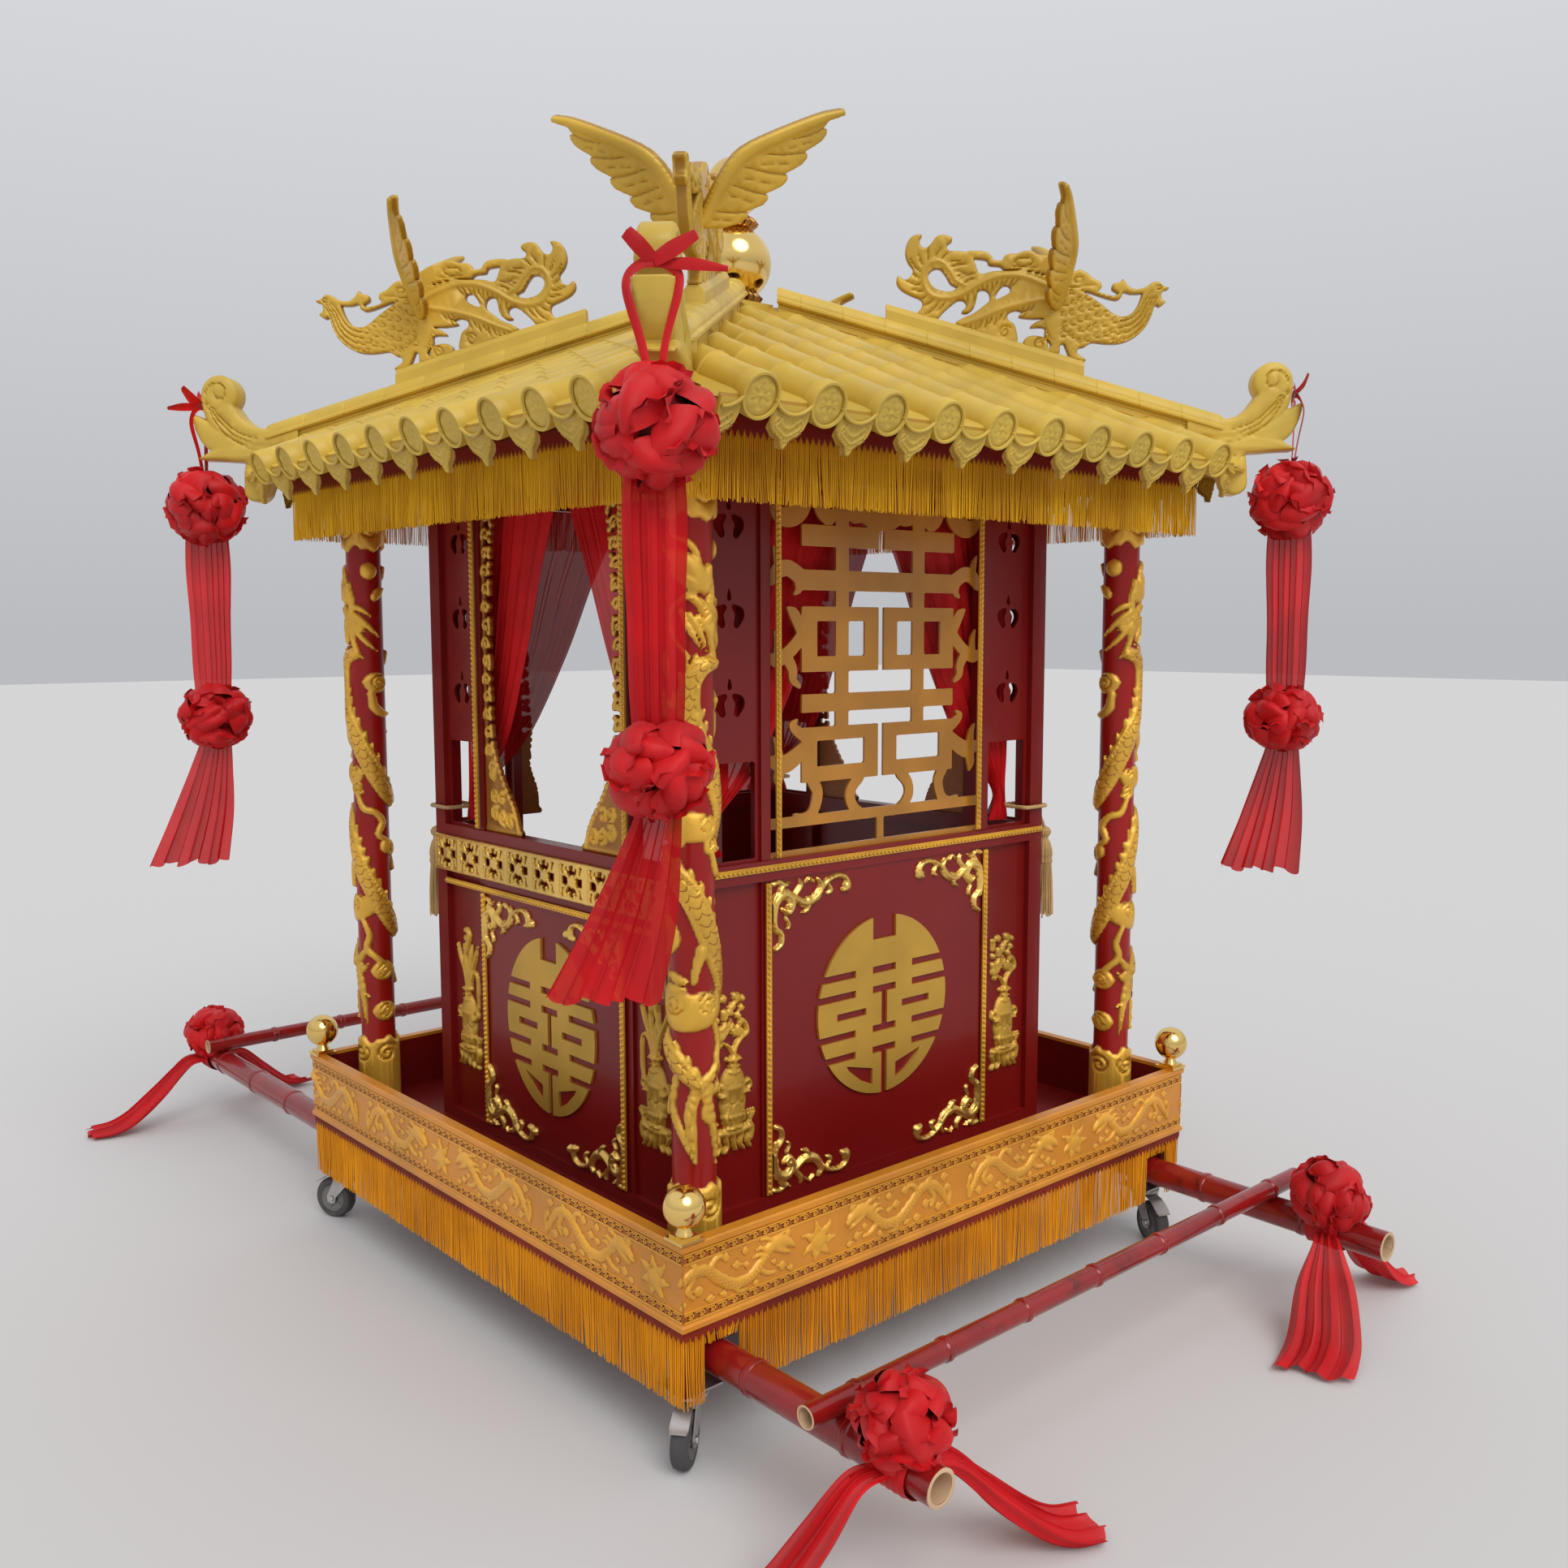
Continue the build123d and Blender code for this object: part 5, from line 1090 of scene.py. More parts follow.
def phoenixes():
    """The four phoenixes on the ridges: each plate is a piece, the wings one and the bars one."""
    body, wings = phoenix_plate(), Soup()
    for side in (-1, 1):
        wing(wings, side)
    bar = Soup()
    phoenix_bar(bar)
    for corner, name in enumerate(("left_rear", "right_rear", "right_front", "left_front")):
        whole = Soup()
        whole.merge(body, turned(corner))
        made = piece("phoenix_" + name, whole, PHOENIX_GOLD, "roof_gold", sharp=60, thin=2.5)
        if corner == 0:
            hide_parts("phoenixes")
    four_sides("phoenix_wings", wings, PHOENIX_GOLD, "roof_gold", sharp=60, thin=4.0)
    four_sides("phoenix_bars", bar, ROOF, "roof_gold", sharp=30)


# Fringes


def strands(soup, half, high, low, spacing, seed, gaps=(), gap_low=None):
    """Hanging silk strands along one side, in two layers from the outside in, shorter in the gaps."""
    layers, depth, out = 2, 0.0065, 0.7448
    pick = np.random.default_rng(seed)
    per = int(2 * half / spacing)
    x = np.concatenate([(np.arange(per) + 0.5 + 0.5 * k / layers) * 2 * half / per - half
                        for k in range(layers)])
    y = np.concatenate([np.full(per, -out + 0.0012 + k * (depth - 0.0024)) for k in range(layers)])
    n = len(x)
    x += pick.normal(0, 0.0006, n)
    end = low + np.abs(pick.normal(0, 0.0035, n)) - 0.0005
    for left, right in gaps:
        inside = (x > left) & (x < right)
        end = np.where(inside, gap_low + pick.random(n) * 0.002, end)
    lean = 0.004 * np.sin(x * 41 + seed) + 0.003 * np.sin(x * 97 + 2 * seed) + pick.normal(0, 0.0012, n)
    clump = 0.0012 * np.sin(x * 260 + seed)
    rows = 3
    t = np.linspace(0, 1, rows)
    centre_x = x[:, None] + (lean + clump)[:, None] * t**1.5 + pick.normal(0, 0.0004, (n, rows)) * t
    centre_y = y[:, None] + pick.normal(0, 0.0005, (n, rows)) * t
    centre_z = high + (end - high)[:, None] * t
    radius = 0.0013 * (1 - 0.25 * t) * pick.uniform(0.8, 1.2, n)[:, None]
    a = np.radians((90, 210, 330))
    points = np.stack((centre_x[..., None] + radius[..., None] * np.cos(a),
                       centre_y[..., None] - radius[..., None] * np.sin(a),
                       np.broadcast_to(centre_z[..., None], (n, rows, 3))), -1)
    faces = grid_faces(rows, 3, False, True)[:, ::-1]
    faces = (faces[None] + rows * 3 * np.arange(n)[:, None, None]).reshape(-1, 4)
    # Each strand gets a random tone, and its tone falls towards the top: painted shade under the tape and the
    # eave.
    random_tone_and_root_shade = pick.uniform(0.75, 1.0, n)[:, None, None] * np.clip(0.10 + 1.6 * t, 0, 1)[None, :, None]
    soup.add(points.reshape(-1, 3), [faces], np.broadcast_to(random_tone_and_root_shade, (n, rows, 3)).ravel())


def zigzag(soup, half, y, high, root, tip, teeth):
    """A ribbon whose lower edge is cut into teeth."""
    edges = np.linspace(-half, half, 2 * teeth + 1)
    low = np.where(np.arange(len(edges)) % 2, tip, root)
    n = len(edges)
    k = np.arange(n - 1)
    points = [(x, y, high) for x in edges] + [(x, y, z) for x, z in zip(edges, low)]
    soup.add(points, [np.stack((k, k + n, k + n + 1, k + 1), -1)], 1.0)


def fringes():
    """The base's long fringe with its gaps at the poles, its toothed tape, and the fringe under the eaves."""
    skirt, valance, teeth = Soup(), Soup(), Soup()
    gap = 0.0385
    for side in range(4):
        one, two, tape = Soup(), Soup(), Soup()
        gaps = [(x - gap, x + gap) for x in (-0.655, 0.655)] if side % 2 == 0 else []
        half = 0.7445 if side % 2 else 0.737
        strands(one, half, 0.2635, 0.120, 0.0041, 11 + side, gaps=gaps, gap_low=0.2245)
        strands(two, half, 1.797, 1.664, 0.0041, 31 + side)
        zigzag(tape, 0.745, -0.7456, 0.2640, 0.2520, 0.2400, 110)
        for whole, part in ((skirt, one), (valance, two), (teeth, tape)):
            whole.merge(part, turned(side))
    piece("skirt_strands", skirt, FRINGE, "gold_fringe", replaces=("base_fringe",), sharp=0)
    piece("valance_strands", valance, EAVE_SILK, "gold_fringe", replaces=("eave_fringe",), sharp=0)
    piece("skirt_zigzag", teeth, TAPE, "red_lacquer", sharp=0)


# Columns

COLUMN_R = 0.040
COLUMN_AT = 0.627
ROUND = TAU * COLUMN_R


def round_column(points):
    """From degrees and millimetres to metres on the unrolled column."""
    points = np.asarray(points, float)
    return np.column_stack((np.radians(points[:, 0]) * COLUMN_R, points[:, 1] / 1000))


def wound(draw, points, widths, *rest, **more):
    """Draws on the unrolled column and again wherever the line comes round to it."""
    line = round_column(points)
    widths = np.asarray(widths, float) / 1000
    reach = widths.max() + 0.01
    for turn in range(-4, 5):
        moved = line + (turn * ROUND, 0)
        if moved[:, 0].max() + reach > 0 and moved[:, 0].min() - reach < ROUND:
            draw(moved, widths, *rest, **more)


def dragon_back(along, across):
    """Belly band below, a place for scales in the middle, a ridge above."""
    belly = 1.02 - 0.20 * (np.abs((along / 0.011) % 1 - 0.5) < 0.14)
    edge = np.exp(-(((np.abs(across + 0.05) - 0.58) / 0.07) ** 2)) * 0.30
    return np.where(np.abs(across + 0.05) < 0.6, 1.0, np.where(across < 0, belly, 1.12)) - edge


def flowing(along, across):
    return 1 - 0.34 * np.clip(np.sin(TAU * across * 2.2), 0, 1)


# The dragon carved round a column.
# columns: degrees round from the outer corner, height and half width in millimetres
DRAGON_BODY = [(72, 1398, 13), (38, 1391, 16), (12, 1369, 18), (2, 1333, 20), (8, 1290, 21), (28, 1250, 22),
               (60, 1212, 22), (95, 1158, 22), (137, 1100, 22), (185, 1056, 21), (232, 1046, 20),
               (278, 1050, 20), (316, 1036, 21), (354, 1006, 22), (383, 970, 22), (404, 932, 21),
               (424, 896, 21), (455, 850, 21), (497, 790, 21), (548, 737, 20), (594, 724, 19), (632, 724, 19),
               (667, 708, 19), (703, 682, 17), (743, 652, 10)]
# columns: points, half widths, how far proud, pattern
DRAGON_PARTS = [
    ([(-36, 1632), (-28, 1612), (4, 1602), (24, 1584), (32, 1562)], [2, 4, 5, 6, 5], 9, None),
    ([(-38, 1584), (-14, 1572), (14, 1556), (30, 1540)], [9, 17, 20, 17], 13, None),
    ([(-30, 1556), (-10, 1545), (20, 1532)], [6, 12, 16], 13, None),
    ([(56, 1562), (52, 1540), (44, 1522)], [5, 9, 9], 12, None),
    ([(58, 1548), (66, 1520), (60, 1492)], [6, 8, 6], 9, None),
    ([(8, 1508), (30, 1500), (54, 1478), (64, 1446)], [5, 9, 12, 10], 11, "flow"),
    ([(36, 1524), (6, 1514), (-22, 1500), (-40, 1484), (-39, 1452), (-18, 1424), (2, 1410), (-1, 1390)],
     [5, 6, 5, 4, 3, 3, 3, 2], 7, None),
    ([(-14, 1486), (6, 1456), (36, 1420)], [5, 6, 1], 8, None),
    ([(6, 1480), (30, 1452), (48, 1416)], [5, 6, 1], 9, None),
    ([(28, 1474), (56, 1450), (68, 1414)], [5, 6, 1], 9, None),
    ([(60, 1508), (98, 1502), (131, 1484)], [6, 7, 1], 8, None),
    ([(62, 1496), (107, 1470), (154, 1436)], [7, 8, 1], 9, None),
    ([(64, 1466), (105, 1430), (145, 1405)], [6, 7, 1], 9, None),
    ([(62, 1440), (82, 1402), (103, 1386)], [6, 6, 1], 8, None),
    ([(66, 1480), (88, 1460), (104, 1452)], [12, 10, 4], 9, "flow"),
    # legs and claws
    ([(26, 1222), (2, 1194), (-18, 1172), (-12, 1150)], [11, 9, 7, 6], 11, None),
    ([(-84, 1326), (-60, 1332), (-36, 1326), (-10, 1330)], [3, 6, 8, 9], 9, None),
    ([(-84, 1352), (-70, 1334)], [1, 6], 8, None),
    ([(-84, 1300), (-70, 1322)], [1, 6], 8, None),
    ([(32, 898), (18, 868), (10, 842)], [11, 8, 6], 11, None),
    ([(-54, 852), (-34, 846), (-12, 842)], [6, 9, 6], 9, "flow"),
    ([(-62, 830), (-40, 826), (-16, 828)], [6, 9, 6], 9, "flow"),
    # clouds
    ([(-64, 1102), (-30, 1112), (10, 1114), (56, 1112)], [6, 22, 27, 22], 9, None),
    ([(-84, 1090), (-52, 1092), (-22, 1086)], [3, 7, 9], 8, None),
    ([(-84, 800), (-40, 790), (0, 786), (40, 790), (80, 794)], [34, 38, 34, 33, 26], 9, None),
    ([(-84, 960), (-60, 940), (-44, 916), (-60, 894)], [3, 14, 15, 8], 8, None),
    ([(-84, 1420), (-62, 1400), (-58, 1378)], [1, 8, 6], 7, None),
    ([(104, 1332), (140, 1330), (168, 1330)], [8, 25, 8], 9, None),
    ([(122, 1304), (130, 1274), (160, 1258), (199, 1255)], [10, 12, 10, 3], 8, None),
    ([(142, 1531), (160, 1542), (185, 1553)], [10, 12, 2], 7, None),
    ([(61, 1068), (84, 1032), (120, 1022), (146, 998), (131, 968), (165, 950)], [4, 8, 8, 9, 8, 5], 8, None),
    ([(160, 938), (199, 930)], [18, 19], 9, None),
    ([(62, 1080), (80, 1072)], [18, 6], 8, None),
    ([(69, 762), (90, 724), (80, 692), (116, 666), (134, 650)], [5, 8, 9, 8, 6], 8, None),
    ([(104, 636), (134, 636), (164, 636)], [10, 24, 10], 9, None),
    ([(54, 652), (38, 596), (86, 572)], [6, 7, 2], 7, None),
    ([(106, 537), (135, 536), (164, 537)], [10, 24, 10], 9, None),
    ([(210, 1400), (240, 1385), (262, 1395)], [8, 22, 8], 9, None),
    ([(225, 1210), (250, 1222), (270, 1260), (250, 1300)], [4, 9, 8, 3], 8, None),
    ([(205, 880), (240, 900), (262, 885)], [8, 22, 8], 9, None),
    ([(215, 600), (245, 612), (268, 596)], [8, 20, 8], 9, None),
    ([(200, 1600), (230, 1585), (262, 1598)], [6, 18, 6], 8, None),
    # tail
    ([(18, 655), (-2, 604), (4, 556), (12, 512)], [10, 11, 8, 1], 9, "flow"),
    ([(34, 650), (58, 586), (71, 506)], [10, 9, 1], 9, "flow"),
    ([(-40, 668), (-54, 612), (-22, 564), (8, 514)], [7, 9, 8, 1], 8, "flow"),
    ([(26, 655), (58, 672), (82, 696)], [12, 9, 2], 9, "flow"),
    ([(30, 640), (62, 640), (86, 656)], [10, 8, 2], 8, "flow"),
]
# columns: middle (degrees, height), radius, turns towards the right or the left
COLUMN_SPIRALS = [
    (146, 1330, 19, 1), (184, 932, 16, 1), (66, 1082, 13, -1), (136, 636, 18, 1), (137, 536, 18, 1),
    (46, 800, 22, 1), (46, 1116, 17, 1), (-40, 800, 20, -1), (240, 1390, 15, 1), (240, 896, 15, 1),
    (245, 608, 14, 1), (230, 1590, 12, 1),
]


def spiral(middle, radius, turn, start=0.0, turns=1.7, count=20):
    """Points of a spiral that runs inwards."""
    t = np.linspace(0, 1, count)
    a = start + turn * t * turns * TAU
    r = radius * (1 - 0.85 * t)
    return np.column_stack((middle[0] + r * np.cos(a), middle[1] + r * np.sin(a)))


def column_relief():
    """The ornament of one unrolled column, with its two cloud collars."""
    field = Field((0.0, ROUND), (0.288, 1.745), 0.0042)
    body = np.array(DRAGON_BODY, float)
    wound(field.stroke, body[:, :2], body[:, 2], 0.0135, dragon_back, sharp=0.42, per=6, scales=0.018)
    line = smooth_line(body, 6)
    step = 0.0
    for before, after in zip(line[:-1], line[1:]):
        u = np.radians(after[0] - before[0]) * 40
        v = after[1] - before[1]
        length = math.hypot(u, v)
        step += length
        if step < 25 or length == 0:
            continue
        step = 0.0
        across = np.array((-v, u)) / length
        ahead = np.array((u, v)) / length
        if across[1] < 0:
            across = -across
        foot = np.array((np.radians(after[0]) * 40, after[1])) + across * (after[2] - 4)
        tip = foot + across * 11 - ahead * 12
        middle = foot + across * 6 - ahead * 3
        points = [(np.degrees(p[0] / 40), p[1]) for p in (foot + ahead * 5, middle, tip)]
        wound(field.stroke, points, [5, 5, 0.8], 0.008)
    for points, widths, proud, pattern in DRAGON_PARTS:
        wound(field.stroke, points, widths, proud / 1000, flowing if pattern else None, sharp=0.42)
    for angle, height, radius in ((6, 1536, 7), (57, 1534, 5), (125, 1592, 20)):
        u = math.radians(angle) * COLUMN_R
        for turn in (0, ROUND):
            field.dome((u + turn, height / 1000), radius / 1000, 0.014 if radius < 10 else 0.011)
    for edge, low in ((0.458, True), (1.652, False)):
        u = np.linspace(-0.01, ROUND + 0.01, 60)
        wave = 0.014 * np.abs(np.sin(u / ROUND * TAU * 2)) + 0.004 * np.sin(u / ROUND * TAU * 8)
        if low:
            corners = list(zip(u, edge + wave)) + [(ROUND + 0.01, 0.26), (-0.01, 0.26)]
        else:
            corners = list(zip(u, edge - wave)) + [(ROUND + 0.01, 1.80), (-0.01, 1.80)]
        field.polygon(corners, 0.0092, 0.006)
    for k in range(4):
        u = (k + 0.5) * ROUND / 4
        for z in (0.432, 1.686):
            field.groove(spiral((u, z), 0.024, 1 if k % 2 else -1, 0.6, 1.5), [0.0034] * 20, 0.008, per=2)
    for angle, height, radius, turn in COLUMN_SPIRALS:
        points = spiral((0, 0), radius / 1000, turn, 0.4)
        degrees = angle + np.degrees(points[:, 0] / COLUMN_R)
        wound(lambda p, w: field.groove(p, w, 0.0055, per=2),
              np.column_stack((degrees, height + points[:, 1] * 1000)), [2.2] * 20)
    flat = Soup()
    field.relief(flat, laid_flat, 0.0012, 0.011)
    return flat


def columns():
    """The ornament wrapped round the four columns, mirrored on the left and right ones."""
    flat, whole = column_relief(), Soup()
    for sx in (-1, 1):
        for sy in (-1, 1):
            outer = math.atan2(sy, sx)

            def wrap(p):
                angle = outer + (p[:, 0] if sx < 0 else -p[:, 0]) / COLUMN_R
                r = COLUMN_R + p[:, 2]
                return np.stack((sx * COLUMN_AT + r * np.cos(angle), sy * COLUMN_AT + r * np.sin(angle),
                                 p[:, 1]), -1)

            whole.merge(flat, wrap, flip=sx > 0)
    piece("column_ornament", whole, GILT, "gilt_relief", replaces=("column_dragons", "column_collars"),
          sharp=70, thin=4.0)


# Walls

FACE_X, FACE_Y = 0.530, 0.487


def face_frames():
    """The cabin's faces as (side, (distance, place of the uprights, edge of the middle bay))."""
    wide = (FACE_Y, 0.327, 0.485)
    narrow = (FACE_X, 0.285, 0.442)
    return [(0, wide), (1, narrow), (2, wide), (3, narrow)]


def bead_line(soup, side, out, start, end):
    """A gilt strip with a row of beads, between two points of a face."""
    wide = 0.0065
    (x0, z0), (x1, z1) = start, end
    turn = turned(side)
    dx, dz = x1 - x0, z1 - z0
    length = math.hypot(dx, dz)
    nx, nz = -dz / length * wide, dx / length * wide
    corners = [(x0 - nx, z0 - nz), (x1 - nx, z1 - nz), (x1 + nx, z1 + nz), (x0 + nx, z0 + nz)]
    front = [(x, -out - 0.003, z) for x, z in corners]
    back = [(x, -out + 0.001, z) for x, z in corners]
    soup.add(turn(np.array(front + back)), [BAR_FACES], 0.45)
    row = Soup()
    beads(row, (x0, -out - 0.003, z0), (x1, -out - 0.003, z1), 0.0052, 0.0115, (0, -1, 0), oval=1.05)
    soup.merge(row, turn)


def trims():
    """Beaded strips along the uprights, the middle rail and the sunk boards."""
    soup = Soup()
    for side, (out, upright, bay) in face_frames():
        entrance, window = side == 2, side % 2 == 1
        top_low = 0.857 if window else 0.955
        for sign in (-1, 1):
            x = sign * (upright - (0.013 if window else 0.0))
            bead_line(soup, side, out, (x, 0.316), (x, top_low))
            x = sign * (upright - (0.0 if window else 0.027) + (0.004 if window else 0))
            bead_line(soup, side, out, (x, 1.004), (x, 1.742))
        if window:
            bead_line(soup, side, out, (-bay, 0.866), (bay, 0.866))
        elif entrance:
            for sign in (-1, 1):
                bead_line(soup, side, out, (sign * 0.34, 0.985), (sign * 0.527, 0.985))
        else:
            bead_line(soup, side, out, (-0.527, 0.985), (0.527, 0.985))
    piece("bead_trims", soup, GILT, "gilt_relief", sharp=50)


# One corner scroll, from the panel's corner along its top and down its side, in millimetres.
# columns: points, half widths, how far proud
CORNER_SCROLL = [
    ([(8, 104), (3, 74), (10, 40), (36, 30), (52, 50), (42, 68), (27, 60)], [4, 8, 11, 11, 9, 6, 4], 12),
    ([(20, 22), (52, 36), (86, 54), (116, 46), (132, 24), (122, 8)], [3, 7, 9, 10, 7, 3], 11),
    ([(126, 34), (150, 15), (178, 8), (200, 14), (208, 34), (195, 40)], [6, 6, 5, 6, 9, 6], 10),
    ([(10, 96), (24, 112), (21, 130), (8, 138)], [5, 7, 6, 5], 10),
    ([(60, 34), (76, 16), (72, 4)], [6, 6, 1], 9),
    ([(96, 46), (94, 66), (80, 74)], [6, 6, 2], 9),
    ([(12, 44), (24, 16), (46, 6)], [6, 6, 2], 9),
    ([(150, 20), (160, 36), (150, 42)], [4, 5, 3], 8),
    ([(2, 6), (20, 4), (40, 14)], [5, 6, 2], 8),
    ([(36, 78), (44, 94), (36, 102)], [4, 4, 1], 8),
    ([(110, 12), (98, 4), (88, 12)], [4, 4, 2], 8),
]


def corner_scrolls():
    """Acanthus scrolls in the corners of the closed middle boards."""
    whole = Soup()
    for side, half in ((0, 0.315), (1, 0.273), (3, 0.273)):
        out = (FACE_Y if side == 0 else FACE_X) - 0.004
        top = 0.957 if side == 0 else 0.848
        flat = Soup()
        field = Field((-0.002, 0.218), (-0.002, 0.148), 0.0030)
        for points, widths, proud in CORNER_SCROLL:
            scale = 0.92 if side else 1.0
            field.stroke(np.array(points) / 1000 * (scale, 1), np.array(widths) / 1000, proud / 1000,
                         rounded_leaf, sharp=0.45)
        field.dome((0.203, 0.033), 0.010, 0.012)
        field.dome((0.043, 0.056), 0.007, 0.013)
        field.relief(flat, laid_flat, 0.001, 0.010)
        turn = turned(side)
        for sx in (-1, 1):
            for low in (False, True):

                def place(p):
                    x = sx * (half - p[:, 0])
                    z = (0.314 + p[:, 1]) if low else (top - p[:, 1])
                    return turn(np.stack((x, -out - p[:, 2], z), 1))

                whole.merge(flat, place, flip=(sx > 0) != low)
    piece("corner_scrolls", whole, GILT_BRIGHT, "gilt_relief", sharp=80, thin=4.0)


def rounded_leaf(along, across):
    return 1 - 0.30 * np.exp(-(((np.abs(across) - 0.55) / 0.14) ** 2))


def vases():
    """Vases with blossoming branches on stands, on the boards beside the middle ones."""
    pick = random.Random(5)
    flats = []
    for kind in range(2):
        field = Field((-0.056, 0.056), (-0.004, 0.342), 0.0034)

        def draw(points, widths, proud, sharp=0.45):
            field.stroke(np.array(points) / 1000, np.array(widths) / 1000, proud / 1000, sharp=sharp)

        draw([(0, 48), (0, 62), (0, 92), (0, 124), (0, 146), (0, 160), (0, 176), (0, 190)],
             [13, 24, 33, 35, 29, 16, 9, 9], 13, sharp=0.5)
        for z, half, wide in ((52, 20, 3), (76, 30, 2), (118, 36, 2), (134, 34, 1.5), (165, 13, 3),
                              (176, 12, 2), (190, 15, 4)):
            draw([(-half, z), (0, z - 2), (half, z)], [wide, wide, wide], 15)
        field.groove([(-0.030, 0.100), (-0.018, 0.106), (-0.006, 0.098), (0.006, 0.106), (0.018, 0.098),
                      (0.030, 0.104)], [0.0016] * 6, 0.003)
        for x in (-22, -11, 0, 11, 22):
            draw([(x, 62), (x * 1.05, 74), (x * 0.8, 86)], [4, 5, 1], 15)
            field.dome((x * 0.9 / 1000, 0.146 - abs(x) * 0.00015), 0.0026, 0.0145)
        for side in (-1, 1):
            draw([(side * 34, 120), (side * 44, 128), (side * 40, 140), (side * 30, 136)], [3, 4, 4, 3], 10)
            draw([(side * 12, 50), (side * 20, 34), (side * 16, 16), (side * 24, 4)], [6, 6, 5, 5], 11)
            draw([(side * 30, 48), (side * 40, 34), (side * 34, 18), (side * 42, 4)], [5, 6, 4, 5], 10)
        draw([(-38, 44), (0, 40), (38, 44)], [7, 8, 7], 12)
        draw([(0, 36), (0, 20), (4, 6)], [6, 5, 5], 11)
        draw([(42, 20), (46, 40), (40, 56)], [7, 8, 3], 12)
        for a in (-16, -4, 8, 18):
            draw([(43, 56), (43 + a * 0.5, 70), (40 + a * 0.7, 80)], [3, 3, 1], 9)
        if kind == 0:
            draw([(0, 190), (6, 212), (20, 228), (36, 238), (32, 256), (20, 268)], [7, 6, 6, 6, 5, 3], 10)
            draw([(2, 196), (-10, 216), (-24, 224)], [4, 4, 2], 9)
            draw([(20, 228), (4, 250), (-6, 270)], [4, 4, 2], 9)
            centres = [(-8 + 34 * pick.uniform(-1, 1), 276 + 42 * pick.uniform(-1, 1)) for _ in range(34)]
            centres += [(-32 + 10 * pick.uniform(-1, 1), 226 + 16 * pick.uniform(-1, 1)) for _ in range(7)]
        else:
            for x, lean in ((-4, -34), (2, -12), (6, 10), (10, 30)):
                draw([(x, 190), (x + lean * 0.3, 230), (x + lean * 0.9, 268), (x + lean * 1.2, 296)],
                     [4, 5, 5, 1], 10)
            draw([(0, 192), (-14, 246), (-2, 284), (10, 318), (-4, 330)], [4, 5, 6, 6, 3], 10)
            draw([(6, 192), (26, 228), (42, 226), (46, 196), (44, 150), (40, 116)], [4, 5, 4, 4, 3, 1], 9)
            centres = [(6 * pick.uniform(-1, 1), 316 + 14 * pick.uniform(-1, 1)) for _ in range(6)]
        for x, z in centres:
            field.dome((x / 1000, z / 1000), 0.0072, 0.0115, petals=5, dip=0.45)
        flat = Soup()
        field.relief(flat, laid_flat, 0.001, 0.010)
        flats.append(flat)
    whole = Soup()
    for side, (out, upright, bay) in face_frames():
        middle = (upright + bay) / 2 + 0.006
        turn = turned(side)
        for sx in (-1, 1):
            kind = side % 2

            def place(p):
                return turn(np.stack((sx * middle + (p[:, 0] if kind == 0 else -sx * p[:, 0]),
                                      -(out - 0.014) - p[:, 2], 0.425 + p[:, 1]), 1))

            whole.merge(flats[kind], place, flip=kind == 1 and sx > 0)
    piece("vases", whole, VASE, "gilt_relief", sharp=80, thin=4.0)


# columns: left, right, lower and upper edge of a bar, in millimetres from the middle and the window's foot
HAPPINESS = [
    (8, 225, 578, 622), (95, 131, 610, 690), (95, 131, 200, 600), (0, 225, 488, 530),
    (8, 225, 425, 455), (8, 48, 320, 455), (183, 225, 320, 455), (8, 225, 320, 352),
    (0, 225, 236, 274), (8, 225, 176, 205), (8, 48, 90, 205), (183, 225, 90, 205), (8, 225, 90, 122),
]
# The scrolls round the character; columns: points, half widths
SCREEN_SCROLLS = [
    ([(24, 700), (50, 660), (80, 650), (104, 672), (108, 700), (96, 716)], [20, 20, 18, 16, 12, 6]),
    ([(0, 640), (40, 650), (72, 682), (80, 720), (66, 745)], [22, 22, 20, 16, 8]),
    ([(66, 745), (52, 724), (50, 712)], [8, 8, 3]),
    ([(160, 745), (176, 712), (206, 690), (230, 650), (262, 634), (292, 642), (300, 668), (284, 676)],
     [14, 16, 20, 22, 20, 14, 9, 4]),
    ([(160, 740), (186, 734), (200, 716)], [10, 8, 2]),
    ([(212, 690), (184, 676), (170, 652), (150, 640), (130, 650)], [14, 14, 16, 16, 8]),
    ([(222, 508), (236, 520), (262, 532), (288, 526), (306, 508)], [18, 17, 16, 16, 12]),
    ([(236, 512), (232, 492), (244, 480)], [10, 9, 3]),
    ([(286, 530), (292, 556), (300, 574)], [10, 8, 2]),
    ([(222, 400), (236, 424), (246, 440), (262, 452)], [13, 13, 12, 3]),
    ([(222, 400), (238, 380), (262, 360), (290, 346), (308, 350)], [13, 14, 14, 14, 10]),
    ([(290, 350), (290, 384), (298, 406)], [10, 8, 2]),
    ([(268, 356), (250, 328), (248, 306), (232, 292)], [13, 12, 9, 5]),
    ([(222, 190), (238, 200), (250, 212), (238, 222)], [12, 11, 8, 3]),
    ([(222, 160), (248, 142), (276, 132), (306, 140)], [15, 18, 18, 12]),
    ([(284, 140), (290, 170), (300, 190)], [12, 8, 2]),
    ([(280, 130), (288, 104), (284, 84)], [14, 12, 3]),
    ([(62, 92), (84, 70), (88, 44), (72, 22), (56, 16)], [13, 13, 13, 11, 6]),
    ([(196, 92), (182, 70), (186, 42), (200, 22), (222, 18), (244, 26)], [13, 14, 13, 12, 9, 3]),
    ([(72, 24), (44, 8), (20, 6)], [10, 8, 3]),
]


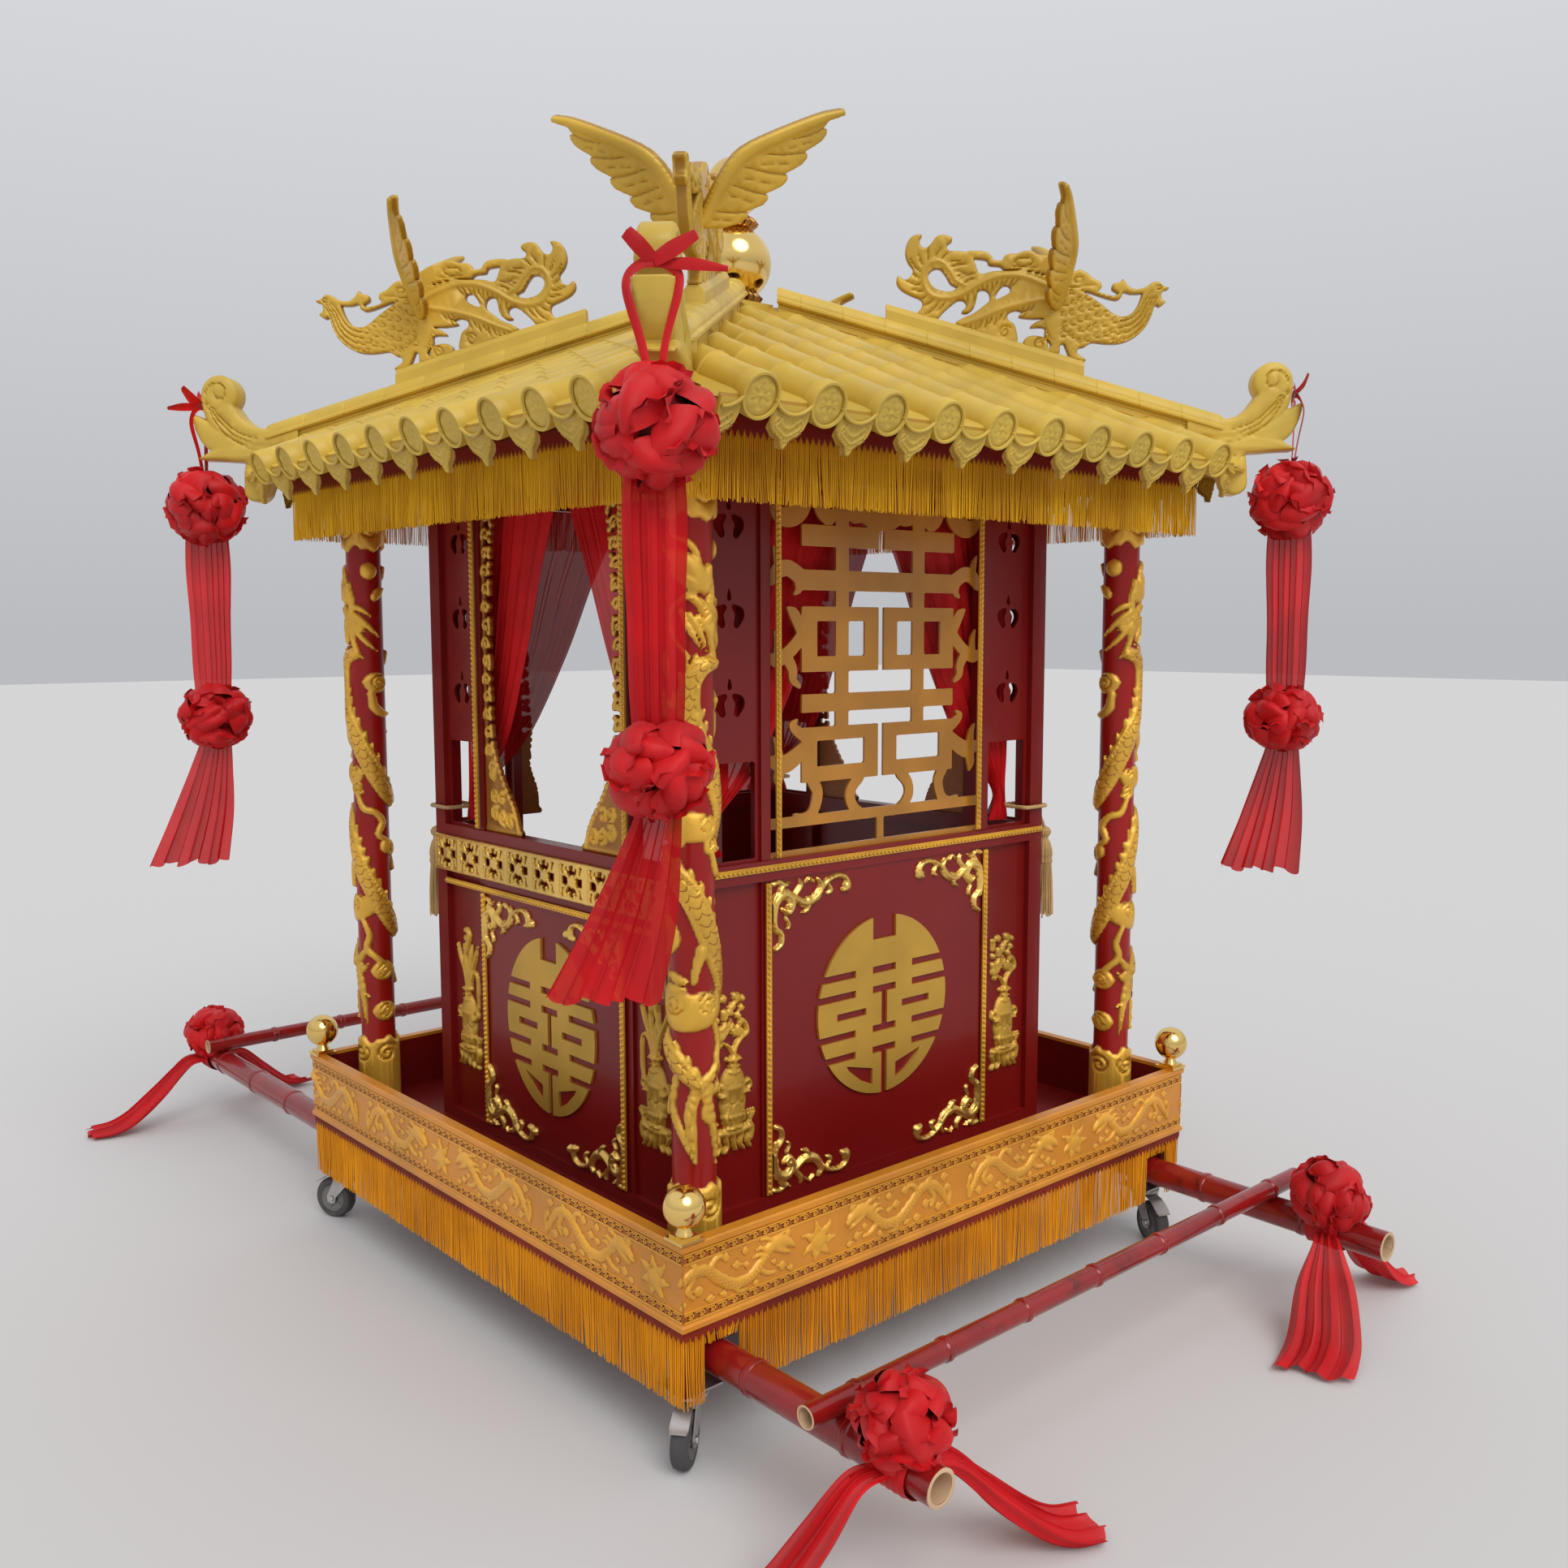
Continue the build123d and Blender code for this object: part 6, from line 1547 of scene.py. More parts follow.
def happiness_window():
    """The amber screen of the -Y window: the character, the scrolls round it and the bars below."""
    field = Field((-0.318, 0.318), (0.996, 1.749), 0.0036)
    foot = 1.0 + 0.068

    def bar(left, right, low, high):
        corners = [(left, low), (right, low), (right, high), (left, high)]
        field.polygon(np.array(corners), 0.0002, 0.001)

    for left, right, low, high in HAPPINESS:
        for side in (-1, 1):
            a, b = sorted((side * left / 1000, side * right / 1000))
            bar(a, b, foot + (low - 10) / 1000 * 0.97, foot + (high - 10) / 1000 * 0.97)
    for points, widths in SCREEN_SCROLLS:
        for side in (-1, 1):
            moved = np.array(points) / 1000 * (side, 0.97) + (0, foot - 0.010)
            field.stroke(moved, np.array(widths) / 1000, 0.0002)
    bar(-0.316, 0.316, 1.058, 1.080)
    bar(-0.316, 0.316, 1.000, 1.012)
    bar(-0.010, 0.010, 1.008, 1.062)
    field.inside = np.where(np.abs(field.U) > 0.3145, np.minimum(field.inside, 0.3145 - np.abs(field.U)),
                            field.inside)
    field.inside = np.minimum(field.inside, 1.7445 - field.V)
    field.high[:] = 0
    soup = Soup()
    field.plate(soup, lambda u, v, h: np.stack((u, -0.471 - h, v), -1), 0.0025, 1.0)
    piece("happiness_screen", soup, AMBER, "amber_screen", replaces=("rear_window_screen",), smooth=False,
          thin=1.0)


def side_screens():
    """Dark red boards with ruyi cut-outs above the sunk boards, open near the foot."""
    soup = Soup()
    for side, (out, upright, bay) in face_frames():
        left, right = upright + 0.012, bay
        middle = (left + right) / 2
        half = (right - left) / 2
        field = Field((left - 0.004, right + 0.004), (0.996, 1.749), 0.0046)
        field.polygon(np.array([(left, 1.0), (right, 1.0), (right, 1.745), (left, 1.745)]), 0.0002)
        opening = np.maximum(np.abs(field.U - middle) - (half - 0.010), np.abs(field.V - 1.102) - 0.096)
        field.inside = np.minimum(field.inside, opening)
        for z in (1.310, 1.480, 1.650):
            for sx in (-1, 1):
                field.stroke([(middle + sx * 0.018, z - 0.016), (middle + sx * 0.026, z + 0.004),
                              (middle + sx * 0.012, z + 0.016)],
                             [0.008, 0.012, 0.006], 0, cut=True)
            field.stroke([(middle, z + 0.034), (middle, z + 0.050)], [0.006, 0.002], 0, cut=True)
        field.high[:] = 0
        turn = turned(side)
        for sx in (-1, 1):
            field.plate(soup, lambda u, v, h: turn(np.stack((sx * u, -(out - 0.016) - sx * h, v), -1)),
                        0.0025, 1.0)
    piece("ruyi_screens", soup, RED_WALL, "red_lacquer", replaces=("side_screens",), smooth=False, thin=1.0)


def vine(field, centre_line, step, size, proud=0.004):
    """Alternating C-scrolls with a bud along a line of points."""
    line = smooth_line(centre_line, 10)
    gone = np.concatenate(([0], np.cumsum(np.linalg.norm(np.diff(line, axis=0), axis=1))))
    for k, at in enumerate(np.arange(step / 2, gone[-1] - step * 0.3, step)):
        x, y = (np.interp(at, gone, line[:, axis]) for axis in (0, 1))
        ax, ay = (np.interp(at + 0.004, gone, line[:, axis]) for axis in (0, 1))
        heading = math.atan2(ay - y, ax - x)
        side = 1 if k % 2 else -1
        curl = spiral((0, 0), size, side, -side * 1.9, 1.25, 16)
        c, sn = math.cos(heading), math.sin(heading)
        points = np.column_stack((x + c * curl[:, 0] - sn * curl[:, 1], y + sn * curl[:, 0] + c * curl[:, 1]))
        field.stroke(points, np.linspace(0.30, 0.16, 16) * size, proud, per=2)
        field.dome((x, y), size * 0.22, proud * 1.2)


def window_strips():
    """Openwork gilt strips beside the side windows and the doorway, flaring at the foot."""
    fields = []
    for half, reach in ((0.273, 0.150), (0.315, 0.060)):
        field = Field((half - reach - 0.006, half + 0.004), (0.998, 1.749), 0.0048)
        edge = [(half - reach + 0.008, 1.008), (half - reach * 0.80, 1.060), (half - reach * 0.48, 1.125),
                (half - 0.036, 1.200), (half - 0.030, 1.300), (half - 0.030, 1.420), (half - 0.034, 1.560),
                (half - 0.042, 1.650), (half - 0.058, 1.740)]
        field.polygon([(half - reach, 1.002), (half - 0.002, 1.002), (half - 0.002, 1.745),
                       (half - 0.012, 1.745), (half - 0.014, 1.200), (half - 0.036, 1.200),
                       (half - reach * 0.48, 1.125), (half - reach * 0.80, 1.060)], 0.0005)
        field.stroke([(half - reach, 1.006), (half - 0.004, 1.006)], [0.007, 0.007], 0.002)
        line = smooth_line(edge, 10)
        for k in range(0, len(line), 2):
            field.dome(line[k], 0.0075, 0.004)
        middle = [((x + half - 0.006) / 2, z) for x, z in edge[2:]]
        vine(field, middle, 0.040, 0.0165)
        vine(field, [(half - reach * 0.84, 1.026), (half - reach * 0.45, 1.040), (half - 0.016, 1.048)],
             0.032, 0.017, proud=0.008)
        vine(field, [(half - reach * 0.60, 1.074), (half - reach * 0.34, 1.084), (half - 0.014, 1.092)],
             0.030, 0.015, proud=0.008)
        vine(field, [(half - reach * 0.36, 1.124), (half - 0.014, 1.136)], 0.028, 0.013, proud=0.008)
        field.inside = np.minimum(field.inside, 1.7448 - field.V)
        field.inside = np.minimum(field.inside, half - 0.0002 - field.U)
        fields.append(field)
    whole = Soup()
    for side, kind in ((1, 0), (3, 0), (2, 1)):
        out = (FACE_X if side % 2 else FACE_Y) - 0.016
        turn = turned(side)
        one = Soup()
        fields[kind].plate(one, lambda u, v, h: np.stack((u, -out - h, v), -1), 0.0035, 0.12, True)
        for sx in (-1, 1):
            whole.merge(one, lambda p: turn(p * (sx, 1, 1)), flip=sx < 0)
    piece("window_strips", whole, GILT, "gilt_relief", replaces=("window_fretwork",), sharp=70, thin=3.0)


def pierced_bands():
    """Nine square openwork panels with scrolls and a flower, under each side window."""
    pitch, middle = 0.950 / 9, 0.933
    field = Field((-0.477, 0.477), (0.889, 0.977), 0.0034)
    for z in (0.8955, 0.9705):
        field.stroke([(-0.475, z), (0.475, z)], [0.0045, 0.0045], 0.003, per=40)
    for k in range(9):
        x = (k - 4) * pitch
        for edge in (-0.47, 0.47):
            field.stroke([(x + edge * pitch, 0.894), (x + edge * pitch, 0.972)], [0.004, 0.004], 0.003)
        for edge in (-0.40, 0.40):
            field.stroke([(x + edge * pitch, 0.902), (x + edge * pitch, 0.964)], [0.0028, 0.0028], 0.002)
        field.dome((x, middle), 0.014, 0.006, petals=5, dip=0.4)
        for sx, sz in ((-1, -1), (-1, 1), (1, -1), (1, 1)):
            points = [(x + sx * 0.004, middle + sz * 0.006), (x + sx * 0.020, middle + sz * 0.014),
                      (x + sx * 0.026, middle + sz * 0.028), (x + sx * 0.014, middle + sz * 0.034),
                      (x + sx * 0.010, middle + sz * 0.024)]
            field.stroke(points, [0.003, 0.0042, 0.0042, 0.0036, 0.003], 0.004)
            field.stroke([(x + sx * 0.020, middle + sz * 0.014), (x + sx * 0.036, middle + sz * 0.012),
                          (x + sx * 0.040, middle + sz * 0.026)],
                         [0.003, 0.0035, 0.003], 0.0035)
    whole = Soup()
    for side in (1, 3):
        turn = turned(side)
        field.plate(whole, lambda u, v, h: turn(np.stack((u, -(FACE_X + 0.005) - h, v), -1)), 0.003, 0.4,
                    True)
    piece("pierced_scroll_bands", whole, GILT_BRIGHT, "gilt_relief", replaces=("pierced_bands",), sharp=70,
          thin=3.0)


# Apron

# The creeping dragon, tail at the left and head at the right, in millimetres.
# columns: points, half widths, how far proud
CREEPING_DRAGON = [
    ([(4, -34), (20, -8), (46, 20), (84, 23), (116, -2), (150, -23), (188, -21), (214, 0), (236, 18)],
     [3, 7, 9, 10, 11, 11, 10, 9, 8], 6),
    ([(228, 18), (252, 25), (276, 18), (290, 6)], [10, 13, 9, 3], 7),
    ([(248, 13), (268, 3), (280, -3)], [6, 5, 2], 6),
    ([(244, 30), (222, 39), (202, 36)], [4, 3, 1], 5),
    ([(232, 8), (214, 24), (196, 22)], [5, 4, 1], 5),
    ([(226, 2), (206, 14), (190, 10)], [4, 4, 1], 5),
    ([(96, 14), (106, 34), (124, 38)], [5, 5, 3], 5),
    ([(150, -28), (160, -40), (180, -40)], [5, 4, 3], 5),
    ([(60, 14), (48, -6), (60, -22)], [5, 5, 3], 5),
    ([(208, -12), (224, -26), (244, -30)], [6, 5, 3], 5),
    ([(6, -30), (2, -8), (10, 14)], [4, 4, 2], 5),
]
# columns: place along and across, radius of the clouds round it
APRON_CLOUDS = [(20, 30, 9), (36, -28, 9), (72, -12, 10), (132, 31, 9), (156, 10, 9), (176, 31, 8),
                (98, -34, 9), (262, -24, 9), (282, -34, 7), (128, -35, 7), (10, 6, 7), (178, 4, 7),
                (276, 36, 7), (200, -37, 7), (64, 36, 6), (242, -10, 6)]


def apron_field(shift):
    """The carving of one apron board: suns between dragons that face them, with clouds."""
    field = Field((-0.747, 0.747), (0.297, 0.383), 0.0039)
    for period in range(-2, 3):
        sun = -0.432 + shift + period * 0.7635
        if abs(sun) < 0.80:
            field.dome((sun, 0.337), 0.018, 0.0065)
            for k in range(14):
                a = k * TAU / 14 + 0.12
                far = 0.038 + (0.008 if k % 2 else 0) + (0.006 if math.sin(a) > 0.3 else 0)
                bend = a + (0.35 if k % 2 else -0.25)
                points = [(sun + r * math.cos(b), 0.337 + r * math.sin(b) * 0.93) for r,
                          b in ((0.021, a), (0.030, (a + bend) / 2), (far, bend))]
                field.stroke(points, [0.0042, 0.0036, 0.0006], 0.0045, per=4)
        for heads_right, near in ((True, sun - 0.060), (False, sun + 0.068)):
            sign = 1 if heads_right else -1
            tail = near - sign * 0.292
            if min(near, tail) > 0.80 or max(near, tail) < -0.80:
                continue
            for index, (points, widths, proud) in enumerate(CREEPING_DRAGON):
                moved = [(tail + sign * x / 1000, 0.340 + z * 0.00098) for x, z in points]
                scales = 0.0 if index else 0.0075
                field.stroke(moved, np.array(widths) / 1000, proud / 1000, per=5, sharp=0.45, scales=scales)
            for x, z, radius in APRON_CLOUDS:
                centre = (tail + sign * x / 1000, 0.340 + z * 0.00098)
                field.dome(centre, radius / 1000, 0.0042, petals=4, dip=0.5)
                field.stroke([centre, (centre[0] - sign * radius * 0.0017, centre[1] + 0.004)],
                             [0.003, 0.0015], 0.003, per=3)
    field.inside = np.minimum(field.inside, 0.7465 - np.abs(field.U))
    field.high = np.where(np.abs(field.U) > 0.7462, -0.02, field.high)
    return field


def frets():
    """The key-fret borders above and below the carved strip: bars of one unit, repeated."""
    unit, count = 0.024, 62
    half = unit * count / 2
    bars = []
    for k in range(count):
        x = -half + k * unit
        bars += [(x, x + 0.0205, 0.0115, 0.0137), (x + 0.0183, x + 0.0205, 0.0034, 0.0137),
                 (x + 0.0075, x + 0.0205, 0.0034, 0.0056), (x + 0.0075, x + 0.0097, 0.0034, 0.0092),
                 (x + 0.0075, x + 0.0150, 0.0070, 0.0092)]
    bars += [(-half, half, -0.0016, 0.0012), (-half, half, 0.0152, 0.0176)]
    return np.array(bars)


def aprons():
    """The carvings of the four apron boards between their key-fret borders, with a strip of painted shade
    behind each border.
    """
    carving, fret, fret_shade = Soup(), Soup(), Soup()
    fields = {shift: apron_field(shift) for shift in (0.0, 0.336)}
    bars = frets()
    for side in range(4):
        turn = turned(side)

        def place(u, v, high):
            return turn(np.stack((u, -APRON_FACE - high, v), -1).reshape(-1, 3))

        fields[0.336 if side % 2 else 0.0].relief(carving, place, 0.0008, 0.0045)
        for foot in (0.2805, 0.3840):
            flat_bars(fret, bars + (0, 0, foot, foot), place, 0.0016)
            # A flat strip at tone 0 behind each fret border: painted shade, in the recess colour, in the gaps
            # between the bars.
            corners = np.array([(-0.746, foot - 0.001), (0.746, foot - 0.001), (0.746, foot + 0.0170),
                                (-0.746, foot + 0.0170)])
            fret_shade.add(place(corners[:, 0], corners[:, 1], np.full(4, 0.0003)), [np.array([(0, 1, 2, 3)])], 0.0)
    piece("apron_dragons", carving, APRON_RELIEF, "gilt_relief", sharp=0, thin=3.0)
    piece("apron_frets", fret, APRON_RELIEF, "gilt_relief", sharp=30)
    piece("apron_fret_shade", fret_shade, APRON_RELIEF, "gilt_relief", sharp=0)


# Cloth flowers, ribbons and curtains


def ruffled_ball(soup, centre, radius, seed, count=46, squash=1.0):
    """Gathered cloth: puffs pinched at both ends and open cups, facing out all over a ball."""
    pick = np.random.default_rng(seed)
    centre = np.asarray(centre, float)
    golden = math.pi * (3 - math.sqrt(5))
    u = np.linspace(-1, 1, 9)[:, None]
    v = np.linspace(0, 1, 8)[None, :]
    faces = grid_faces(9, 8)
    a = np.linspace(0, TAU, 14, endpoint=False)
    b = np.linspace(0.15, math.pi - 0.15, 9)[:, None]
    # A dark core ball, all in painted shade, fills the gaps between the puffs.
    shaded_core = np.stack((np.sin(b) * np.cos(a), np.sin(b) * np.sin(a), np.cos(b) + 0 * a), -1) * radius * 0.60
    soup.add(centre + shaded_core.reshape(-1, 3), [grid_faces(9, 14, False, True)[:, ::-1]], 0.0)
    for k in range(count):
        up = 1 - 2 * (k + 0.5) / count
        turn = k * golden + pick.uniform(-0.25, 0.25)
        flat = math.sqrt(1 - up * up)
        n = np.array((flat * math.cos(turn), flat * math.sin(turn), up))
        n = n + pick.uniform(-0.16, 0.16, 3)
        n /= np.linalg.norm(n)
        t = np.cross(n, pick.normal(size=3))
        t /= np.linalg.norm(t)
        b = np.cross(n, t)
        wide, long, high = radius * pick.uniform(0.34, 0.50), radius * pick.uniform(0.55,
                                                                                    0.85), pick.uniform(0.34,
                                                                                                        0.44)
        phase, lean = pick.uniform(0, TAU), pick.uniform(-0.5, 0.5)
        swell = np.sin(math.pi * v) ** 0.75
        if k % 3:
            pinch = 0.22 + 0.78 * swell
            rise = 0.56 + high * swell * (1 - 0.45 * u**2)
            wrinkle = 0.5 - np.abs(np.sin(1.9 * math.pi * u + phase))
            rise = rise + 0.07 * wrinkle * (0.25 + 0.75 * (1 - swell))
            shift = (v - 0.5) * long
        else:
            pinch = 0.25 + 0.85 * v**0.7
            rise = 0.52 + 0.46 * v**0.8 - 0.10 * u**2 * v
            rise = rise + 0.07 * (0.5 - np.abs(np.sin(2.1 * math.pi * u + phase))) * v
            shift = (0.10 + 0.22 * np.cos(1.6 * u + 0.4) * v
                     + 0.10 * np.sin(2.6 * math.pi * u + phase) * v) * long
        across = u * wide * pinch
        shift = shift + lean * radius * (rise - 0.56) + 0.05 * radius * np.sin(2 * math.pi * v + phase) * u
        points = n * (rise * radius)[..., None] + t * across[..., None] + b * (shift + 0 * u)[..., None]
        gone = np.linalg.norm(points, axis=-1, keepdims=True)
        points *= np.minimum(1, radius / gone)
        # Painted shade: the tone falls towards the middle of the ball.
        tone = np.clip((np.minimum(gone[..., 0], radius) / radius - 0.52) / 0.40, 0, 1)
        points = points.reshape(-1, 3)
        points[:, 2] *= squash
        soup.add(centre + points, [faces], tone.ravel())


def pleated(soup, rows, folds, columns, place, seed):
    """A strip of cloth in soft folds. columns of a row: across, out, height of its middle, half width,
    depth of its folds."""
    rows = smooth_line(rows, 7)
    pick = random.Random(seed)
    u = np.linspace(-1, 1, columns)
    warp = [pick.uniform(0, TAU) for _ in range(4)]
    s = np.linspace(0, 1, len(rows))[:, None]
    wave = math.pi * folds * u[None] + 0.9 * np.sin(2.3 * u[None] + warp[0]) + 0.8 * np.sin(3 * s + warp[1])
    fold = np.sin(wave) + 0.25 * np.sin(2.1 * wave + warp[2])
    across = rows[:, :1] + rows[:, 3:4] * (u[None] + 0.28 / folds * np.sin(2 * wave))
    out = rows[:, 1:2] + rows[:, 4:5] * fold * 0.85
    high = rows[:, 2:3] + s**6 * 0.006 * (np.sin(9 * u[None] + warp[3]) + 0.6 * np.sin(23 * u[None]))
    points = np.stack((across, out, high), -1).reshape(-1, 3)
    tone = np.clip(0.80 + 0.20 * fold, 0, 1)
    soup.add(place(points), [grid_faces(len(rows), columns)], tone.ravel())


# The wind drifts all four tails to the same side.
# columns: name, corner in X, corner in Y, turn of the ribbon from square to the corner, drift of the hem
HANGING_BOWS = [
    ("left_rear", -1, -1, 0, 0.095), ("left_front", -1, 1, 115, 0.075),
    ("right_front", 1, 1, 180, 0.060), ("right_rear", 1, -1, -106, 0.045),
]


def hanging_bows():
    """Two cloth flowers on a ribbon under each roof corner."""
    for k, (name, sx, sy, facing, drift) in enumerate(HANGING_BOWS):
        corner = math.atan2(sy, sx)
        turn = corner - math.pi / 2 + math.radians(facing)
        across = (math.cos(turn), math.sin(turn), 0)
        normal = (-math.sin(turn), math.cos(turn), 0)
        x, y = sx * BOW_AT, sy * BOW_AT
        place = framed((x, y, 0), across, normal, (0, 0, 1))
        strip = Soup()
        rows = [(0, 0, 1.700, 0.046, 0.007), (0, 0, 1.600, 0.050, 0.007), (0, 0, 1.480, 0.045, 0.007),
                (0, 0, 1.360, 0.043, 0.007), (0, 0, 1.250, 0.036, 0.008), (0, 0, 1.195, 0.034, 0.008),
                (drift * 0.16, 0, 1.130, 0.046, 0.009), (drift * 0.50, 0, 1.020, 0.068, 0.010),
                (drift, 0, 0.895, 0.088, 0.009)]
        pleated(strip, rows, 3.4, 46, place, 20 + k)
        ribbon = piece(f"bow_ribbon_{name}", strip, SHEER, "red_cloth", sharp=0)
        flower = Soup()
        ruffled_ball(flower, (x, y, 1.745), 0.097, 30 + k, 52)
        ruffled_ball(flower, (x, y, 1.250), 0.090, 40 + k, 46, squash=0.92)
        tie_bands(flower, corner)
        flowers = piece(f"bow_flowers_{name}", flower, CLOTH, "red_cloth", sharp=0,
                        replaces=(f"hanging_bow_{name}",))


def tie_bands(soup, corner):
    """Two narrow bands from the flower over the scroll's front lobe, knotted on top with loose ends."""
    c, s = math.cos(corner), math.sin(corner)

    def place(p):
        return np.stack((p[:, 0] * c + p[:, 1] * s, p[:, 0] * s - p[:, 1] * c, p[:, 2]), 1)

    # columns: out along the corner's line, sideways, height, half width
    routes = [
        [(1.262, 0.008, 1.815, 0.006), (1.266, 0.020, 1.870, 0.007), (1.272, 0.037, 1.930, 0.007),
         (1.266, 0.036, 1.958, 0.007), (1.262, 0.018, 1.974, 0.008), (1.260, 0.0, 1.978, 0.009)],
        [(1.262, -0.008, 1.815, 0.006), (1.266, -0.018, 1.870, 0.006), (1.272, -0.036, 1.930, 0.007),
         (1.266, -0.036, 1.958, 0.007), (1.262, -0.018, 1.974, 0.008), (1.260, 0.0, 1.978, 0.009)],
        [(1.262, 0.0, 1.978, 0.010), (1.272, -0.030, 1.992, 0.013), (1.276, -0.064, 2.010, 0.008)],
        [(1.262, 0.0, 1.978, 0.010), (1.276, 0.018, 1.996, 0.012), (1.280, 0.036, 2.014, 0.010)],
        [(1.262, -0.02, 1.974, 0.008), (1.280, -0.060, 1.968, 0.009), (1.290, -0.110, 1.958, 0.004)],
    ]
    for route in routes:
        line = smooth_line(route, 6)
        path, half = line[:, :3], line[:, 3:]
        ahead = np.gradient(path, axis=0)
        ahead /= np.linalg.norm(ahead, axis=1, keepdims=True)
        side = np.cross(ahead, (1.0, 0.25, 0.1))
        side /= np.linalg.norm(side, axis=1, keepdims=True)
        rows = np.stack((path - side * half, path - side * half * 0.1 + (0.003, 0, 0.001),
                         path + side * half), 1)
        soup.add(place(rows.reshape(-1, 3)), [grid_faces(len(line), 3)], 0.8)


# columns: name, side, place along Y, tails as (direction in degrees from +X, reach, half width)
POLE_BOWS = [
    ("left_rear", -1, -1.172, [(166, 0.355, 0.052), (-21, 0.365, 0.050)]),
    ("right_rear", 1, -1.172, [(205, 0.330, 0.070), (-6, 0.300, 0.050)]),
    ("left_front", -1, 1.672, [(172, 0.370, 0.052), (25, 0.370, 0.050)]),
    ("right_front", 1, 1.625, [(8, 0.370, 0.052), (155, 0.370, 0.050)]),
]


def pole_bows():
    """A cloth flower near each end of the carrying poles, with two tails down to the floor."""
    for k, (name, side, y, tails) in enumerate(POLE_BOWS):
        flower = Soup()
        centre = (side * POLE_X, y, POLE_Z)
        ruffled_ball(flower, (centre[0], centre[1], 0.258), 0.086, 60 + k, 48, squash=0.95)
        # a wrap of creased cloth round the pole
        along = np.linspace(-0.040, 0.040, 17)
        round_it = np.linspace(0, TAU, 40, endpoint=False)
        pick = random.Random(70 + k)
        sway = 1.5 * np.sin(round_it + pick.uniform(0, 6))[None]
        crease = 0.0375 + 0.0022 * np.sin(along[:, None] * 420 + sway)
        crease = crease - 0.0028 * (np.abs(along[:, None]) / 0.040) ** 6
        wrap = np.stack((crease * np.cos(round_it), along[:, None] * (1 + 0.08 * np.cos(round_it)),
                         crease * np.sin(round_it)), -1)
        flower.add(np.array(centre) + wrap.reshape(-1, 3), [grid_faces(17, 40, False, True)], 0.75)
        flowers = piece(f"pole_flower_{name}", flower, CLOTH, "red_cloth", sharp=0,
                        replaces=("pole_bows",) if k == 0 else ())
        cloth = Soup()
        for number, (direction, reach, half) in enumerate(tails):
            a = math.radians(direction)
            forward, across = (math.cos(a), math.sin(a), 0), (-math.sin(a), math.cos(a), 0)
            place = framed((centre[0], centre[1], 0), across, forward, (0, 0, 1))
            floor_tail(cloth, reach, half, place, 80 + 2 * k + number)
        tail = piece(f"pole_tails_{name}", cloth, SHEER, "red_cloth", sharp=0)


def floor_tail(soup, reach, half, place, seed):
    """A tail of soft cloth from the wrap out and down on to the floor."""
    # columns: across, out, height, half width, depth of the folds
    rows = smooth_line([(0, 0.034, 0.186, 0.022, 0.006), (0, 0.085, 0.176, 0.030, 0.009),
                        (0, reach * 0.42, 0.112, 0.80 * half, 0.012),
                        (0.004, reach * 0.64, 0.046, 0.96 * half, 0.012),
                        (0, reach * 0.80, 0.019, 1.02 * half, 0.009),
                        (-0.004, reach * 0.97, 0.013, 1.05 * half, 0.007)], 7)
    pick = random.Random(seed)
    u = np.linspace(-1, 1, 40)[None]
    s = np.linspace(0, 1, len(rows))[:, None]
    warp = [pick.uniform(0, TAU) for _ in range(4)]
    wave = math.pi * 3.4 * u + 1.1 * np.sin(2.1 * u + warp[0]) + 1.3 * np.sin(2.5 * s + warp[1])
    fold = np.sin(wave) + 0.3 * np.sin(2.3 * wave + warp[2])
    ahead = np.gradient(rows[:, 1:3], axis=0)
    ahead /= np.linalg.norm(ahead, axis=1, keepdims=True)
    off = rows[:, 4:5] * fold
    across = rows[:, :1] + rows[:, 3:4] * (u + 0.07 * np.sin(2 * wave)) + 0.010 * np.sin(4 * s + warp[3]) * s
    out = rows[:, 1:2] - off * ahead[:, 1:2] + s**5 * 0.010 * (np.sin(4 * u + warp[3]) - 1)
    high = np.maximum(rows[:, 2:3] + off * ahead[:, :1], 0.0015 + 0.0010 * (1 + np.sin(3 * wave)))
    points = np.stack((across, out, high), -1).reshape(-1, 3)
    soup.add(place(points), [grid_faces(len(rows), 40)], np.clip(0.7 + 0.3 * fold, 0, 1).ravel())


def curtain_half(soup, window_half, post, place, seed):
    """One half of a parted curtain, gathered to the tie at the corner post, with a short tail under it."""
    low, high = 1.004, 1.741
    tie = low + 0.070
    inner = smooth_line([(0.014, high), (window_half * 0.30, tie + 0.505), (window_half * 0.56, tie + 0.318),
                         (window_half - 0.028, tie + 0.120), (post - 0.046, tie + 0.008),
                         (post - 0.062, low + 0.006)], 8)
    outer = smooth_line([(post - 0.003, high), (post - 0.003, tie + 0.505), (post - 0.004, tie + 0.318),
                         (post - 0.006, tie + 0.120), (post - 0.014, tie + 0.006),
                         (post - 0.002, low + 0.004)], 8)
    pick = random.Random(seed)
    warp = [pick.uniform(0, TAU) for _ in range(3)]
    u = np.linspace(0, 1, 61)[None]
    s = np.linspace(0, 1, len(inner))[:, None]
    wave = TAU * 8 * u + 0.9 * np.sin(5 * u + warp[0]) + 1.2 * np.sin(3 * s + warp[1])
    width = np.abs(outer[:, :1] - inner[:, :1])
    across = inner[:, :1] * (1 - u) + outer[:, :1] * u + width * 0.012 * np.sin(2 * wave)
    deep = 0.0058 + 0.0018 * np.sin(6 * s + warp[2])
    out = deep * (np.sin(wave) + 0.2 * np.sin(2.2 * wave + warp[2]))
    up = inner[:, 1:] * (1 - u) + outer[:, 1:] * u
    points = np.stack((across, out, up), -1).reshape(-1, 3)
    soup.add(place(points), [grid_faces(len(inner), 61)], np.clip(0.6 + 0.4 * np.sin(wave), 0, 1).ravel())


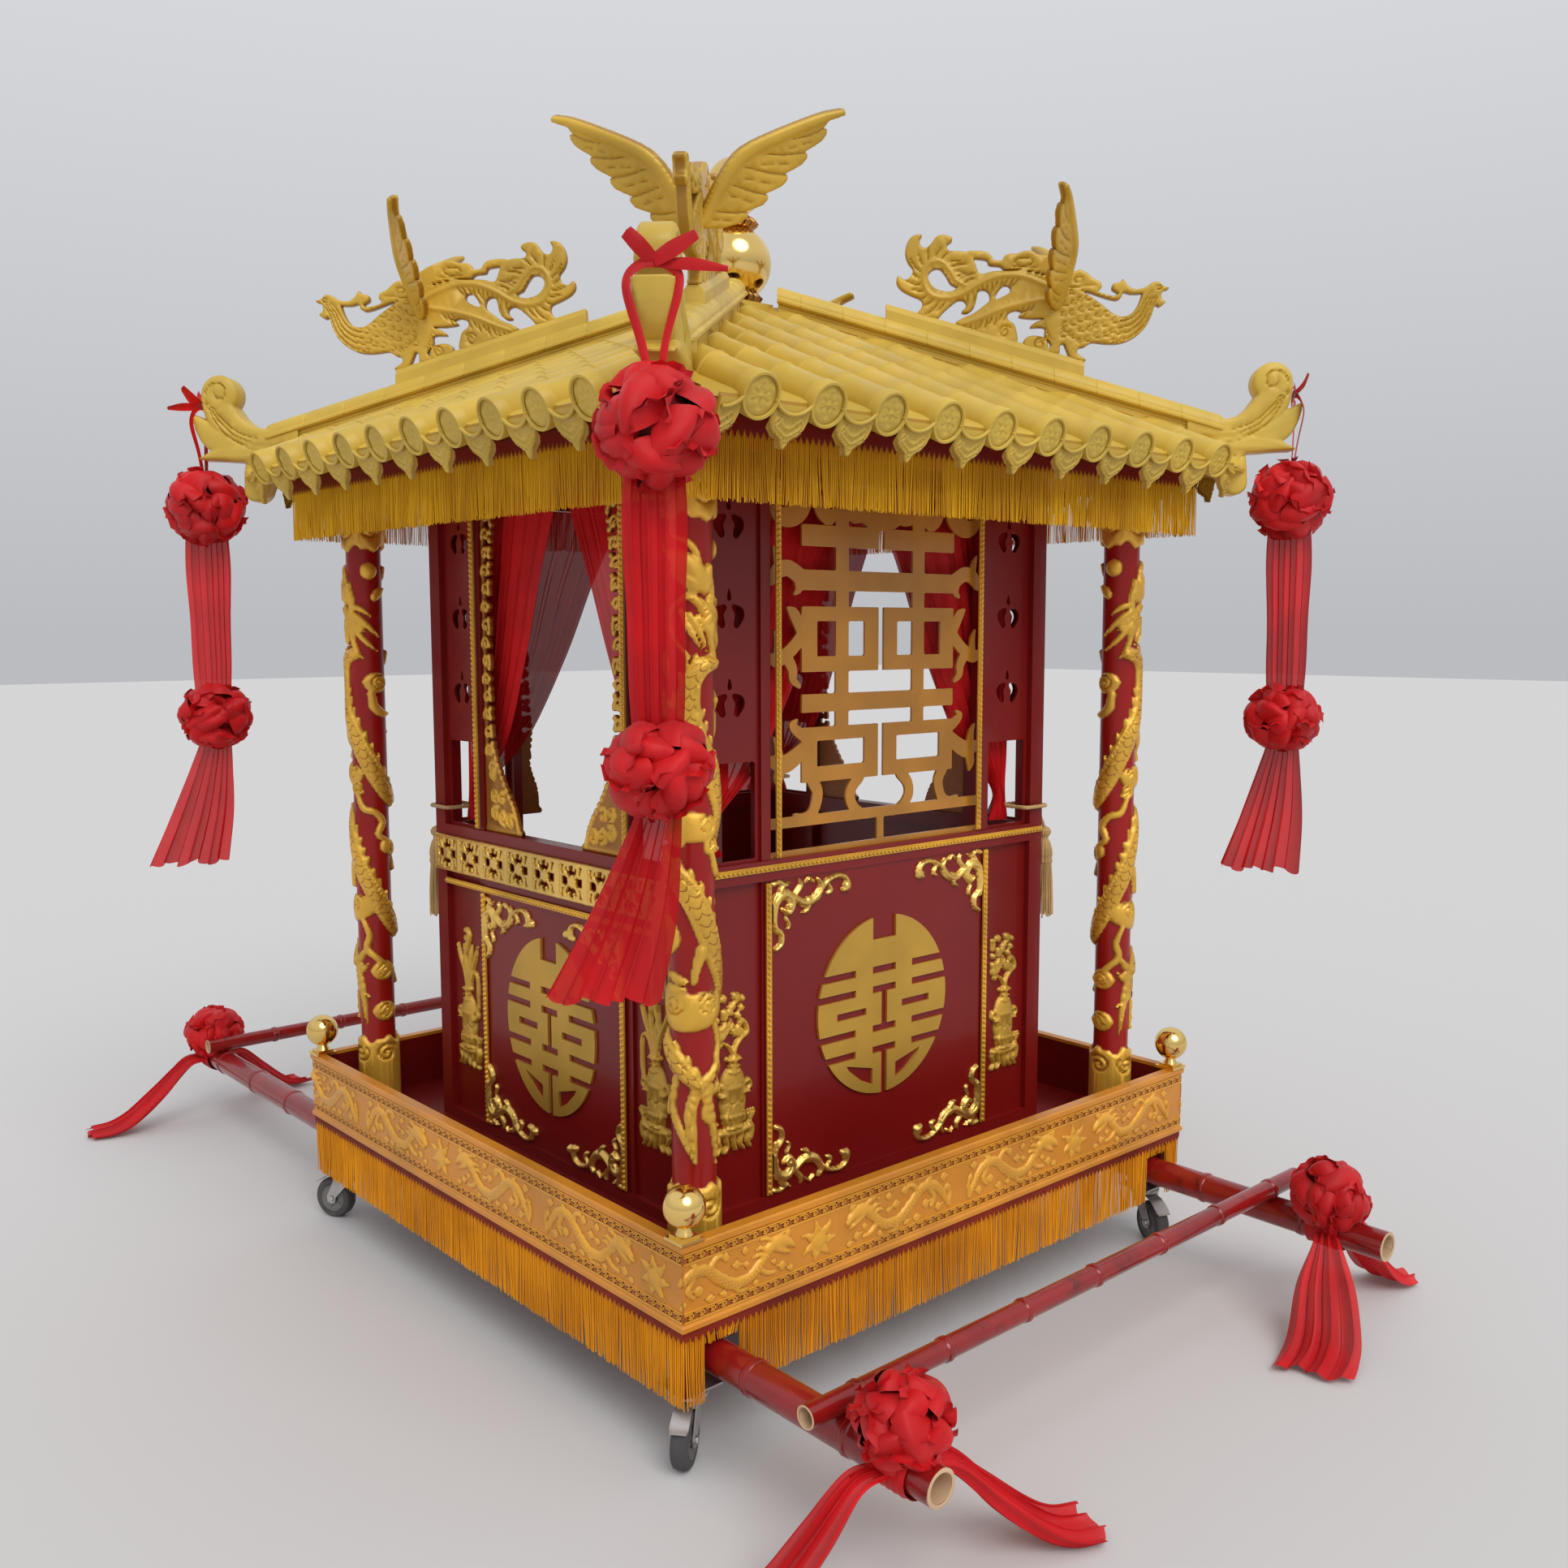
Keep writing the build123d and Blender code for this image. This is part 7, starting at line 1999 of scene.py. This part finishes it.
def curtains():
    """Parted voile curtains inside the four openings, one piece for each opening."""
    names = ("rear", "right", "front", "left")
    for side in range(4):
        wide = side % 2 == 0
        window_half, post = (0.327, 0.461) if wide else (0.285, 0.426)
        at = (FACE_Y if wide else FACE_X) - 0.045 - 0.008
        turn = turned(side)
        soup = Soup()
        for sign in (-1, 1):
            curtain_half(soup, window_half, post, lambda p: turn(np.stack((sign * p[:, 0], p[:, 1] - at,
                                                                           p[:, 2]), 1)),
                         90 + 2 * side + (sign > 0))
        made = piece(f"curtains_{names[side]}", soup, VOILE, "red_voile", sharp=0,
                     replaces=("curtains",) if side == 0 else ())


def cushion():
    """The seat cushion: crowned, pulled in between its corners, with piping round its edge."""
    soup = Soup()
    hx, hy, middle_y = 0.469, 0.164, -0.262
    u, v = np.meshgrid(np.sin(np.linspace(-1, 1, 61) * math.pi / 2),
                       np.sin(np.linspace(-1, 1, 25) * math.pi / 2), indexing="ij")
    edge = (1 - np.abs(u) ** 5) ** 0.5 * (1 - np.abs(v) ** 5) ** 0.5
    x = u * (hx - 0.012 * (1 - v**2) * np.abs(u) ** 3)
    y = v * (hy - 0.010 * (1 - u**2) * np.abs(v) ** 3) + middle_y
    puckers = (0.0012 * np.sin(60 * u) * np.exp(-((1 - np.abs(v)) / 0.18) ** 2)
               + 0.0012 * np.sin(24 * v) * np.exp(-((1 - np.abs(u)) / 0.06) ** 2))
    top = 0.668 + (0.020 + 0.011 * (1 - u**2) ** 0.5 * (1 - v**2)) * edge + puckers * edge
    under = 0.668 - 0.0274 * edge**0.6
    one = grid_faces(61, 25)
    soup.add(np.stack((x, y, top), -1), [one], 1.0)
    soup.add(np.stack((x, y, under), -1), [one[:, ::-1]], 0.8)
    edges = (np.s_[:, 0], np.s_[-1, 1:], np.s_[-2::-1, -1], np.s_[0, -2:0:-1])
    rim = np.concatenate([np.stack((x[part], y[part]), 1) for part in edges])
    tube(soup, np.column_stack((rim, np.full(len(rim), 0.668))), 0.0042, 6, closed=True, tone=0.9)
    piece("seat_pad", soup, SATIN, "red_cloth", sharp=60, replaces=("seat_cushion",))


# Ropes and tassels


def twisted(soup, path, radius, pitch, closed, up):
    """A laid rope of three strands along a path."""
    path = np.asarray(path, float)
    ahead = np.roll(path, -1, 0) - np.roll(path, 1, 0) if closed else np.gradient(path, axis=0)
    steps = np.linalg.norm(np.diff(path, axis=0), axis=1)
    gone = np.concatenate(([0], np.cumsum(steps)))
    whole = gone[-1] + (np.linalg.norm(path[0] - path[-1]) if closed else 0)
    turns = max(1, round(whole / pitch))
    ahead /= np.linalg.norm(ahead, axis=1, keepdims=True)
    side = np.cross(ahead, up)
    side /= np.linalg.norm(side, axis=1, keepdims=True)
    normal = np.cross(side, ahead)
    for strand in range(3):
        a = gone / whole * turns * TAU + strand * TAU / 3
        off = (np.cos(a)[:, None] * side + np.sin(a)[:, None] * normal) * radius * 0.46
        tube(soup, path + off, radius * 0.54, 6, closed=closed, up=up, tone=0.8)


def ropes():
    """The closed tie ropes round the corner posts, and the strand that each tassel hangs from."""
    soup, tassels = Soup(), Soup()
    inner, outer, radius, height = (0.459, 0.416), (0.539, 0.496), 0.012, 1.040
    for sx, sy, on_side in ((-1, -1, 1), (-1, 1, 0), (1, -1, 1), (1, 1, 0)):
        loop = []
        for cx, cy, start in ((outer[0], outer[1], 0), (inner[0], outer[1], 1), (inner[0], inner[1], 2),
                              (outer[0], inner[1], 3)):
            mx = cx - radius if cx == outer[0] else cx + radius
            my = cy - radius if cy == outer[1] else cy + radius
            for t in np.linspace(0, 1, 6):
                a = (start + t) * math.pi / 2
                loop.append((mx + radius * math.cos(a), my + radius * math.sin(a)))
        loop = np.array(loop)
        fine = []
        for p, q in zip(loop, np.roll(loop, -1, 0)):
            count = max(1, int(np.linalg.norm(q - p) / 0.0045))
            fine += [p + (q - p) * k / count for k in range(count)]
        fine = np.column_stack((np.array(fine) * (sx, sy), np.full(len(fine), height)))
        twisted(soup, fine, 0.0052, 0.020, True, (0, 0, 1))
        x, y = (0.539, 0.463) if on_side else (0.506, 0.496)
        x_low, y_low = (0.571, 0.463) if on_side else (0.506, 0.528)
        t = np.linspace(0, 1, 24)[:, None]
        strand = np.array((sx * x, sy * y, height)) * (1 - t) + np.array((sx * x_low, sy * y_low, 0.981)) * t
        twisted(soup, strand, 0.0042, 0.018, False, (sy, -sx, 0.1))
        ruffle = np.random.default_rng(7 + 3 * sx + sy)
        knot = [(0.003, 0.984), (0.010, 0.981), (0.0155, 0.973), (0.0145, 0.965), (0.009, 0.958),
                (0.0098, 0.953), (0.0142, 0.944), (0.0178, 0.930), (0.0192, 0.917), (0.0180, 0.910),
                (0.0185, 0.903), (0.0195, 0.898), (0.015, 0.890)]
        sides = 28
        ring = np.arange(sides)
        for k, (r, z) in enumerate(knot[:-1]):
            r2, z2 = knot[k + 1]
            a = ring * TAU / sides
            ridge = 1 + 0.07 * np.cos(ring * math.pi)
            low = np.stack((sx * x_low + r2 * ridge * np.cos(a), sy * y_low + r2 * ridge * np.sin(a),
                            np.full(sides, z2)), 1)
            top = np.stack((sx * x_low + r * ridge * np.cos(a), sy * y_low + r * ridge * np.sin(a),
                            np.full(sides, z)), 1)
            tassels.add(np.concatenate((low, top)), [grid_faces(2, sides, False, True)], 0.5 + 0.5 * (k % 2))
        for layer, (count, reach) in enumerate(((30, 0.0225), (24, 0.0165))):
            for k in range(count):
                a = (k + ruffle.uniform(0, 1)) / count * TAU
                foot = 0.763 + ruffle.uniform(0, 0.012)
                r = np.array((0.0165, reach * 0.93, reach + ruffle.uniform(-0.002, 0.002)))
                b = a + np.array((0, 0.06, 0.12)) * ruffle.uniform(-1, 1)
                path = np.stack((sx * x_low + r * np.cos(b), sy * y_low + r * np.sin(b),
                                 np.array((0.896, 0.83, foot))), 1)
                # The inner layer's lower tone paints it in shade behind the outer one.
                tube(tassels, smooth_line(path, 3), 0.0017, 4, tone=1.0 if layer == 0 else 0.35, cap=False)
    piece("laid_tie_ropes", soup, ROPE, "rope_gold", sharp=0, replaces=("tie_ropes",))
    piece("tassel_skirts", tassels, ROPE, "rope_gold", sharp=50, replaces=("tassels",))


# Poles, casters and small fittings


def cane_ends():
    """The pale cut ends of the poles and the inside of the cane, painted into shade deep in the bore."""
    soup = Soup()
    ends = []
    for side, low, high in CARRYING_POLES:
        for y, sign in ((low, 1), (high, -1)):
            ends.append(((side * POLE_X, y, POLE_Z), (0, sign, 0), POLE_R))
    for y, left, right in CROSS_POLES:
        for x, sign in ((left, 1), (right, -1)):
            ends.append(((x, y, CROSS_Z), (sign, 0, 0), CROSS_R))
    pick = random.Random(12)
    for centre, inward, radius in ends:
        inward = np.array(inward, float)
        side = np.cross(inward, (0, 0, 1))
        up = np.array((0, 0, 1.0))
        bore = radius * 0.72
        # columns: radius, depth along the pole, tone; the tone falls to painted shade deep in the bore
        profile = [(radius - 0.0017, 0.004, 0.7), (radius - 0.0016, -0.0006, 0.9),
                   (radius - 0.0030, -0.0012, 1.0), (bore + 0.0016, -0.0012, 1.0),
                   (bore - 0.0003, 0.0008, 0.9), (bore - 0.0006, 0.030, 0.4), (bore - 0.0006, 0.108, 0.05),
                   (0.0002, 0.109, 0.0)]
        a = np.linspace(0, TAU, 36, endpoint=False)
        rows, tones = [], []
        for r, depth, tone in profile:
            wobble = 1 + 0.008 * np.sin(3 * a + pick.uniform(0, 6)) * (depth < 0.001)
            ring = np.array(centre) + inward * depth + (np.cos(a) * r * wobble)[:, None] * side
            rows.append(ring + (np.sin(a) * r * wobble)[:, None] * up)
            tones.append(np.full(36, tone))
        soup.add(np.concatenate(rows), [grid_faces(len(profile), 36, False, True)], np.concatenate(tones))
    piece("cane_ends", soup, CANE, "bamboo", sharp=40)


def cane_joints():
    """Raised, slightly chipped joints of the cane, with a groove above each."""
    soup = Soup()
    pick = random.Random(13)
    # columns: radius, place along the pole
    section = [(-0.0016, -0.0085), (0.0004, -0.0060), (0.0012, -0.0025), (0.0002, 0.0), (0.0011, 0.0025),
               (0.0003, 0.0060), (-0.0016, 0.0085)]
    poles = [((side * POLE_X, low, POLE_Z), (0, 1, 0), high - low, POLE_R, 0.240) for side, low,
             high in CARRYING_POLES]
    poles += [((left, y, CROSS_Z), (1, 0, 0), right - left, CROSS_R, 0.210) for y, left, right in CROSS_POLES]
    for start, along, length, radius, spacing in poles:
        along = np.array(along, float)
        side = np.cross(along, (0, 0, 1))
        count = int(length // spacing)
        first = (length - (count - 1) * spacing) / 2
        for k in range(count):
            a = np.linspace(0, TAU, 28, endpoint=False)
            rows = []
            for r, t in section:
                lump = radius + r + 0.0004 * np.sin(5 * a + pick.uniform(0, 6))
                middle = np.array(start) + along * (first + k * spacing + t)
                ring = middle + (np.cos(a) * lump)[:, None] * side
                rows.append(ring + (np.sin(a) * lump)[:, None] * (0, 0, 1))
            soup.add(np.concatenate(rows), [grid_faces(7, 28, False, True)], 0.8)
    piece("cane_joints", soup, POLE, "bamboo", sharp=50)


def finial_collars():
    """Gadrooned collars under and between the two balls of the finial."""
    soup = Soup()
    a = np.linspace(0, TAU, 96, endpoint=False)
    lobes = np.abs(np.cos(8 * a))
    # columns: radius, height, how deep the gadroons cut
    collars = [
        [(0.052, 2.190, 0), (0.058, 2.196, 0.010), (0.064, 2.204, 0.014), (0.055, 2.213, 0.010),
         (0.040, 2.222, 0)],
        [(0.030, 2.356, 0), (0.046, 2.361, 0.006), (0.055, 2.368, 0.012), (0.048, 2.377, 0.010),
         (0.034, 2.385, 0.004), (0.026, 2.396, 0)],
    ]
    for profile in collars:
        rows, tones = [], []
        for r, z, cut in profile:
            ring = r - cut * (1 - lobes) ** 1.5
            rows.append(np.stack((ring * np.cos(a), ring * np.sin(a), np.full(96, z)), 1))
            # The flutes between the lobes get a low tone: painted shade in the recess colour.
            tones.append(np.clip(1 - (1 - lobes) * (cut > 0) * 1.3, 0, 1))
        soup.add(np.concatenate(rows), [grid_faces(len(profile), 96, False, True)[:, ::-1]],
                 np.concatenate(tones))
    piece("finial_collars", soup, DARK_GOLD, "gold_metal", sharp=60)


# columns: name, corner in X, corner in Y, direction in which the wheel trails
CASTERS = [("left_rear", -1, -1, 218.0), ("left_front", -1, 1, 118.0), ("right_front", 1, 1, 60.0),
           ("right_rear", 1, -1, 247.0)]


def casters():
    """Hub faces, tread and axle nuts of each wheel, and each fork's race and brake pedal."""
    for name, sx, sy, trail in CASTERS:
        turn = rotated(trail)
        shift = np.array((sx * CASTER_AT, sy * CASTER_AT, 0.0))

        def upright(p):
            return turn(np.stack((p[:, 0] + 0.038, p[:, 2], p[:, 1] + 0.050), 1)) + shift

        tyre = Soup()
        profile = [(0.0335, -0.0152), (0.040, -0.0156), (0.0450, -0.0154), (0.0488, -0.0125),
                   (0.0502, -0.0085), (0.0496, -0.0080), (0.0496, -0.0068), (0.0502, -0.0063), (0.0503, 0.0),
                   (0.0502, 0.0063), (0.0496, 0.0068), (0.0496, 0.0080), (0.0502, 0.0085), (0.0488, 0.0125),
                   (0.0450, 0.0154), (0.040, 0.0156), (0.0335, 0.0152)]
        lathe(tyre, profile, 48, upright, tone=1.0)
        piece(f"tyre_tread_{name}", tyre, TYRE, "black_rubber", f"wheel_{name}", sharp=35)
        hub = Soup()
        for sign in (-1, 1):
            rings = [(0.0130, 0.0112), (0.0150, 0.0122), (0.0180, 0.0114), (0.0240, 0.0116), (0.0265, 0.0126),
                     (0.0290, 0.0118), (0.0312, 0.0122), (0.0330, 0.0154)]
            if sign < 0:
                rings = [(r, -z) for r, z in rings][::-1]
            lathe(hub, rings[::-1], 36, upright, tone=1.0)
            for k in range(5):
                a = k * TAU / 5
                spoke = turning(math.cos(a), math.sin(a))
                box(hub, (0.0142, -0.0014, 0.0112), (0.0262, 0.0014, 0.0136),
                    lambda p: upright(spoke(p) * (1, 1, sign)))
        piece(f"wheel_hub_{name}", hub, HUB, "caster_steel", f"wheel_{name}", sharp=35)
        fork = Soup()
        for sign in (-1, 1):
            nut = [(0.0001, 0.0256), (0.0070, 0.0256), (0.0082, 0.0248), (0.0082, 0.0216)]
            lathe(fork, [(r, sign * z) for r, z in nut], 6, upright, tone=1.0)
        lathe(fork, [(0.031, 0.1130), (0.0335, 0.1150), (0.0345, 0.1185), (0.0335, 0.1215), (0.0315, 0.1222),
                     (0.0330, 0.1240), (0.0335, 0.1268), (0.0315, 0.1296)],
              40, lambda p: turn(p) + shift, tone=1.0)
        pedal_side = [(0.026, 0.110, 0.014), (0.048, 0.106, 0.016), (0.064, 0.098, 0.017),
                      (0.078, 0.088, 0.017), (0.086, 0.084, 0.015)]
        line = smooth_line(pedal_side, 4)
        top = np.stack([np.stack((line[:, 0], sign * line[:, 2], line[:, 1] + lift), 1) for sign,
                        lift in ((-1, 0), (-1, 0.003), (1, 0.003), (1, 0))], 1)
        fork.add(turn(top.reshape(-1, 3)) + shift, [grid_faces(len(line), 4, False, True),
                                                    fan_caps(len(line), 4)], 0.9)
        piece(f"brake_pedal_{name}", fork, ZINC, "caster_steel", f"fork_{name}", sharp=35)


def screws():
    """Screw heads along the sill of the cabin and in the caster plates."""
    soup = Soup()
    head = [(0.0001, 0.0022), (0.0030, 0.0020), (0.0046, 0.0012), (0.0050, 0.0)]
    for side in range(4):
        turn = turned(side)
        for x in (-0.56, -0.28, 0.0, 0.28, 0.56):
            lathe(soup, head[::-1], 10, lambda p: turn(p + (x, -0.700, 0.288)))
    for sx in (-1, 1):
        for sy in (-1, 1):
            for ox in (-0.034, 0.034):
                for oy in (-0.027, 0.027):
                    lathe(soup, [(0.0072, 0.0), (0.0072, 0.0045), (0.0001, 0.0052)], 6,
                          lambda p: p * (1, 1, -1) + (sx * CASTER_AT + ox, sy * CASTER_AT + oy, 0.130))
    piece("screw_heads", soup, SCREW, "caster_steel", sharp=35)


# Camera, floor and light


def camera():
    """The photograph's camera: 32.9 mm lens on a square frame, held 1.45 m above the floor."""
    data = bpy.data.cameras.new("camera")
    data.sensor_width = 36.0
    data.lens = 32.881
    made = bpy.data.objects.new("camera", data)
    bpy.context.scene.collection.objects.link(made)
    heading, pitch, roll = math.radians(41.5708), math.radians(-6.1654), math.radians(-0.0944)
    ahead = np.array((math.sin(heading) * math.cos(pitch), math.cos(heading) * math.cos(pitch),
                      math.sin(pitch)))
    level = np.array((math.cos(heading), -math.sin(heading), 0.0))
    up = np.cross(level, ahead)
    right = level * math.cos(roll) + up * math.sin(roll)
    up = np.cross(right, ahead)
    place = np.array((-2.15646, -2.59673, 1.45420)) + SHIFT
    made.matrix_world = Matrix([[*row] for row in np.vstack((np.column_stack((right, up, -ahead, place)),
                                                             (0, 0, 0, 1)))])
    bpy.context.scene.camera = made


def stage():
    """A pale floor, an even pale sky and one soft lamp."""
    mesh = bpy.data.meshes.new("floor")
    mesh.from_pydata([(-40, -40, 0), (40, -40, 0), (40, 40, 0), (-40, 40, 0)], [], [(0, 1, 2, 3)])
    floor = bpy.data.objects.new("floor", mesh)
    bpy.context.scene.collection.objects.link(floor)
    mesh.materials.append(material("floor", (0.62, 0.61, 0.60), 0.85, vary=0.0, bump=0.0))
    floor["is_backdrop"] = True
    world = bpy.data.worlds.new("sky")
    bpy.context.scene.world = world
    world.use_nodes = True
    nodes, links = world.node_tree.nodes, world.node_tree.links
    background = nodes["Background"]
    place = nodes.new("ShaderNodeTexCoord")
    split = nodes.new("ShaderNodeSeparateXYZ")
    links.new(place.outputs["Generated"], split.inputs[0])
    ramp = nodes.new("ShaderNodeValToRGB")
    ramp.color_ramp.elements[0].position = 0.0
    ramp.color_ramp.elements[0].color = (0.62, 0.63, 0.66, 1)
    ramp.color_ramp.elements[1].position = 0.5
    ramp.color_ramp.elements[1].color = (0.92, 0.93, 0.97, 1)
    links.new(split.outputs["Z"], ramp.inputs[0])
    links.new(ramp.outputs["Color"], background.inputs["Color"])
    background.inputs["Strength"].default_value = 0.8
    data = bpy.data.lights.new("sun", "SUN")
    data.energy = 1.5
    data.angle = math.radians(40)
    sun = bpy.data.objects.new("sun", data)
    sun.rotation_euler = (math.radians(42), math.radians(8), math.radians(-25))
    bpy.context.scene.collection.objects.link(sun)


camera()
stage()
tiles()
eaves()
hip_ridges()
scroll_corners()
phoenixes()
fringes()
columns()
trims()
corner_scrolls()
vases()
happiness_window()
side_screens()
window_strips()
pierced_bands()
aprons()
hanging_bows()
pole_bows()
curtains()
cushion()
ropes()
cane_ends()
cane_joints()
finial_collars()
casters()
screws()
bpy.context.scene.view_settings.view_transform = "Standard"


json_box = [list(c) for c in (*cad_box, *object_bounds())]
